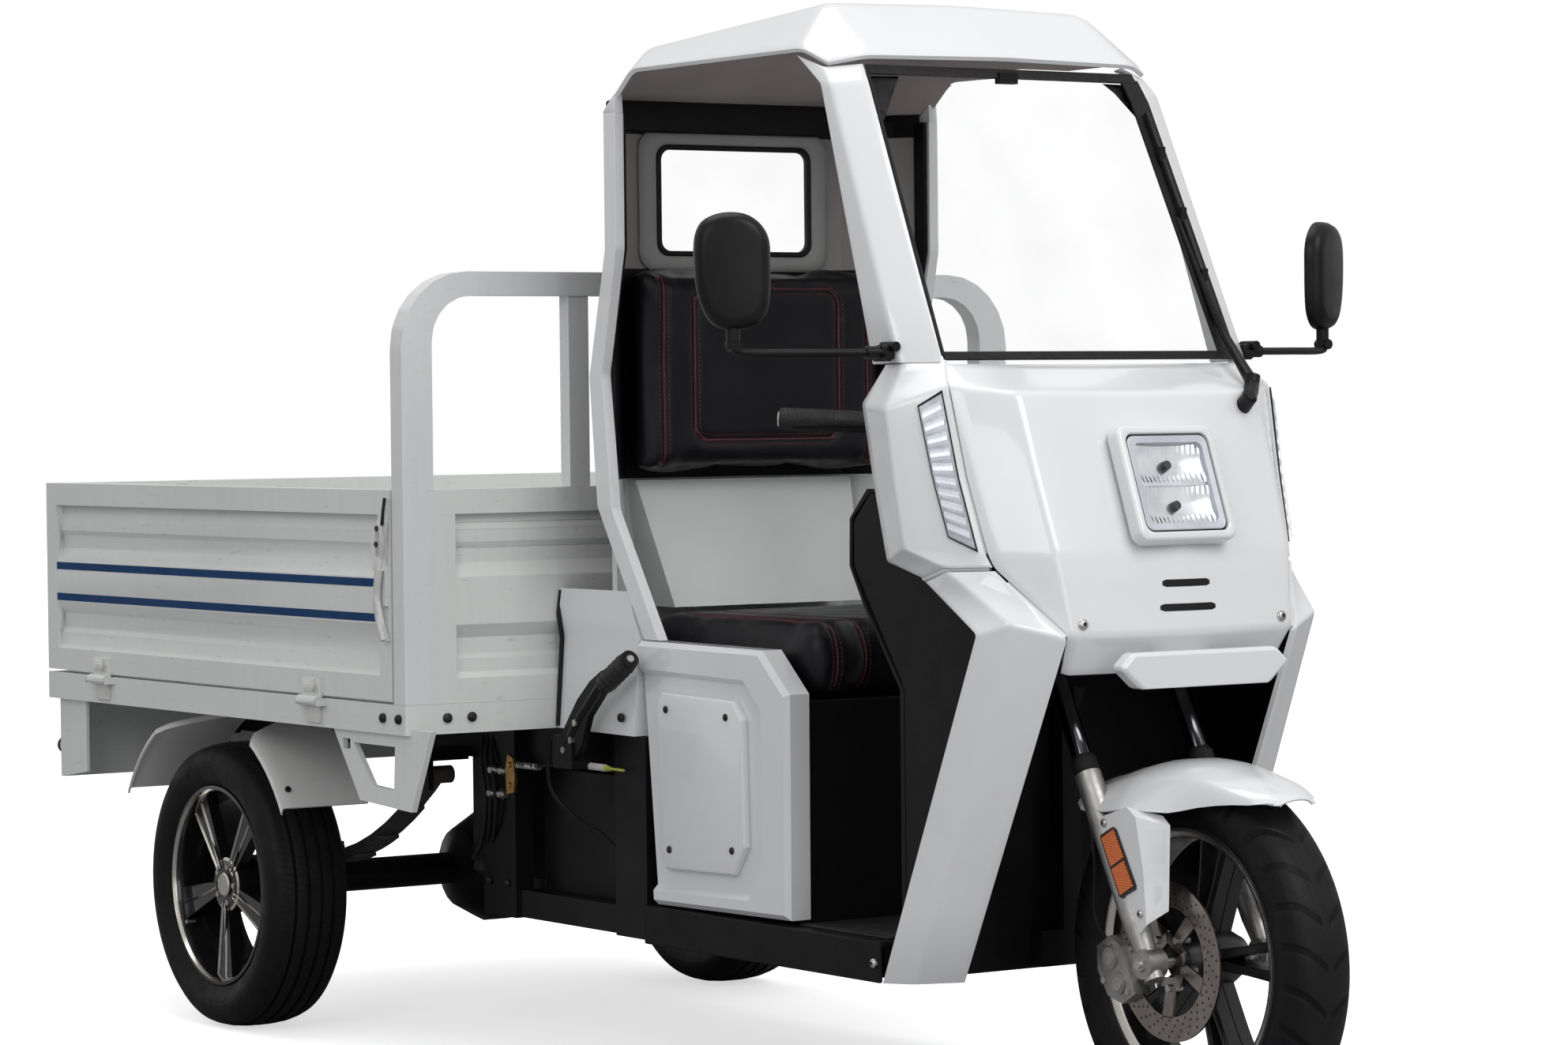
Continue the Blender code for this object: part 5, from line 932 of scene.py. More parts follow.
for side in (-1, 1):
    frame_face = [at_fork(side * (COVER_OUT + 0.003), u, b) for u, b in (
        (.1050, -.0100), (.1030, -.0480), (.1080, -.0510), (.2020, -.0480), (.2085, -.0430), (.2095, -.0100),
        (.2050, -.0070), (.1090, -.0070))]
    prism(covers, frame_face, (side * 0.0034, 0.0, 0.0), 1)
    for low, high in ((.1090, .1520), (.1565, .2040)):
        lens_face = [at_fork(side * (COVER_OUT + 0.0062), u, b) for u, b in (
            (low, -.0120), (low, -.0460), (high, -.0440), (high, -.0115))]
        prism(covers, lens_face, (side * 0.0020, 0.0, 0.0), 2)
add_shape(bm, covers)
piece("front_fender_moulding", bm, [body_white, reflector_frame, reflector_orange], "steering", "front_fender",
      32.0)
bolts("fender_bolts", [(at_fork(side * (COVER_OUT + 0.0030), u, b), (side, 0, 0)) for side in (-1, 1)
                       for u, b in ((.2230, -.0250), (.0660, -.0400))], 0.0062, 0.003, zinc, socket_shade, "steering")

# Cargo bed: a welded sheet-steel base and three drop boards, pressed with ribs and painted cream,
# with two navy stripes. The hoop and the front board are welded to the base.
BED_FRONT_Y, BED_REAR_Y, BED_HALF = 0.10725, 1.50725, 0.636


def drawn_out(tree, x, y, z):
    """The place on the object, scaled on its own along each axis."""
    return put(tree, "ShaderNodeVectorMath", place_on(tree), (x, y, z), operation="MULTIPLY").outputs[0]


def board_paint(name, colour, shade, scratch):
    """Sheet-steel enamel: slight orange peel, streaks of dust running down and small dark scratches."""
    mat = finish(name, colour, shade, 0.30, 0.42, 2.4, 320.0, 0.10, 0.0004)
    tree = mat.node_tree
    tint(tree, spread(tree, cloud(tree, drawn_out(tree, 30.0, 30.0, 2.5), 1.6, 4.0), 0.45, 0.75, 0.0, 0.16),
         tuple(0.80 * c for c in shade))
    tint(tree, spread(tree, cloud(tree, drawn_out(tree, 5.0, 3.0, 26.0), 6.0, 6.0), 0.66, 0.70, 0.0, scratch),
         (0.30, 0.28, 0.25))
    return mat


cargo_cream = board_paint("cargo_cream", (0.70, 0.715, 0.70), (0.665, 0.68, 0.665), 0.30)
hoop_white = board_paint("hoop_white", (0.70, 0.705, 0.71), (0.665, 0.67, 0.68), 0.20)
stripe_blue = finish("stripe_blue", (0.0008, 0.034, 0.120), (0.0012, 0.040, 0.140), 0.45, 0.6, 6.0, 300.0, 0.06,
                     Specular_IOR_Level=0.15)
hinge_white = finish("hinge_white", (0.64, 0.64, 0.625), (0.56, 0.56, 0.545), 0.28, 0.42, 30.0, 300.0, 0.1)
buffer_rubber = finish("buffer_rubber", (0.0055, 0.0055, 0.0060), (0.010, 0.010, 0.010), 0.45, 0.65, 20.0, 600.0,
                       0.25)

eased_node("cargo_floor", cargo_cream, 0.002, 0.0022)
eased_node("front_board", cargo_cream, 0.003, 0.002)
eased_node("headboard_hoop", hoop_white, 0.005, 0.004, segments=3, faint=5.0)
for node in ("side_board_right", "side_board_left", "tailgate"):
    eased_node(node, cargo_cream, 0.004, 0.002, node, segments=3)


def skin_of(mesh):
    """A mesh's surface, for rays."""
    return BVHTree.FromPolygons([v.co for v in mesh.vertices], [p.vertices for p in mesh.polygons])


def outer_face(node, y, z, side):
    """How far out a CAD node's surface lies at y and z."""
    return skin_of(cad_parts[node].data).ray_cast(Vector((side * 2.0, y, z)), Vector((-side, 0.0, 0.0)))[0].x


STRIPE_FRONT_Y, STRIPE_REAR_Y, STRIPE_HALF = 0.1560, 1.5040, 0.0070
for side, word in SIDES:
    body = "side_board_" + word
    bm = bmesh.new()
    for z in (0.8385, 0.7790):
        low, high = ((outer_face(body, (STRIPE_FRONT_Y + STRIPE_REAR_Y) / 2.0, edge_z, side) + side * 0.0004, edge_z)
                     for edge_z in (z - STRIPE_HALF, z + STRIPE_HALF))
        quad = [Vector((x, y, edge_z)) for (x, edge_z), y in (
            (low, STRIPE_FRONT_Y), (low, STRIPE_REAR_Y), (high, STRIPE_REAR_Y), (high, STRIPE_FRONT_Y))]
        prism(bm, quad, (-side * 0.0008, 0.0, 0.0))
    piece("stripes_" + word, bm, stripe_blue, body)

rail_bolts = []
for side in (-1, 1):
    for y in (0.128, 0.182):
        rail_bolts.append(((side * BED_HALF, y, 0.609), (side, 0, 0)))
    for x in (0.555, 0.507):
        rail_bolts.append(((side * x, BED_FRONT_Y, 0.609), (0, -1, 0)))
    for x in (0.2, 0.45):
        rail_bolts.append(((side * x, BED_REAR_Y, 0.604), (0, 1, 0)))
bolts("rail_buttons", rail_bolts, 0.0085, 0.004, bolt_black, socket_shade)

HINGE_YS = (1.26225, 0.42725)
for side, word in SIDES:
    body = "side_board_" + word
    bm = bmesh.new()
    for y in HINGE_YS:
        face = outer_face(body, y, 0.650, side)
        plate = [Vector((face + side * 0.0004, y + dy, z)) for dy, z in
                 ((-0.024, 0.643), (0.024, 0.643), (0.022, 0.656), (-0.022, 0.656))]
        prism(bm, plate, (side * 0.0022, 0.0, 0.0))
        pipe(bm, smooth_path([(face + side * 0.0040, y - 0.010, 0.646), (face + side * 0.0056, y - 0.020, 0.652),
                              (face + side * 0.0056, y - 0.022, 0.668)], 4), 0.0022, 8)
    ease(bm, 0.0, 0.0006, 8.0, 60.0)
    piece("hinge_straps_" + word, bm, hinge_white, body)
    bm = bmesh.new()
    x0, x1 = sorted((side * 0.6365, side * 0.6420))
    for y in HINGE_YS:
        for k in range(3):
            y0 = y - 0.034 + 0.0235 * k
            bar(bm, (side * 0.6470, y0, 0.628), (side * 0.6470, y0 + 0.021, 0.628), 0.0085, 18)
        block(bm, (x0, y - 0.026, 0.590), (x1, y + 0.026, 0.626))
    piece("hinge_knuckles_" + word, bm, hinge_white, "chassis")

latch_white = finish("latch_white", (0.58, 0.58, 0.57), (0.48, 0.48, 0.47), 0.26, 0.40, 40.0, 400.0, 0.1)
for side, word in SIDES:
    bm = bmesh.new()
    for outline, x0, x1 in (
            (((.160, .868), (.184, .872), (.188, .930), (.182, .952), (.164, .956), (.157, .935)), .6370, .6410),
            (((.161, .880), (.176, .884), (.180, .915), (.172, .945), (.163, .940), (.158, .910)), .6408, .6520)):
        prism(bm, [Vector((side * x0, y, z)) for y, z in outline], (side * (x1 - x0), 0.0, 0.0))
    ease(bm, 0.0, 0.0014, 8.0, 50.0)
    handle = smooth_path([(side * .6470, .168, .884), (side * .6500, .170, .850), (side * .6500, .176, .812),
                          (side * .6490, .170, .776), (side * .6480, .158, .742)], 6)
    pipe(bm, handle, [0.0068, 0.0070, 0.0072, 0.0072, 0.0070, 0.0070, 0.0068, 0.0068, 0.0066, 0.0066] * 2
         + [0.0064] * (len(handle) - 20), 12, 0)
    for y, z in ((.171, .905), (.168, .932)):
        bar(bm, (side * .6515, y, z), (side * .6548, y, z), 0.0048, 12, 1)
    pipe(bm, [(side * .6460, .162, .938), (side * .6465, .157, .962), (side * .6440, .1550, .984)], 0.0030, 8, 1)
    piece("latch_" + word, bm, [latch_white, bolt_black], "side_board_" + word)

# Rear skirt with its lamp seats and rubber ball stops, and the two tail lamps: black boxes with a
# red, an amber and a clear panel.


def ribbed(mat, pitch, strength):
    """Fine ribs across the vehicle on a material; pitch is radians a metre."""
    tree = mat.node_tree
    across = put(tree, "ShaderNodeSeparateXYZ", place_on(tree)).outputs["X"]
    emboss(tree, calc(tree, "SINE", calc(tree, "MULTIPLY", across, pitch)), Strength=strength)


lamp_colours = []
for label, colour, shade in (("lamp_red", (0.52, 0.012, 0.010), (0.36, 0.006, 0.006)),
                             ("lamp_amber", (0.85, 0.22, 0.012), (0.65, 0.12, 0.008)),
                             ("lamp_clear", (0.62, 0.63, 0.64), (0.45, 0.46, 0.47))):
    mat = finish(label, colour, shade, 0.08, 0.14, 30.0, 900.0, 0.05, Coat_Weight=0.6, Coat_Roughness=0.04)
    ribbed(mat, 1100.0, 0.5)
    lamp_colours.append(mat)
lamp_case = finish("lamp_case", (0.014, 0.014, 0.015), (0.022, 0.022, 0.022), 0.35, 0.5, 30.0, 700.0, 0.15)
eased_node("rear_bumper", cargo_cream, 0.002, 0.002)
BALL_X, BALL_Z = 0.600, 0.488
for side, word in SIDES:
    bm = bmesh.new()
    x0, x1 = sorted((side * 0.365, side * 0.535))
    block(bm, (x0, 1.5075, 0.474), (x1, 1.5160, 0.541), 0)
    ease(bm, 0.0, 0.002, 8.0, 60.0)
    span = x1 - x0 - 0.008
    for a, b, mat in ((0.0, 0.40, 1), (0.40, 0.72, 2), (0.72, 1.0, 3)):
        if side > 0:
            a, b = 1.0 - b, 1.0 - a
        block(bm, (x0 + 0.004 + a * span, 1.5155, 0.478), (x0 + 0.004 + b * span - 0.001, 1.5195, 0.537), mat)
    piece("tail_lamp_" + word, bm, [lamp_case] + lamp_colours)
    bm = bmesh.new()
    bmesh.ops.create_uvsphere(bm, u_segments=28, v_segments=16, radius=0.0170,
                              matrix=Matrix.Translation((side * BALL_X, 1.5101, BALL_Z)))
    bar(bm, (side * BALL_X, 1.488, BALL_Z), (side * BALL_X, 1.500, BALL_Z), 0.013, 20)
    piece("ball_stop_" + word, bm, buffer_rubber)

# Mudguards: plastic arches over the rear wheels, screwed to the bed.
GUARD_TOP_Z = 0.577
guard_white = board_paint("mudguard_white", (0.68, 0.68, 0.67), (0.64, 0.64, 0.63), 0.10)
for side, word in SIDES:
    bm = bmesh.new()
    sheet_rows = []
    for degrees in range(-62, 63, 4):
        a = math.radians(degrees)
        radius = 0.322 + 0.030 * abs(math.sin(a))
        y, z = REAR_AXLE_Y + radius * math.sin(a), min(REAR_AXLE_Z + radius * math.cos(a), GUARD_TOP_Z)
        wide = min(1.0, max(0.0, (abs(degrees) - 18.0) / 16.0))
        wide = wide * wide * (3.0 - 2.0 * wide)
        outer = 0.492 + 0.115 * wide
        sheet_rows.append([bm.verts.new((side * x, y, z - drop)) for x, drop in (
            (outer + 0.007, 0.012), (outer + 0.005, 0.003), (outer, 0.0), (outer - 0.020, 0.0), (0.437, 0.0))])
    strips(bm, sheet_rows, loop=False)
    thicken_down(bm, 0.004)
    for degrees in (-56, 56):
        out = Vector((0.0, math.sin(math.radians(degrees)), math.cos(math.radians(degrees))))
        foot = Vector((side * 0.590, REAR_AXLE_Y, REAR_AXLE_Z)) + out * 0.347
        bar(bm, foot, foot + out * 0.0045, 0.0055, 10, 1)
    piece("mudguard_arch_" + word, bm, [guard_white, bolt_black], stands_for="mudguard_" + word,
          edge=35.0)

# Cab floor, leg shield and dashboard: black moulded plastic over the frame, with a chequered
# rubber mat. The key switch, a row of buttons and a round clock sit in the dashboard.


def moulded(name, colour, shade, smooth=0.42, dull=0.56, grain=620.0, bump=0.30):
    """Black moulded plastic with a fine leather grain and a little dust on what faces up."""
    mat = finish(name, colour, shade, smooth, dull, 5.0, grain, bump, 0.0004, Specular_IOR_Level=0.18)
    tree = mat.node_tree
    emboss(tree, calc(tree, "ADD", tree.nodes["skin"].outputs["Height"],
                      calc(tree, "MULTIPLY", pebbles(tree, grain), 0.6)))
    facing = put(tree, "ShaderNodeSeparateXYZ", put(tree, "ShaderNodeNewGeometry").outputs["Normal"]).outputs["Z"]
    tint(tree, calc(tree, "MULTIPLY", spread(tree, facing, 0.4, 1.0),
                    spread(tree, cloud(tree, place_on(tree), 14.0, 4.0), 0.35, 0.75, 0.0, 0.05)), (0.22, 0.20, 0.18))
    return mat


trim_black = moulded("trim_black", (0.0046, 0.0040, 0.0052), (0.0068, 0.0060, 0.0074))
for node in ("cab_floor", "leg_shield", "dashboard"):
    eased_node(node, trim_black, 0.004, 0.003)
mat_rubber = finish("mat_rubber", (0.0070, 0.0070, 0.0080), (0.0105, 0.0105, 0.0115), 0.5, 0.7, 10.0, 600.0, 0.2)
tree = mat_rubber.node_tree
turned = put(tree, "ShaderNodeVectorRotate", place_on(tree), named=(("Angle", math.radians(45.0)),),
             rotation_type="Z_AXIS").outputs[0]
chequer = put(tree, "ShaderNodeTexChecker", turned, named=(("Scale", 62.0),))
emboss(tree, chequer.outputs["Fac"], Strength=0.6, Distance=0.0012)
CAB_Y = FRONT_AXLE_Y
bm = bmesh.new()
block(bm, (-0.318, CAB_Y + 0.395, 0.3002), (0.318, CAB_Y + 0.640, 0.3042))
ease(bm, 0.0, 0.0015, 8.0, 60.0)
piece("floor_mat", bm, mat_rubber)
bolts("sill_bolts", [((side * 0.345, CAB_Y + 0.3945, 0.266), (side, 0, 0)) for side in (-1, 1)], 0.0075, 0.004,
      zinc, socket_shade)

gauge_glass = finish("gauge_glass", (0.012, 0.018, 0.022), (0.02, 0.028, 0.034), 0.04, 0.10, 8.0, 700.0, 0.02,
                     Coat_Weight=1.0, Coat_Roughness=0.03)
dash_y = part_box("dashboard")[1][1]


def clock_outline(half_x, half_z, y, z):
    """The clock's oval, flatter below its middle."""
    turns = np.linspace(0.0, 2.0 * math.pi, 40, endpoint=False)
    return [Vector((half_x * math.cos(a), y, z + half_z * math.sin(a) * (1.0 if math.sin(a) > 0 else 0.75)))
            for a in turns]


bm = bmesh.new()
prism(bm, clock_outline(0.082, 0.045, dash_y + 0.0002, 1.118), (0.0, 0.007, 0.0), 0)
ease(bm, 0.0, 0.0015, 8.0, 60.0)
prism(bm, clock_outline(0.072, 0.036, dash_y + 0.0070, 1.119), (0.0, 0.0006, 0.0), 1)
bar(bm, (0.150, dash_y, 1.098), (0.150, dash_y + 0.010, 1.098), 0.0160, 28, 0)
bar(bm, (0.150, dash_y + 0.010, 1.098), (0.150, dash_y + 0.013, 1.098), 0.0115, 28, 2)
block(bm, (0.1488, dash_y + 0.013, 1.092), (0.1512, dash_y + 0.0135, 1.104), 0)
for k in range(4):
    x = -0.200 + 0.028 * k
    block(bm, (x - 0.0105, dash_y, 1.090), (x + 0.0105, dash_y + 0.006, 1.124), 0)
    block(bm, (x - 0.0080, dash_y + 0.006, 1.094), (x + 0.0080, dash_y + 0.0085, 1.120), 0)
piece("dashboard_controls", bm, [trim_black, gauge_glass, zinc])

# Handlebar: black tube with a stem clamp, rubber grips with silver ends, switch blocks and a
# brake lever with its cable.
piece("handlebar_tube", ease(cad_copy("handlebar"), 0.002, 0.002, 30.0), powder_black, "steering", "handlebar",
      even=True)
grip_rubber = finish("grip_rubber", (0.0070, 0.0070, 0.0080), (0.011, 0.011, 0.012), 0.5, 0.68, 12.0, 600.0, 0.2)
ribbed(grip_rubber, 1250.0, 0.7)
for side, word in SIDES:
    inner = Vector((side * 0.190, CAB_Y + 0.572, 1.104))
    outer = Vector((side * 0.318, CAB_Y + 0.682, 1.113))
    along = (outer - inner).normalized()
    bm = bmesh.new()
    pipe(bm, [inner, inner + along * 0.002, outer - along * 0.006, outer - along * 0.002],
         [0.0170, 0.0178, 0.0178, 0.0165], 24, 0)
    pipe(bm, [outer - along * 0.002, outer, outer + along * 0.003], [0.0120, 0.0150, 0.0120], 24, 1)
    pipe(bm, [inner - along * 0.040, inner - along * 0.036, inner - along * 0.006, inner - along * 0.003],
         [0.016, 0.021, 0.021, 0.017], 18, 2)
    if side < 0:
        lever = smooth_path([inner - along * 0.030 + Vector((0.0, -0.018, 0.0)),
                             inner - along * 0.004 + Vector((-0.004, -0.050, -0.004)),
                             inner + along * 0.070 + Vector((-0.006, -0.058, -0.006)),
                             inner + along * 0.130 + Vector((-0.004, -0.050, -0.008))], 6)
        pipe(bm, lever, [0.0065] * (len(lever) - 3) + [0.006, 0.0072, 0.0060], 12, 2)
    piece("grip_" + word, bm, [grip_rubber, zinc, trim_black], "steering")

# Seat box with its side covers: a black box carries the seat; glossy white covers with a dished
# panel and a screwed hatch close its sides.
eased_node("seat_box", trim_black, 0.003, 0.003)
cover_bolts = []
for side, word in SIDES:
    bm = bmesh.new()
    outline = [(1.074, .7425), (.711, .740), (.633, .672), (.635, .310), (1.030, .304)]
    prism(bm, [Vector((side * 0.3003, CAB_Y + y, z)) for y, z in outline], (side * 0.0357, 0.0, 0.0))
    rim = outline + [(1.0335, .336), (.752, .342), (.714, .400), (.716, .640), (.760, .682), (1.0675, .688)]
    made = prism(bm, [Vector((side * 0.3358, CAB_Y + y, z)) for y, z in rim], (side * 0.0100, 0.0, 0.0))
    edges = [e for face in made for e in face.edges if all(abs(abs(v.co.x) - 0.3458) < 1e-5 for v in e.verts)]
    edges = [e for e in set(edges) if not all(v.co.y > CAB_Y + 1.02 for v in e.verts)]
    bmesh.ops.bevel(bm, geom=edges, offset=0.0085, segments=1, profile=0.5, affect="EDGES", clamp_overlap=True)
    hatch = [(1.012, .640), (.998, .660), (.785, .655), (.758, .625), (.752, .420), (.787, .372), (.990, .367),
             (1.008, .398)]
    lid = bmesh.new()
    prism(lid, [Vector((side * 0.3365, CAB_Y + y, z)) for y, z in hatch], (side * 0.0132, 0.0, 0.0))
    rim_edges = [e for e in lid.edges if all(abs(abs(v.co.x) - 0.3497) < 1e-5 for v in e.verts)]
    bmesh.ops.bevel(lid, geom=rim_edges, offset=0.0055, segments=3, profile=0.5, affect="EDGES")
    add_shape(bm, lid)
    piece("seat_side_cover_shell_" + word, bm, body_white, stands_for="seat_side_cover_" + word,
          edge=26.0)
    cover_bolts += [((side * 0.3497, CAB_Y + y, z), (side, 0, 0)) for y, z in (
        (.982, .632), (.802, .628), (.787, .412), (.975, .400))]
bolts("hatch_screws", cover_bolts, 0.0062, 0.0012, bolt_black, socket_shade)

# Seat cushion and backrest: foam under a black leather-cloth cover with dark red piping and
# stitched seams, on the seat box and on the rear wall.


def rounded_rect(half_x, low_z, high_z, radius, steps=8):
    """Corner-rounded rectangle as (x, z) points."""
    found = []
    for cx, cz, a0 in ((half_x - radius, high_z - radius, 0.0), (-half_x + radius, high_z - radius, 90.0),
                       (-half_x + radius, low_z + radius, 180.0), (half_x - radius, low_z + radius, 270.0)):
        for k in range(steps + 1):
            a = math.radians(a0 + 90.0 * k / steps)
            found.append((cx + radius * math.cos(a), cz + radius * math.sin(a)))
    return found


def seat_cover_cloth(name):
    """Grained leather cloth: small pebbles and soft creases."""
    mat = finish(name, (0.0046, 0.0042, 0.0062), (0.0072, 0.0066, 0.0092), 0.36, 0.50, 7.0, 480.0, 0.4, 0.0005,
                 Specular_IOR_Level=0.22)
    tree = mat.node_tree
    crease = cloud(tree, drawn_out(tree, 10.0, 26.0, 26.0), 1.0, 4.0)
    emboss(tree, calc(tree, "ADD", calc(tree, "MULTIPLY", pebbles(tree, 520.0), 0.5),
                      calc(tree, "MULTIPLY", crease, 1.6)))
    return mat


seat_leather = seat_cover_cloth("seat_leather")
piping_red = finish("piping_red", (0.085, 0.010, 0.018), (0.055, 0.008, 0.014), 0.42, 0.6, 30.0, 600.0, 0.25)
stitch_thread = finish("stitch_thread", (0.16, 0.022, 0.036), (0.11, 0.016, 0.026), 0.6, 0.8, 60.0, 1400.0, 0.4)


def spots(mesh, kind="co"):
    """A mesh's points or normals as rows of three numbers."""
    found = np.empty(len(mesh.vertices) * 3)
    mesh.vertices.foreach_get(kind, found)
    return found.reshape(-1, 3)


PRESSED_FRAMES = 20


def stuffed(name, node, dense, reach, crown):
    """A stuffed piece from a CAD node's closed shape: fine cloth blown up over the foam."""
    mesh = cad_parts[node].data.copy()
    obj = placed(name, mesh)
    bm = bmesh.new()
    bm.from_mesh(mesh)
    bmesh.ops.remove_doubles(bm, verts=bm.verts, dist=WELD)
    lows = Vector([min(v.co[k] for v in bm.verts) for k in range(3)])
    highs = Vector([max(v.co[k] for v in bm.verts) for k in range(3)])
    centre = (lows + highs) / 2.0
    for vert in bm.verts:
        for k in range(3):
            vert.co[k] = centre[k] + (vert.co[k] - centre[k]) * (1.0 - 2.0 * crown[k] / (highs[k] - lows[k]))
    bm.to_mesh(mesh)
    bm.free()
    remesh = obj.modifiers.new("even", "REMESH")
    remesh.mode, remesh.voxel_size = "VOXEL", dense
    fresh = settled(obj)
    obj.data = fresh
    start = spots(fresh)
    cloth = obj.modifiers.new("cloth", "CLOTH")
    cloth.settings.use_pressure = True
    cloth.settings.uniform_pressure_force = 4.0
    cloth.settings.effector_weights.gravity = 0.0
    cloth.settings.quality = 5
    cloth.point_cache.frame_start, cloth.point_cache.frame_end = 1, PRESSED_FRAMES
    for step in range(1, PRESSED_FRAMES + 1):
        bpy.context.scene.frame_set(step)
    moved = settled(obj)
    bpy.context.scene.frame_set(1)
    shift = spots(moved) - start
    far = np.linalg.norm(shift, axis=1, keepdims=True)
    shift *= np.minimum(1.0, reach / np.maximum(far, 1e-9))
    place = np.minimum(np.maximum(start + shift, np.array(lows)), np.array(highs))
    fresh.vertices.foreach_set("co", place.ravel())
    fresh.update()
    return obj


def press_seams(obj, seams, depth, width):
    """Presses grooves into a stuffed mesh along seam curves, each a list of points on its surface."""
    mesh = obj.data
    co, normal = spots(mesh), spots(mesh, "normal")
    nearest = np.full(len(co), 1e9)
    for seam in seams:
        points = np.array([tuple(p) for p in seam])
        for a, b in zip(points, points[1:]):
            span = b - a
            t = np.clip(((co - a) @ span) / max(span @ span, 1e-12), 0.0, 1.0)
            nearest = np.minimum(nearest, np.linalg.norm(co - (a + t[:, None] * span), axis=1))
    co -= normal * (depth * np.exp(-(nearest / width) ** 2))[:, None]
    mesh.vertices.foreach_set("co", co.ravel())
    mesh.update()


def on_skin(obj, points, core, lift=0.0):
    """Points brought straight down onto an object's surface, towards its core."""
    found = []
    skin = skin_of(obj.data)
    for p in points:
        point = Vector(p)
        inward = (core(point) - point).normalized()
        place = skin.ray_cast(point - inward * 0.08, inward)[0]
        if place is None:
            place = skin.find_nearest(point)[0]
        found.append(place - inward * lift)
    return found


def stitch_row():
    """Stitches along a curve: short straight threads at an even pitch, laid along the seam."""
    tree = bpy.data.node_groups.new("stitch_row", "GeometryNodeTree")
    for label, kind in (("Seam", "Geometry"), ("Pitch", "Float"), ("Thick", "Float"), ("Length", "Float"),
                        ("Thread", "Material")):
        tree.interface.new_socket(label, in_out="INPUT", socket_type="NodeSocket" + kind)
    tree.interface.new_socket("Stitches", in_out="OUTPUT", socket_type="NodeSocketGeometry")
    given, out = tree.nodes.new("NodeGroupInput"), tree.nodes.new("NodeGroupOutput")
    to_curve = tree.nodes.new("GeometryNodeMeshToCurve")
    tree.links.new(given.outputs["Seam"], to_curve.inputs["Mesh"])
    even = tree.nodes.new("GeometryNodeResampleCurve")
    even.mode = "LENGTH"
    tree.links.new(to_curve.outputs[0], even.inputs["Curve"])
    tree.links.new(given.outputs["Pitch"], even.inputs["Length"])
    line = tree.nodes.new("GeometryNodeCurvePrimitiveLine")
    line.mode = "DIRECTION"
    line.inputs["Direction"].default_value = (0.0, 0.0, 1.0)
    tree.links.new(given.outputs["Length"], line.inputs["Length"])
    round_one = tree.nodes.new("GeometryNodeCurvePrimitiveCircle")
    round_one.inputs["Resolution"].default_value = 6
    tree.links.new(given.outputs["Thick"], round_one.inputs["Radius"])
    thread = tree.nodes.new("GeometryNodeCurveToMesh")
    thread.inputs["Fill Caps"].default_value = True
    tree.links.new(line.outputs[0], thread.inputs["Curve"])
    tree.links.new(round_one.outputs[0], thread.inputs["Profile Curve"])
    tangent = tree.nodes.new("GeometryNodeInputTangent")
    turn = tree.nodes.new("FunctionNodeAlignRotationToVector")
    turn.axis = "Z"
    tree.links.new(tangent.outputs[0], turn.inputs["Vector"])
    put_on = tree.nodes.new("GeometryNodeInstanceOnPoints")
    tree.links.new(even.outputs[0], put_on.inputs["Points"])
    tree.links.new(thread.outputs[0], put_on.inputs["Instance"])
    tree.links.new(turn.outputs[0], put_on.inputs["Rotation"])
    real = tree.nodes.new("GeometryNodeRealizeInstances")
    tree.links.new(put_on.outputs[0], real.inputs[0])
    coat = tree.nodes.new("GeometryNodeSetMaterial")
    tree.links.new(real.outputs[0], coat.inputs["Geometry"])
    tree.links.new(given.outputs["Thread"], coat.inputs["Material"])
    tree.links.new(coat.outputs[0], out.inputs[0])
    return tree


STITCH_ROW = stitch_row()


def stitches(name, seams, pitch=0.0075, thick=0.0006, length=0.0048):
    """One piece with the stitches of several seams."""
    source = bpy.data.meshes.new(name + "_seams")
    verts, edges = [], []
    for seam in seams:
        edges += [(len(verts) + k, len(verts) + k + 1) for k in range(len(seam) - 1)]
        verts += [tuple(p) for p in seam]
    source.from_pydata(verts, edges, [])
    mesh = node_mesh(name, source, STITCH_ROW, {"Pitch": pitch, "Thick": thick, "Length": length,
                                                "Thread": stitch_thread})
    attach(placed(name, mesh), "chassis")


def upholster(name, node, dense, reach, crown, seam_lines, apart, ironing, core):
    """A stuffed piece with pressed seams, piping along them and a stitched row on each side of it."""
    obj = stuffed(name, node, dense, reach, crown)
    iron = obj.modifiers.new("iron", "SMOOTH")
    iron.factor, iron.iterations = 0.5, ironing
    obj.data = settled(obj)
    press_seams(obj, [on_skin(obj, line, core) for line in seam_lines], 0.0050, 0.009)
    obj.data.materials.clear()
    obj.data.materials.append(seat_leather)
    round_off = obj.modifiers.new("round_off", "SUBSURF")
    round_off.levels = round_off.render_levels = 1
    obj.data = settled(obj)
    obj.data.shade_smooth()
    bm = bmesh.new()
    for line in seam_lines:
        pipe(bm, smooth_path(on_skin(obj, line, core, 0.0006), 3), 0.0021, 8)
    piece(name + "_piping", bm, piping_red)
    rows = []
    for line in seam_lines:
        for shift in (-1.0, 1.0):
            beside = [Vector(p) + Vector(apart(p)) * shift for p in line]
            rows.append(on_skin(obj, beside, core, 0.0004))
    stitches(name + "_stitches", rows)
    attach(obj, "chassis")
    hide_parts(node)


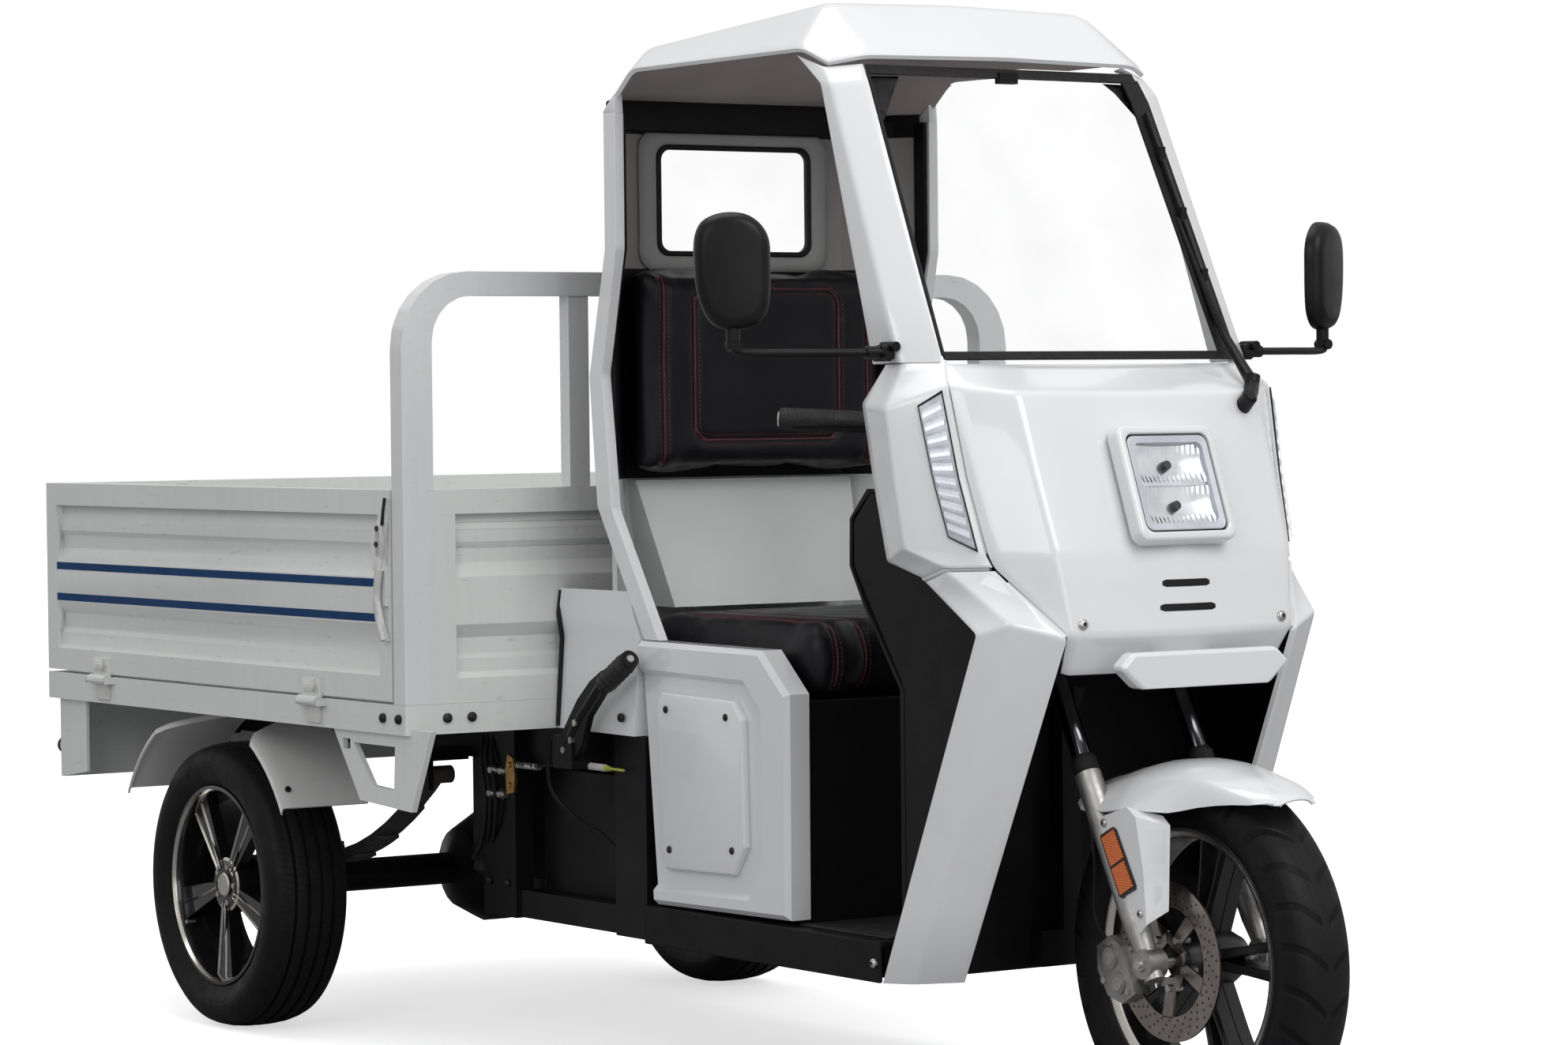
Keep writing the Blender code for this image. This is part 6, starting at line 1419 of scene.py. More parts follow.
cushion_path = ([(y, 0.800) for y in np.linspace(1.140, 0.670, 24)]
                + [(0.648, 0.792), (0.630, 0.780), (0.618, 0.762)]
                + [(0.614, z) for z in np.linspace(0.745, 0.670, 6)])
cushion_lines = [[Vector((x, CAB_Y + y, z)) for y, z in cushion_path] for x in (-0.236, -0.176, 0.176, 0.236)]
upholster("seat_cushion_cover", "seat_cushion", 0.006, 0.022, (0.006, 0.006, 0.006), cushion_lines,
          lambda p: (0.0085, 0.0, 0.0), 60, lambda p: Vector((p.x, CAB_Y + 0.90, 0.740)))
back_lines = [[Vector((x, CAB_Y + 1.160, z)) for z in np.linspace(1.022, 1.368, 30)] for x in (-0.212, 0.212)]
back_lines.append([Vector((x, CAB_Y + 1.160, z)) for x, z in rounded_rect(0.150, 1.075, 1.335, 0.030, 5)])
back_lines[-1].append(back_lines[-1][0])
upholster("seat_back_cover", "seat_backrest", 0.006, 0.014, (0.006, 0.004, 0.006), back_lines,
          lambda p: (0.0085, 0.0, 0.0) if abs(p[0]) > 0.14 else (0.0, 0.0, 0.0085), 16,
          lambda p: Vector((p.x, CAB_Y + 1.215, p.z)))

# Rear wall of the cab: a moulded liner, light round the window and dark below, on a steel sheet.
# The window is a fixed pane in a raised light frame with a black rubber seal.
wall_liner = moulded("wall_liner", (0.30, 0.285, 0.275), (0.27, 0.255, 0.245), 0.5, 0.62, 700.0, 0.3)
wall_dark = moulded("wall_dark", (0.0066, 0.0060, 0.0080), (0.0095, 0.0088, 0.0110), 0.46, 0.6, 520.0, 0.35)
lower_grey = moulded("lower_grey", (0.63, 0.64, 0.635), (0.59, 0.60, 0.595), 0.42, 0.55, 700.0, 0.2)
LINER_LOW_Z, LINER_TOP_Z = 1.372, 1.604
bm = cad_copy("cab_rear_wall")
for z in (1.010, LINER_LOW_Z, LINER_TOP_Z):
    bmesh.ops.bisect_plane(bm, geom=bm.verts[:] + bm.edges[:] + bm.faces[:], plane_co=(0.0, 0.0, z),
                           plane_no=(0.0, 0.0, 1.0))
wall = piece("cab_rear_wall_liner", ease(bm, 0.004, 0.002), wall_liner, stands_for="cab_rear_wall",
             even=True)
for mat in (wall_dark, lower_grey, powder_black):
    wall.data.materials.append(mat)
for poly in wall.data.polygons:
    z = poly.center.z
    if poly.normal.y > 0.5 or z > LINER_TOP_Z:
        poly.material_index = 3
    else:
        poly.material_index = 0 if z > LINER_LOW_Z else 1 if z > 1.000 else 2
frame_light = moulded("frame_light", (0.33, 0.33, 0.325), (0.30, 0.30, 0.295), 0.42, 0.55, 700.0, 0.2)


def window_ring(bm, outline_in, outline_out, y0, y1, crown, mat=0):
    """A raised frame between two outlines, its face bulging by crown towards the driver."""
    rows = []
    for share in (0.0, 0.12, 0.35, 0.65, 0.88, 1.0):
        rise = crown * (1.0 - abs(2.0 * share - 1.0) ** 3)
        rows.append([bm.verts.new((a[0] + (b[0] - a[0]) * share, y1 - rise, a[1] + (b[1] - a[1]) * share))
                     for a, b in zip(outline_in, outline_out)])
    rows.append([bm.verts.new((b[0], y0, b[1])) for b in outline_out])
    rows.append([bm.verts.new((a[0], y0, a[1])) for a in outline_in])
    bmesh.ops.recalc_face_normals(bm, faces=strips(bm, rows, mat, ring=True))


WALL_FACE_Y = CAB_Y + 1.295
bm = bmesh.new()
window_ring(bm, rounded_rect(0.160, 1.395, 1.586, 0.022), rounded_rect(0.196, 1.368, 1.612, 0.034),
            WALL_FACE_Y - 0.0004, WALL_FACE_Y - 0.006, 0.006, 0)
window_ring(bm, rounded_rect(0.152, 1.403, 1.578, 0.018), rounded_rect(0.1610, 1.3940, 1.5870, 0.024),
            WALL_FACE_Y - 0.0004, WALL_FACE_Y - 0.009, 0.002, 1)
piece("rear_window_frame", bm, [frame_light, seal_rubber])


def clear_glass(name, tint, rough=0.02):
    """Thin safety glass: faintly tinted, with a little dust in patches."""
    mat = bpy.data.materials.new(name)
    mat.use_nodes = True
    tree = mat.node_tree
    shader = tree.nodes["Principled BSDF"]
    place = tree.nodes.new("ShaderNodeTexCoord").outputs["Object"]
    film = spread(tree, cloud(tree, place, 7.0, 5.0), 0.40, 0.75)
    tree.links.new(between(tree, film, tint, tuple(0.94 * c for c in tint)), shader.inputs["Base Color"])
    tree.links.new(spread(tree, film, 0.0, 1.0, rough, rough + 0.03), shader.inputs["Roughness"])
    shader.inputs["Transmission Weight"].default_value = 1.0
    shader.inputs["IOR"].default_value = 1.01
    shader.inputs["Specular IOR Level"].default_value = 0.5
    return mat


clear_pane = clear_glass("clear_pane", (0.985, 0.99, 0.988))
eased_node("rear_window", clear_pane, 0.0, 0.0)
eased_node("windscreen", clear_pane, 0.0, 0.0)

# Pillars and roof: glossy white mouldings on a steel hoop; the roof is lined with warm grey
# cloth, and a black header closes it at the rear.


def rounded_line(points, cut, fill, lip, steps=4):
    """A polyline with corners rounded by cut, filled with even points, and a point lip from each end."""
    found = []
    count = len(points)
    for k in range(count - 1):
        a, b = points[k], points[k + 1]
        length = max(np.linalg.norm(b - a), 1e-6)
        share_a = 0.0 if k == 0 else min(cut / length, 0.4)
        share_b = 0.0 if k == count - 2 else min(cut / length, 0.4)
        marks = [share_a + (1.0 - share_a - share_b) * i / fill for i in range(fill + 1)]
        if k == 0:
            marks.insert(1, min(lip / length, 0.5 / fill))
        if k == count - 2:
            marks.insert(-1, 1.0 - min(lip / length, 0.5 / fill))
        run = [a + (b - a) * t for t in marks]
        if k > 0:
            start, corner, end = found[-1], a, run[0]
            for t in np.linspace(0.0, 1.0, steps + 1)[1:-1]:
                found.append(start * (1 - t) ** 2 + corner * 2 * t * (1 - t) + end * t * t)
        found += run
    return found


def shell(bm, face_rows, back_rows, mat=0, back_mat=None):
    """A closed plate between two grids of vertices."""
    faces = strips(bm, face_rows, mat, loop=False)
    faces += strips(bm, back_rows, mat if back_mat is None else back_mat, loop=False)
    m, n = len(face_rows), len(face_rows[0])
    rim = ([(0, j) for j in range(n)] + [(i, n - 1) for i in range(1, m)]
           + [(m - 1, j) for j in range(n - 2, -1, -1)] + [(i, 0) for i in range(m - 2, 0, -1)])
    faces += strips(bm, [[rows[i][j] for i, j in rim] for rows in (face_rows, back_rows)], mat)
    bmesh.ops.recalc_face_normals(bm, faces=faces)


def moulding(bm, net, thick, cut, fill=4, lip=0.0022, drop=0.0010, mat=0, back_mat=0):
    """A moulded panel over a net of points: rounded folds, eased rim, its back thick below its face."""
    net = [[np.array(p, dtype=float) for p in row] for row in net]
    rows = [rounded_line(row, cut, fill, lip) for row in net]
    columns = [rounded_line([row[k] for row in rows], cut, fill, lip) for k in range(len(rows[0]))]
    grid = np.array(columns).transpose(1, 0, 2)
    normal = np.cross(np.gradient(grid, axis=0), np.gradient(grid, axis=1))
    normal /= np.maximum(np.linalg.norm(normal, axis=2, keepdims=True), 1e-12)
    middle = grid.reshape(-1, 3).mean(axis=0)
    inside = np.array((0.0, CAB_Y + 0.60, 1.05))
    if (normal.reshape(-1, 3).mean(axis=0) @ (middle - inside)) < 0.0:
        normal = -normal
    back = grid - normal * thick
    face = grid.copy()
    edge = np.zeros(face.shape[:2], dtype=bool)
    edge[0, :] = edge[-1, :] = edge[:, 0] = edge[:, -1] = True
    face[edge] -= normal[edge] * drop
    top, low = ([[bm.verts.new(p) for p in row] for row in layer] for layer in (face, back))
    shell(bm, top, low, mat, back_mat)


def on_side(rows, side):
    """A panel's rows of (x, y, z) in cab sizes, on one side of the vehicle."""
    return [[(side * x, CAB_Y + y, z) for x, y, z in row] for row in rows]


def across(rows):
    """A net over the whole width from rows of edge (x, y, z), fold (x, y, z) and middle (y, z)."""
    return [[(side * x, CAB_Y + y, z) for side, (x, y, z) in (
        (-1, row[0:3]), (-1, row[3:6]), (1, (0.0, *row[6:8])), (1, row[3:6]), (1, row[0:3]))] for row in rows]


headliner = finish("headliner", (0.50, 0.44, 0.43), (0.45, 0.395, 0.385), 0.7, 0.85, 6.0, 900.0, 0.4)
FRONT_PILLAR = (((.293, .272, 1.1982), (.345, .315, 1.1982), (.345, .385, 1.1965)),
                ((.276, .485, 1.640), (.328, .516, 1.638), (.330, .541, 1.640)),
                ((.270, .510, 1.672), (.320, .544, 1.6674), (.328, .610, 1.690)))
for side, word in SIDES:
    eased_node("rear_pillar_" + word, body_white, 0.005, 0.002)
    bm = bmesh.new()
    prism(bm, [Vector((side * 0.3180, CAB_Y + y, z)) for y, z in ((1.144, 1.628), (1.181, 1.628), (1.181, 1.6335),
                                                                  (1.146, 1.6600))], (side * 0.0175, 0.0, 0.0))
    ease(bm, 0.0, 0.0015, 8.0, 60.0)
    piece("rear_pillar_cap_" + word, bm, body_white)
    bm = bmesh.new()
    moulding(bm, on_side(FRONT_PILLAR, side), 0.016, 0.008)
    piece("front_pillar_moulding_" + word, bm, body_white, stands_for="front_pillar_" + word,
          edge=60.0)
ROOF = ((.318, .538, 1.6745, .268, .504, 1.686, .497, 1.690), (.334, .585, 1.700, .256, .630, 1.779, .636, 1.785),
        (.334, 1.094, 1.700, .262, 1.150, 1.742, 1.190, 1.752),
        (.334, 1.178, 1.634, .244, 1.300, 1.664, 1.312, 1.668))
bm = bmesh.new()
moulding(bm, across(ROOF), 0.008, 0.020, 5, mat=0, back_mat=1)
piece("cab_roof_moulding", bm, [body_white, headliner], stands_for="cab_roof", edge=60.0)
bm = bmesh.new()
block(bm, (-0.262, CAB_Y + 1.268, 1.606), (0.262, CAB_Y + 1.292, 1.660))
ease(bm, 0.0, 0.005, 8.0, 60.0, 3)
for side in (-1, 1):
    prism(bm, [Vector((side * x, CAB_Y + y, 1.604)) for x, y in ((.3165, 1.172), (.262, 1.262), (.262, 1.276),
                                                                  (.3165, 1.184))], (0.0, 0.0, 0.040))
piece("rear_header", bm, trim_black)
bm = bmesh.new()
for side in (-1, 1):
    strip = [Vector((side * 0.3155, CAB_Y + y, z)) for y, z in ((1.150, 1.629), (1.150, 1.400), (1.204, 1.190),
             (1.183, .965), (1.050, .760), (1.078, .745), (1.213, .965), (1.234, 1.185), (1.180, 1.400),
             (1.180, 1.629))]
    prism(bm, strip, (-side * 0.006, 0.0, 0.0))
piece("pillar_trim", bm, trim_black)

# Windscreen seal and wiper: rubber along the top and bottom of the glass; the wiper arm is
# parked beside the left pillar on its pivot.
SCREEN = [(.2697, .5115, .506, 1.672), (.2757, .486, .479, 1.640), (.2927, .273, .260, 1.200)]


def on_screen(x, z, lift=0.0):
    """A point on the front of the windscreen."""
    rows = sorted(SCREEN, key=lambda r: r[3])
    low, high = (rows[0], rows[1]) if z <= rows[1][3] else (rows[1], rows[2])
    t = (z - low[3]) / (high[3] - low[3])
    half, edge, mid = (low[k] + (high[k] - low[k]) * t for k in range(3))
    share = abs(x) / half
    y = mid + (edge - mid) * share
    return Vector((x, CAB_Y + y - lift * 0.9, z + lift * 0.42))


def screen_strip(bm, reach, columns, rows):
    """A rubber strip on the glass; reach(t, s) gives x and z for shares along and across it."""
    shell(bm, *([[bm.verts.new(on_screen(*reach(i / columns, j / rows), lift)) for i in range(columns + 1)]
                 for j in range(rows + 1)] for lift in (-0.0006, 0.0034)))


def screen_half(z):
    """Half the glass's width at z."""
    return 0.2927 - (z - 1.200) / 0.440 * 0.0170 if z < 1.640 else 0.2757 - (z - 1.640) / 0.032 * 0.0060


bm = bmesh.new()
screen_strip(bm, lambda t, s: ((2 * t - 1) * 0.2890, 1.2010 + 0.0120 * s), 20, 1)
screen_strip(bm, lambda t, s: ((2 * t - 1) * 0.2660, 1.6540 + 0.0150 * s), 20, 1)
screen_strip(bm, lambda t, s: (-screen_half(1.208 + 0.450 * t) + 0.0010 + 0.0045 * s, 1.208 + 0.450 * t), 12, 1)
screen_strip(bm, lambda t, s: (screen_half(1.208 + 0.450 * t) - 0.0010 - 0.0360 * s, 1.208 + 0.450 * t), 12, 2)
piece("screen_seals", bm, seal_rubber, edge=30.0)
bm = bmesh.new()
for side in (-1, 1):
    prism(bm, [on_screen(side * x, z, -0.0070) for x, z in (
        (.268, 1.655), (.205, 1.656), (.220, 1.640), (.268, 1.575))], (0.0, 0.0025, 0.0))
block(bm, (-0.018, CAB_Y + 0.486, 1.646), (0.018, CAB_Y + 0.500, 1.664))
piece("screen_gussets", bm, trim_black)
bm = bmesh.new()
pivot = Vector((0.2023, -1.0942, 1.1282))
bar(bm, pivot + Vector((0.0, 0.004, -0.003)), pivot + Vector((-0.004, -0.020, 0.012)), 0.0135, 22, 0, 0.0120)
bar(bm, pivot + Vector((-0.004, -0.020, 0.012)), pivot + Vector((-0.005, -0.024, 0.0145)), 0.0110, 22, 0, 0.0070)
arm = smooth_path([pivot + Vector((-0.002, -0.014, 0.010)), (0.230, -1.080, 1.160), (0.246, -1.032, 1.196),
                   (0.262, -0.968, 1.250), (0.262, -0.905, 1.350), (0.258, -0.862, 1.430)], 6)
pipe(bm, arm, [0.0125 - 0.0070 * min(1.0, k / 22.0) for k in range(len(arm))], 14, 0)
bar(bm, (0.2250, -1.083, 1.1450), (0.2350, -1.077, 1.1740), 0.0120, 14, 0)
blade = [on_screen(screen_half(z) - 0.020, z, 0.0105) for z in np.linspace(1.262, 1.600, 14)]
pipe(bm, blade, 0.0042, 8, 0)
pipe(bm, [p + Vector((0.0, 0.005, -0.002)) for p in blade], 0.0026, 8, 1)
for z in (1.330, 1.430, 1.530):
    spot = on_screen(screen_half(z) - 0.020, z, 0.0125)
    bar(bm, spot + Vector((0.0, 0.0, -0.012)), spot + Vector((0.0, 0.0, 0.012)), 0.0062, 10, 0)
piece("wiper", bm, [powder_black, seal_rubber])

# Nose: glossy white moulded panels over the steering head, creased along their facets. Two black
# slots, dark strips laid on the front panel as painted shade for openings not cut, and two silver screws are in it.
NOSE = ((.292, .265, 1.196, .150, .257, 1.195, .254, 1.195), (.314, .226, 1.160, .235, .160, 1.150, .145, 1.147),
        (.306, .193, 1.020, .234, .114, 1.020, .0965, 1.020), (.296, .156, .905, .228, .075, .905, .053, .905),
        (.290, .147, .884, .224, .068, .870, .044, .870), (.221, .058, .786, .210, .053, .782, .032, .782),
        (.207, .094, .724, .196, .090, .720, .075, .720))
bm = bmesh.new()
moulding(bm, across(NOSE), 0.004, 0.009)
nose = piece("front_panel_moulding", bm, body_white, stands_for="front_panel", edge=60.0)
COWL = (((.345, .350, 1.1955), (.338, .312, 1.1975), (.295, .264, 1.1975)),
        ((.360, .394, 1.136), (.385, .298, 1.128), (.319, .2275, 1.160)),
        ((.352, .377, 1.016), (.378, .288, 1.020), (.3105, .194, 1.020)),
        ((.345, .352, .891), (.370, .273, .914), (.3005, .158, .905)),
        ((.336, .272, .868), (.338, .210, .885), (.2945, .149, .886)))
LEG = (((.3345, .266, .862), (.336, .206, .879), (.2935, .145, .880)),
       ((.331, .140, .786), (.299, .094, .802), (.2245, .054, .779)),
       ((.340, .3808, .235), (.311, .337, .235), (.236, .307, .235)))
for side, word in SIDES:
    bm = bmesh.new()
    moulding(bm, on_side(COWL, side), 0.005, 0.006)
    piece("cowl_moulding_" + word, bm, body_white, stands_for="cowl_side_" + word, edge=60.0)
    bm = bmesh.new()
    moulding(bm, on_side(LEG, side), 0.008, 0.008, 5)
    piece("leg_fairing_moulding_" + word, bm, body_white, stands_for="leg_fairing_" + word,
          edge=60.0)
bm = bmesh.new()
for side in (-1, 1):
    pipe(bm, [Vector((side * x * 0.985, CAB_Y + y + 0.009, z)) for _, _, (x, y, z) in COWL[:-1]], 0.0065, 8)
    ends = [Vector((side * x * 0.985, CAB_Y + y + 0.010, z)) for x, y, z in (LEG[0][2], LEG[1][2])]
    pipe(bm, [ends[0].lerp(ends[1], 0.2), ends[1]], 0.0065, 8)
    under = [Vector((side * (x - 0.009), CAB_Y + y + 0.010, z - 0.001)) for x, y, z in COWL[-1]]
    pipe(bm, [under[0].lerp(under[1], 0.10), under[1], under[1].lerp(under[2], 0.96)], 0.0068, 10)
piece("panel_flanges", bm, body_white)
eased_node("chin_plate", body_white, 0.003, 0.002, segments=3)
slot_shade = moulded("slot_shade", (0.008, 0.008, 0.008), (0.012, 0.012, 0.012))
NOSE_SKIN = skin_of(nose.data)


def on_nose(x, z):
    """A point on the front panel, and the way it faces."""
    return NOSE_SKIN.ray_cast(Vector((x, -3.0, z)), Vector((0.0, 1.0, 0.0)))[:2]


bolts("nose_screws", [on_nose(x, 0.799) for x in (-0.1945, 0.1945)], 0.0085, 0.0025, zinc, socket_shade)
# The slots are near-black strips on the panel's face: painted shade for openings that are not cut.
bm = bmesh.new()
for z, half in ((.857, .046), (.820, .054)):
    rows = []
    for dz, lift in ((-0.006, -0.001), (-0.0055, 0.0005), (0.0055, 0.0005), (0.006, -0.001)):
        row = []
        for x in np.linspace(-half, half, 15):
            reach = 1.0 if abs(x) < half - 0.004 else 0.55
            place, facing = on_nose(x, z + dz * reach)
            row.append(bm.verts.new(place + facing * lift))
        rows.append(row)
    strips(bm, rows, loop=False, ring=True)
    for k in (0, 14):
        bm.faces.new([row[k] for row in rows])
bmesh.ops.recalc_face_normals(bm, faces=bm.faces)
piece("nose_slots", bm, slot_shade)

# Marker lamps: a clear lens over ten silver fins on a grey back, in a dark gasket let into the
# cowl and screwed to it from behind.
lens_clear = clear_glass("lens_clear", (0.96, 0.97, 0.98), 0.01)
chrome = finish("lamp_chrome", (0.74, 0.74, 0.75), (0.60, 0.60, 0.62), 0.16, 0.26, 20.0, 700.0, 0.05, metallic=1.0)
lamp_back = finish("lamp_back", (0.40, 0.41, 0.43), (0.30, 0.31, 0.33), 0.30, 0.45, 20.0, 700.0, 0.1, metallic=0.5)
lamp_fin = finish("lamp_fin", (0.66, 0.67, 0.70), (0.54, 0.55, 0.58), 0.24, 0.36, 20.0, 700.0, 0.1, metallic=0.7)
LAMP_CORNERS = ((1.93, 1.02), (1.52, 1.10), (1.60, 2.80), (1.93, 2.97))


def on_lamp(side, a, b, lift):
    """A point on the marker lamp: a from the nose outwards and b downwards, both from 0 to 1."""
    (u0, v0), (u1, v1), (u2, v2), (u3, v3) = LAMP_CORNERS
    u = (u0 * (1 - a) + u1 * a) * (1 - b) + (u3 * (1 - a) + u2 * a) * b
    v = (v0 * (1 - a) + v1 * a) * (1 - b) + (v3 * (1 - a) + v2 * a) * b
    row, column = min(int(v), 3), min(int(u), 1)
    s, t = u - column, v - row
    corners = [Vector((side * x, CAB_Y + y, z)) for x, y, z in (
        COWL[row][column], COWL[row][column + 1], COWL[row + 1][column], COWL[row + 1][column + 1])]
    across_low, across_high = corners[1] - corners[0], corners[3] - corners[2]
    place = (corners[0] + across_low * s) * (1 - t) + (corners[2] + across_high * s) * t
    down = (corners[2] + across_high * s) - (corners[0] + across_low * s)
    facing = (across_low * (1 - t) + across_high * t).cross(down).normalized()
    if facing.x * side < 0.0:
        facing = -facing
    return place + facing * lift


def lamp_plate(bm, side, reach, low, high, mat):
    """A plate over part of the lamp; reach is (a0, a1, b0, b1)."""
    a0, a1, b0, b1 = reach
    columns, rows = 4, 10
    shell(bm, *([[bm.verts.new(on_lamp(side, a0 + (a1 - a0) * i / columns, b0 + (b1 - b0) * j / rows, lift))
                  for i in range(columns + 1)] for j in range(rows + 1)] for lift in (low, high)), mat)


for side, word in SIDES:
    bm = bmesh.new()
    lamp_plate(bm, side, (0.0, 1.0, 0.0, 1.0), 0.0003, 0.0030, 0)
    lamp_plate(bm, side, (0.045, 0.955, 0.016, 0.984), 0.0028, 0.0034, 1)
    for k in range(10):
        b = 0.045 + 0.091 * (k + 0.5)
        section = ((-0.040, 0.0034), (-0.014, 0.0062), (0.006, 0.0062), (0.026, 0.0034))
        ends = [[on_lamp(side, a, b + db, lift) for db, lift in section] for a in (0.12, 0.88)]
        prism(bm, ends[0], ends[1][0] - ends[0][0], 2)
    piece("marker_lamp_ribs_" + word, bm, [seal_rubber, lamp_back, lamp_fin], stands_for="marker_lamp_" + word,
          edge=25.0)
    bm = bmesh.new()
    lamp_plate(bm, side, (0.04, 0.96, 0.016, 0.984), 0.0072, 0.0084, 0)
    piece("marker_lamp_lens_" + word, bm, lens_clear)

# Headlight: a square reflector of facets in two halves behind a clear lens, with a silver inner
# frame, a thin black line and a broad white bezel.
lamp_frame = finish("lamp_frame", (0.60, 0.62, 0.66), (0.52, 0.54, 0.58), 0.28, 0.40, 20.0, 700.0, 0.1, metallic=0.3)
bm = cad_copy("headlight")
front = max(bm.faces, key=lambda f: f.calc_area() if f.normal.y < -0.5 else 0.0)
LAMP_N = front.normal.copy()
LAMP_C = front.calc_center_median()
bm.free()
LAMP_X = Vector((1.0, 0.0, 0.0))
LAMP_UP = LAMP_X.cross(-LAMP_N).normalized()
if LAMP_UP.z < 0.0:
    LAMP_UP = -LAMP_UP


def lamp_rect(half_x, half_z, radius, out, steps=6):
    """Rounded square square to the lamp, out along its axis."""
    found = []
    for sx, sz, a0 in ((1, 1, 0.0), (-1, 1, 90.0), (-1, -1, 180.0), (1, -1, 270.0)):
        for k in range(steps + 1):
            a = math.radians(a0 + 90.0 * k / steps)
            u = sx * (half_x - radius) + radius * math.cos(a)
            v = sz * (half_z - radius) + radius * math.sin(a)
            found.append(LAMP_C + LAMP_X * u + LAMP_UP * v + LAMP_N * out)
    return found


def lamp_rings(bm, rows, mat):
    """A closed band through rounded squares."""
    rings = [[bm.verts.new(p) for p in lamp_rect(*row)] for row in rows]
    bmesh.ops.recalc_face_normals(bm, faces=strips(bm, rings, mat, ring=True))


bm = bmesh.new()
lamp_rings(bm, ((0.095, 0.094, 0.018, -0.026), (0.095, 0.094, 0.018, -0.007), (0.0942, 0.0932, 0.0178, -0.0035),
                (0.0920, 0.0910, 0.0172, -0.0010), (0.0890, 0.0880, 0.0165, 0.0), (0.0830, 0.0820, 0.0150, 0.0),
                (0.0812, 0.0802, 0.0145, -0.0012), (0.0805, 0.0795, 0.0140, -0.0040),
                (0.0805, 0.0795, 0.0140, -0.026)), 0)
lamp_rings(bm, ((0.0803, 0.0793, 0.0140, -0.026), (0.0803, 0.0793, 0.0140, -0.0050),
                (0.0780, 0.0770, 0.0135, -0.0050), (0.0780, 0.0770, 0.0135, -0.026)), 1)
lamp_rings(bm, ((0.0778, 0.0768, 0.0133, -0.026), (0.0778, 0.0768, 0.0133, -0.0030),
                (0.0765, 0.0755, 0.0130, -0.0022), (0.0665, 0.0655, 0.0110, -0.0034),
                (0.0655, 0.0645, 0.0108, -0.026)), 2)
back_ring = [bm.verts.new(p) for p in lamp_rect(0.0940, 0.0930, 0.0178, -0.0258)]
lid = bm.faces.new(back_ring)
lid.material_index = 1
bmesh.ops.solidify(bm, geom=[lid], thickness=0.0010)
piece("headlight_bezel", bm, [body_white, seal_rubber, lamp_frame], stands_for="headlight",
      edge=30.0)
bm = bmesh.new()
columns, rows = 30, 10
half_x, half_z = 0.0668, 0.0658
for half in (-1, 1):
    centre_v = half * half_z / 2.0
    grid = []
    for j in range(rows + 1):
        row = []
        for i in range(columns + 1):
            u = -half_x + 2.0 * half_x * i / columns
            v = centre_v + (half_z / 2.0 - 0.0015) * (2.0 * j / rows - 1.0)
            bowl = 1.0 - (u / half_x) ** 2 * 0.75 - ((v - centre_v) / (half_z / 2.0)) ** 2 * 0.55
            deep = 0.0105 + 0.0125 * max(bowl, 0.0)
            wobble = 0.00045 * (1.0 if i % 2 else -1.0) * (1.0 if abs(j - rows / 2.0) > rows * 0.2 else 0.2)
            row.append(bm.verts.new(LAMP_C + LAMP_X * u + LAMP_UP * v - LAMP_N * (deep + wobble)))
        grid.append(row)
    strips(bm, grid, loop=False)
bmesh.ops.recalc_face_normals(bm, faces=bm.faces)
bmesh.ops.solidify(bm, geom=bm.faces[:], thickness=0.0008)
prism(bm, [LAMP_C + LAMP_X * u + LAMP_UP * v - LAMP_N * 0.0100 for u, v in
      ((-half_x, -0.0030), (half_x, -0.0030), (half_x, 0.0030), (-half_x, 0.0030))], -LAMP_N * 0.0040)
for half in (-1, 1):
    base = LAMP_C + LAMP_UP * (half * half_z / 2.0) - LAMP_N * 0.024
    bar(bm, base, base + LAMP_N * 0.010, 0.0085, 20, 1, 0.0070)
piece("headlight_reflector", bm, [chrome, lamp_case], edge=9.0)
bm = bmesh.new()
rings = [[bm.verts.new(p) for p in lamp_rect(0.0676 * s, 0.0666 * s, 0.0108 * s, -0.0085 + 0.0030 * (1.0 - s ** 2))]
         for s in (1.0, 0.8, 0.55, 0.3)]
strips(bm, rings)
bm.faces.new(rings[-1])
bmesh.ops.recalc_face_normals(bm, faces=bm.faces)
bmesh.ops.solidify(bm, geom=bm.faces[:], thickness=0.0010)
piece("headlight_lens", bm, lens_clear)

# Mirrors: flat glass in black moulded shells with rounded backs, on thin rods clamped to the
# front pillars.
mirror_black = moulded("mirror_black", (0.0062, 0.0062, 0.0064), (0.0090, 0.0090, 0.0092), 0.30, 0.42, 800.0, 0.15)
mirror_glass = finish("mirror_glass", (0.72, 0.73, 0.74), (0.68, 0.69, 0.70), 0.02, 0.05, 4.0, 700.0, 0.01,
                      metallic=1.0)
MIRROR_OUTLINE = ((-1.0, .30), (-.96, .60), (-.78, .84), (-.40, .97), (.05, 1.0), (.46, .94), (.80, .76),
                  (.98, .50), (1.0, .10), (.99, -.36), (.90, -.70), (.62, -.92), (.20, -1.0), (-.26, -.99),
                  (-.62, -.84), (-.86, -.50), (-.97, -.10), (-1.0, .30))
MIRROR_HALF_X, MIRROR_HALF_Z, MIRROR_X = 0.0590, 0.0895, 0.588
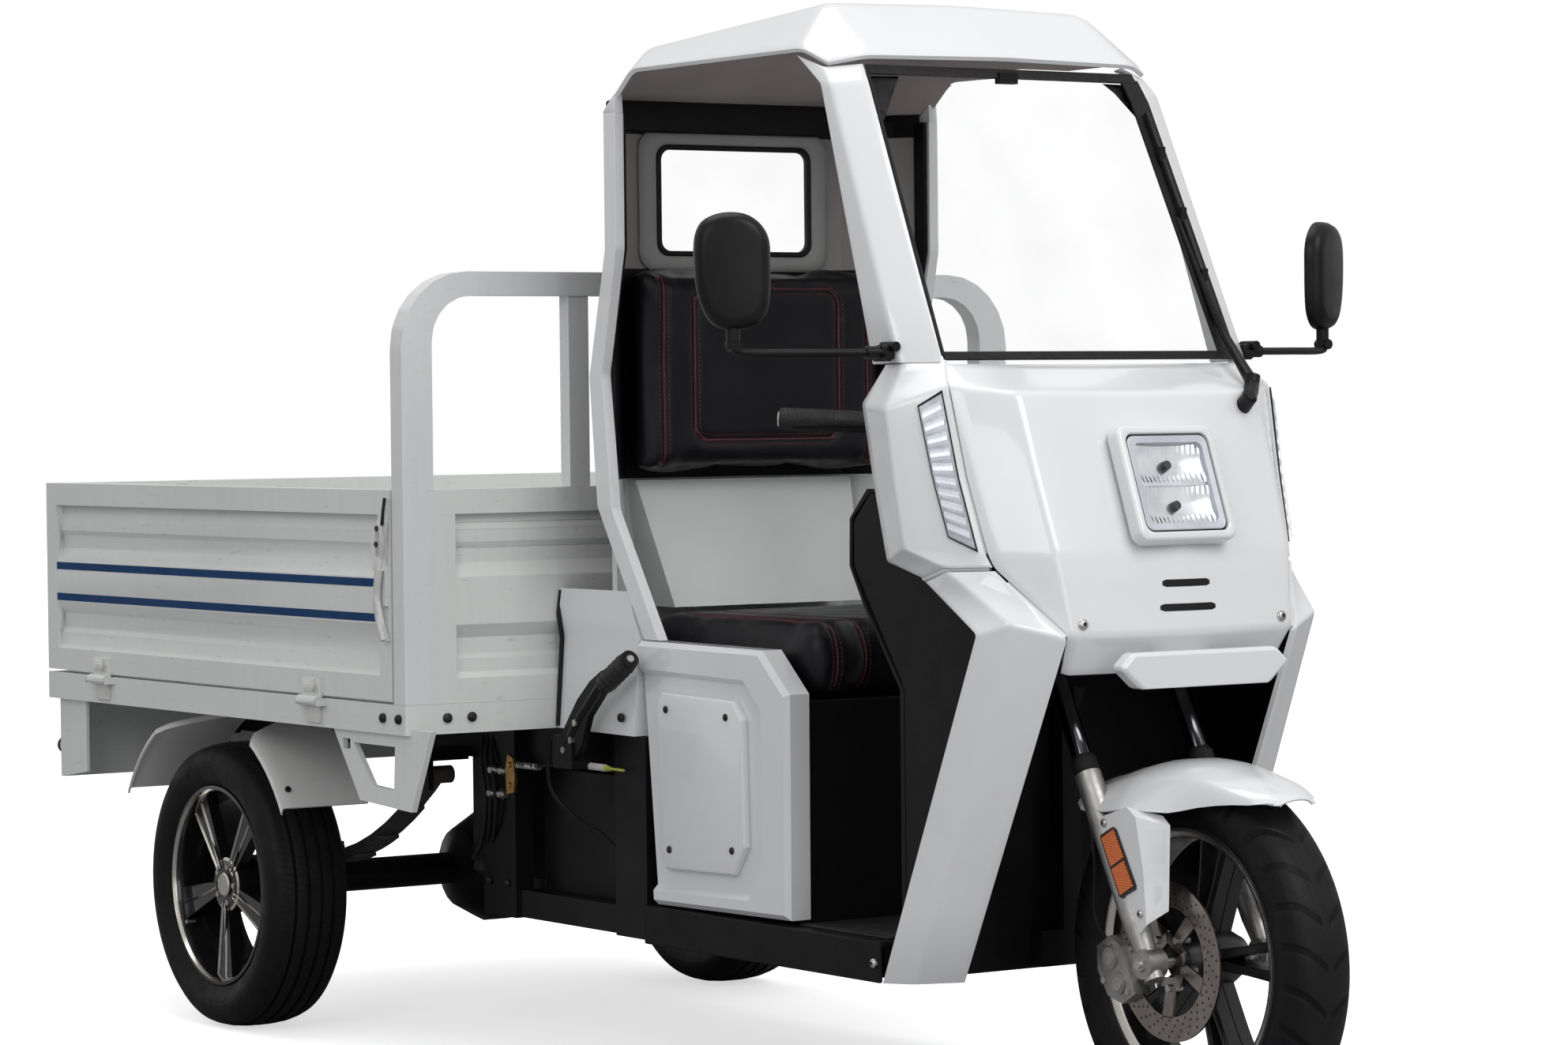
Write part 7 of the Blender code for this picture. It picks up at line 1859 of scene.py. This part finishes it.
for side, word in SIDES:
    centre = Vector((side * MIRROR_X, CAB_Y + 0.408, 1.340))
    bm = bmesh.new()
    turn = Matrix.Rotation(math.radians(27.0) * side, 3, "Z")

    def head(shrink, y):
        """The mirror's outline, drawn in by shrink, at depth y from its middle, toed in."""
        points = smooth_path([Vector((u * (MIRROR_HALF_X - shrink), y, v * (MIRROR_HALF_Z - shrink)))
                              for u, v in MIRROR_OUTLINE], 3)
        return [centre + turn @ Vector((p.x * -side, p.y, p.z)) for p in points[:-1]]

    layers = [(0.0200, -0.0205), (0.0120, -0.0190), (0.0060, -0.0150), (0.0015, -0.0070), (0.0, 0.0020), (0.0, 0.0070),
              (0.0016, 0.0082), (0.0046, 0.0082), (0.0052, 0.0060)]
    rings = [[bm.verts.new(p) for p in head(shrink, y)] for shrink, y in layers]
    strips(bm, rings)
    bm.faces.new(rings[0][::-1])
    face = bm.faces.new(rings[-1])
    face.material_index = 1
    bmesh.ops.recalc_face_normals(bm, faces=bm.faces)
    stalk = smooth_path([(side * MIRROR_X, CAB_Y + .410, 1.262), (side * MIRROR_X, CAB_Y + .405, 1.228),
                         (side * .575, CAB_Y + .398, 1.216), (side * .480, CAB_Y + .365, 1.2145),
                         (side * .366, CAB_Y + .328, 1.214)], 6)
    pipe(bm, stalk, 0.0062, 14)
    bar(bm, (side * MIRROR_X, CAB_Y + .408, 1.222), (side * MIRROR_X, CAB_Y + .408, 1.262), 0.0105, 18)
    bar(bm, (side * MIRROR_X, CAB_Y + .392, 1.226), (side * MIRROR_X, CAB_Y + .420, 1.226), 0.0085, 14)
    x0, x1 = sorted((side * 0.3465, side * 0.3700))
    clamp = bmesh.new()
    block(clamp, (x0, CAB_Y + 0.3215, 1.2030), (x1, CAB_Y + 0.3445, 1.2255))
    ease(clamp, 0.0, 0.003, 8.0, 60.0)
    for share, z in ((0.25, 1.2080), (0.85, 1.2230)):
        spot = x0 + (x1 - x0) * share
        bar(clamp, (spot, CAB_Y + 0.3130, z), (spot, CAB_Y + 0.3500, z), 0.0078, 14)
    bar(clamp, (side * 0.3700, CAB_Y + 0.333, 1.214), (side * 0.3920, CAB_Y + 0.3365, 1.214), 0.0100, 16)
    add_shape(bm, clamp)
    piece("mirror_shell_" + word, bm, [mirror_black, mirror_glass], stands_for="mirror_" + word,
          edge=35.0)

# Boxes behind the seat: facetted white mouldings between the cab and the bed, with a rubber seal
# along the bed and a bolt low down.
for side, word in SIDES:
    rear_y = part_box("rear_side_box_" + word)[1][1]
    bm = cad_copy("rear_side_box_" + word)
    fold = Vector((0.0, -0.225, 0.215)).normalized()
    bmesh.ops.bisect_plane(bm, geom=bm.verts[:] + bm.edges[:] + bm.faces[:],
                           plane_co=(0.0, rear_y - 0.030, 0.823), plane_no=(0.0, fold.z, -fold.y))
    for vert in bm.verts:
        if abs(vert.co.x) > 0.325 and vert.co.y > rear_y - 0.004 and vert.co.z < 0.76:
            vert.co.x -= side * 0.017
    piece("rear_side_box_shell_" + word, ease(bm, 0.003, 0.003, segments=3), body_white,
          stands_for="rear_side_box_" + word, even=True)
    bm = bmesh.new()
    pipe(bm, [(side * x, rear_y - 0.0030, z) for x, z in (
        (0.3370, 0.586), (0.3270, 0.736), (0.3330, 0.780), (0.3275, 0.8195))], 0.0042, 10)
    piece("side_box_seal_" + word, bm, seal_rubber)
bolts("side_box_bolts", [((side * 0.352, CAB_Y + 1.115, 0.612), (side, 0, 0)) for side in (-1, 1)], 0.0078, 0.004,
      bolt_black, socket_shade)

# Parking brake: a black pressed-steel lever with a ribbed grip and a zinc button, bolted to the
# post beside the seat.
piece("brake_lever_arm", ease(cad_copy("parking_brake_lever"), 0.0015, 0.0015, 30.0), powder_black,
      stands_for="parking_brake_lever", even=True)
bm = bmesh.new()
grip_a, grip_b = Vector((-0.378, CAB_Y + 1.130, .667)), Vector((-0.378, CAB_Y + 1.045, .715))
along = (grip_b - grip_a).normalized()
pipe(bm, [grip_a, grip_a + along * 0.004, grip_b - along * 0.010, grip_b - along * 0.004],
     [0.0150, 0.0172, 0.0172, 0.0150], 22, 0)
pipe(bm, [grip_b - along * 0.004, grip_b - along * 0.001, grip_b + along * 0.002], [0.008, 0.008, 0.0060], 16, 1)
bracket = ((1.262, .530), (1.232, .522), (1.196, .560), (1.172, .612), (1.128, .652), (1.112, .672), (1.128, .692),
           (1.166, .672), (1.206, .640), (1.236, .606), (1.266, .570))
prism(bm, [Vector((-0.3720, CAB_Y + y, z)) for y, z in bracket], (-0.0120, 0.0, 0.0), 2)
for y, z in ((1.246, .552), (1.208, .600), (1.222, .570)):
    bar(bm, (-0.3905, CAB_Y + y, z), (-0.3700, CAB_Y + y, z), 0.0065, 6, 1)
for k in range(5):
    spot = grip_a + along * (0.016 + 0.015 * k)
    pipe(bm, [spot - along * 0.0030, spot, spot + along * 0.0030], [0.0168, 0.0186, 0.0168], 22, 0)
piece("brake_lever_grip", bm, [grip_rubber, zinc, powder_black])
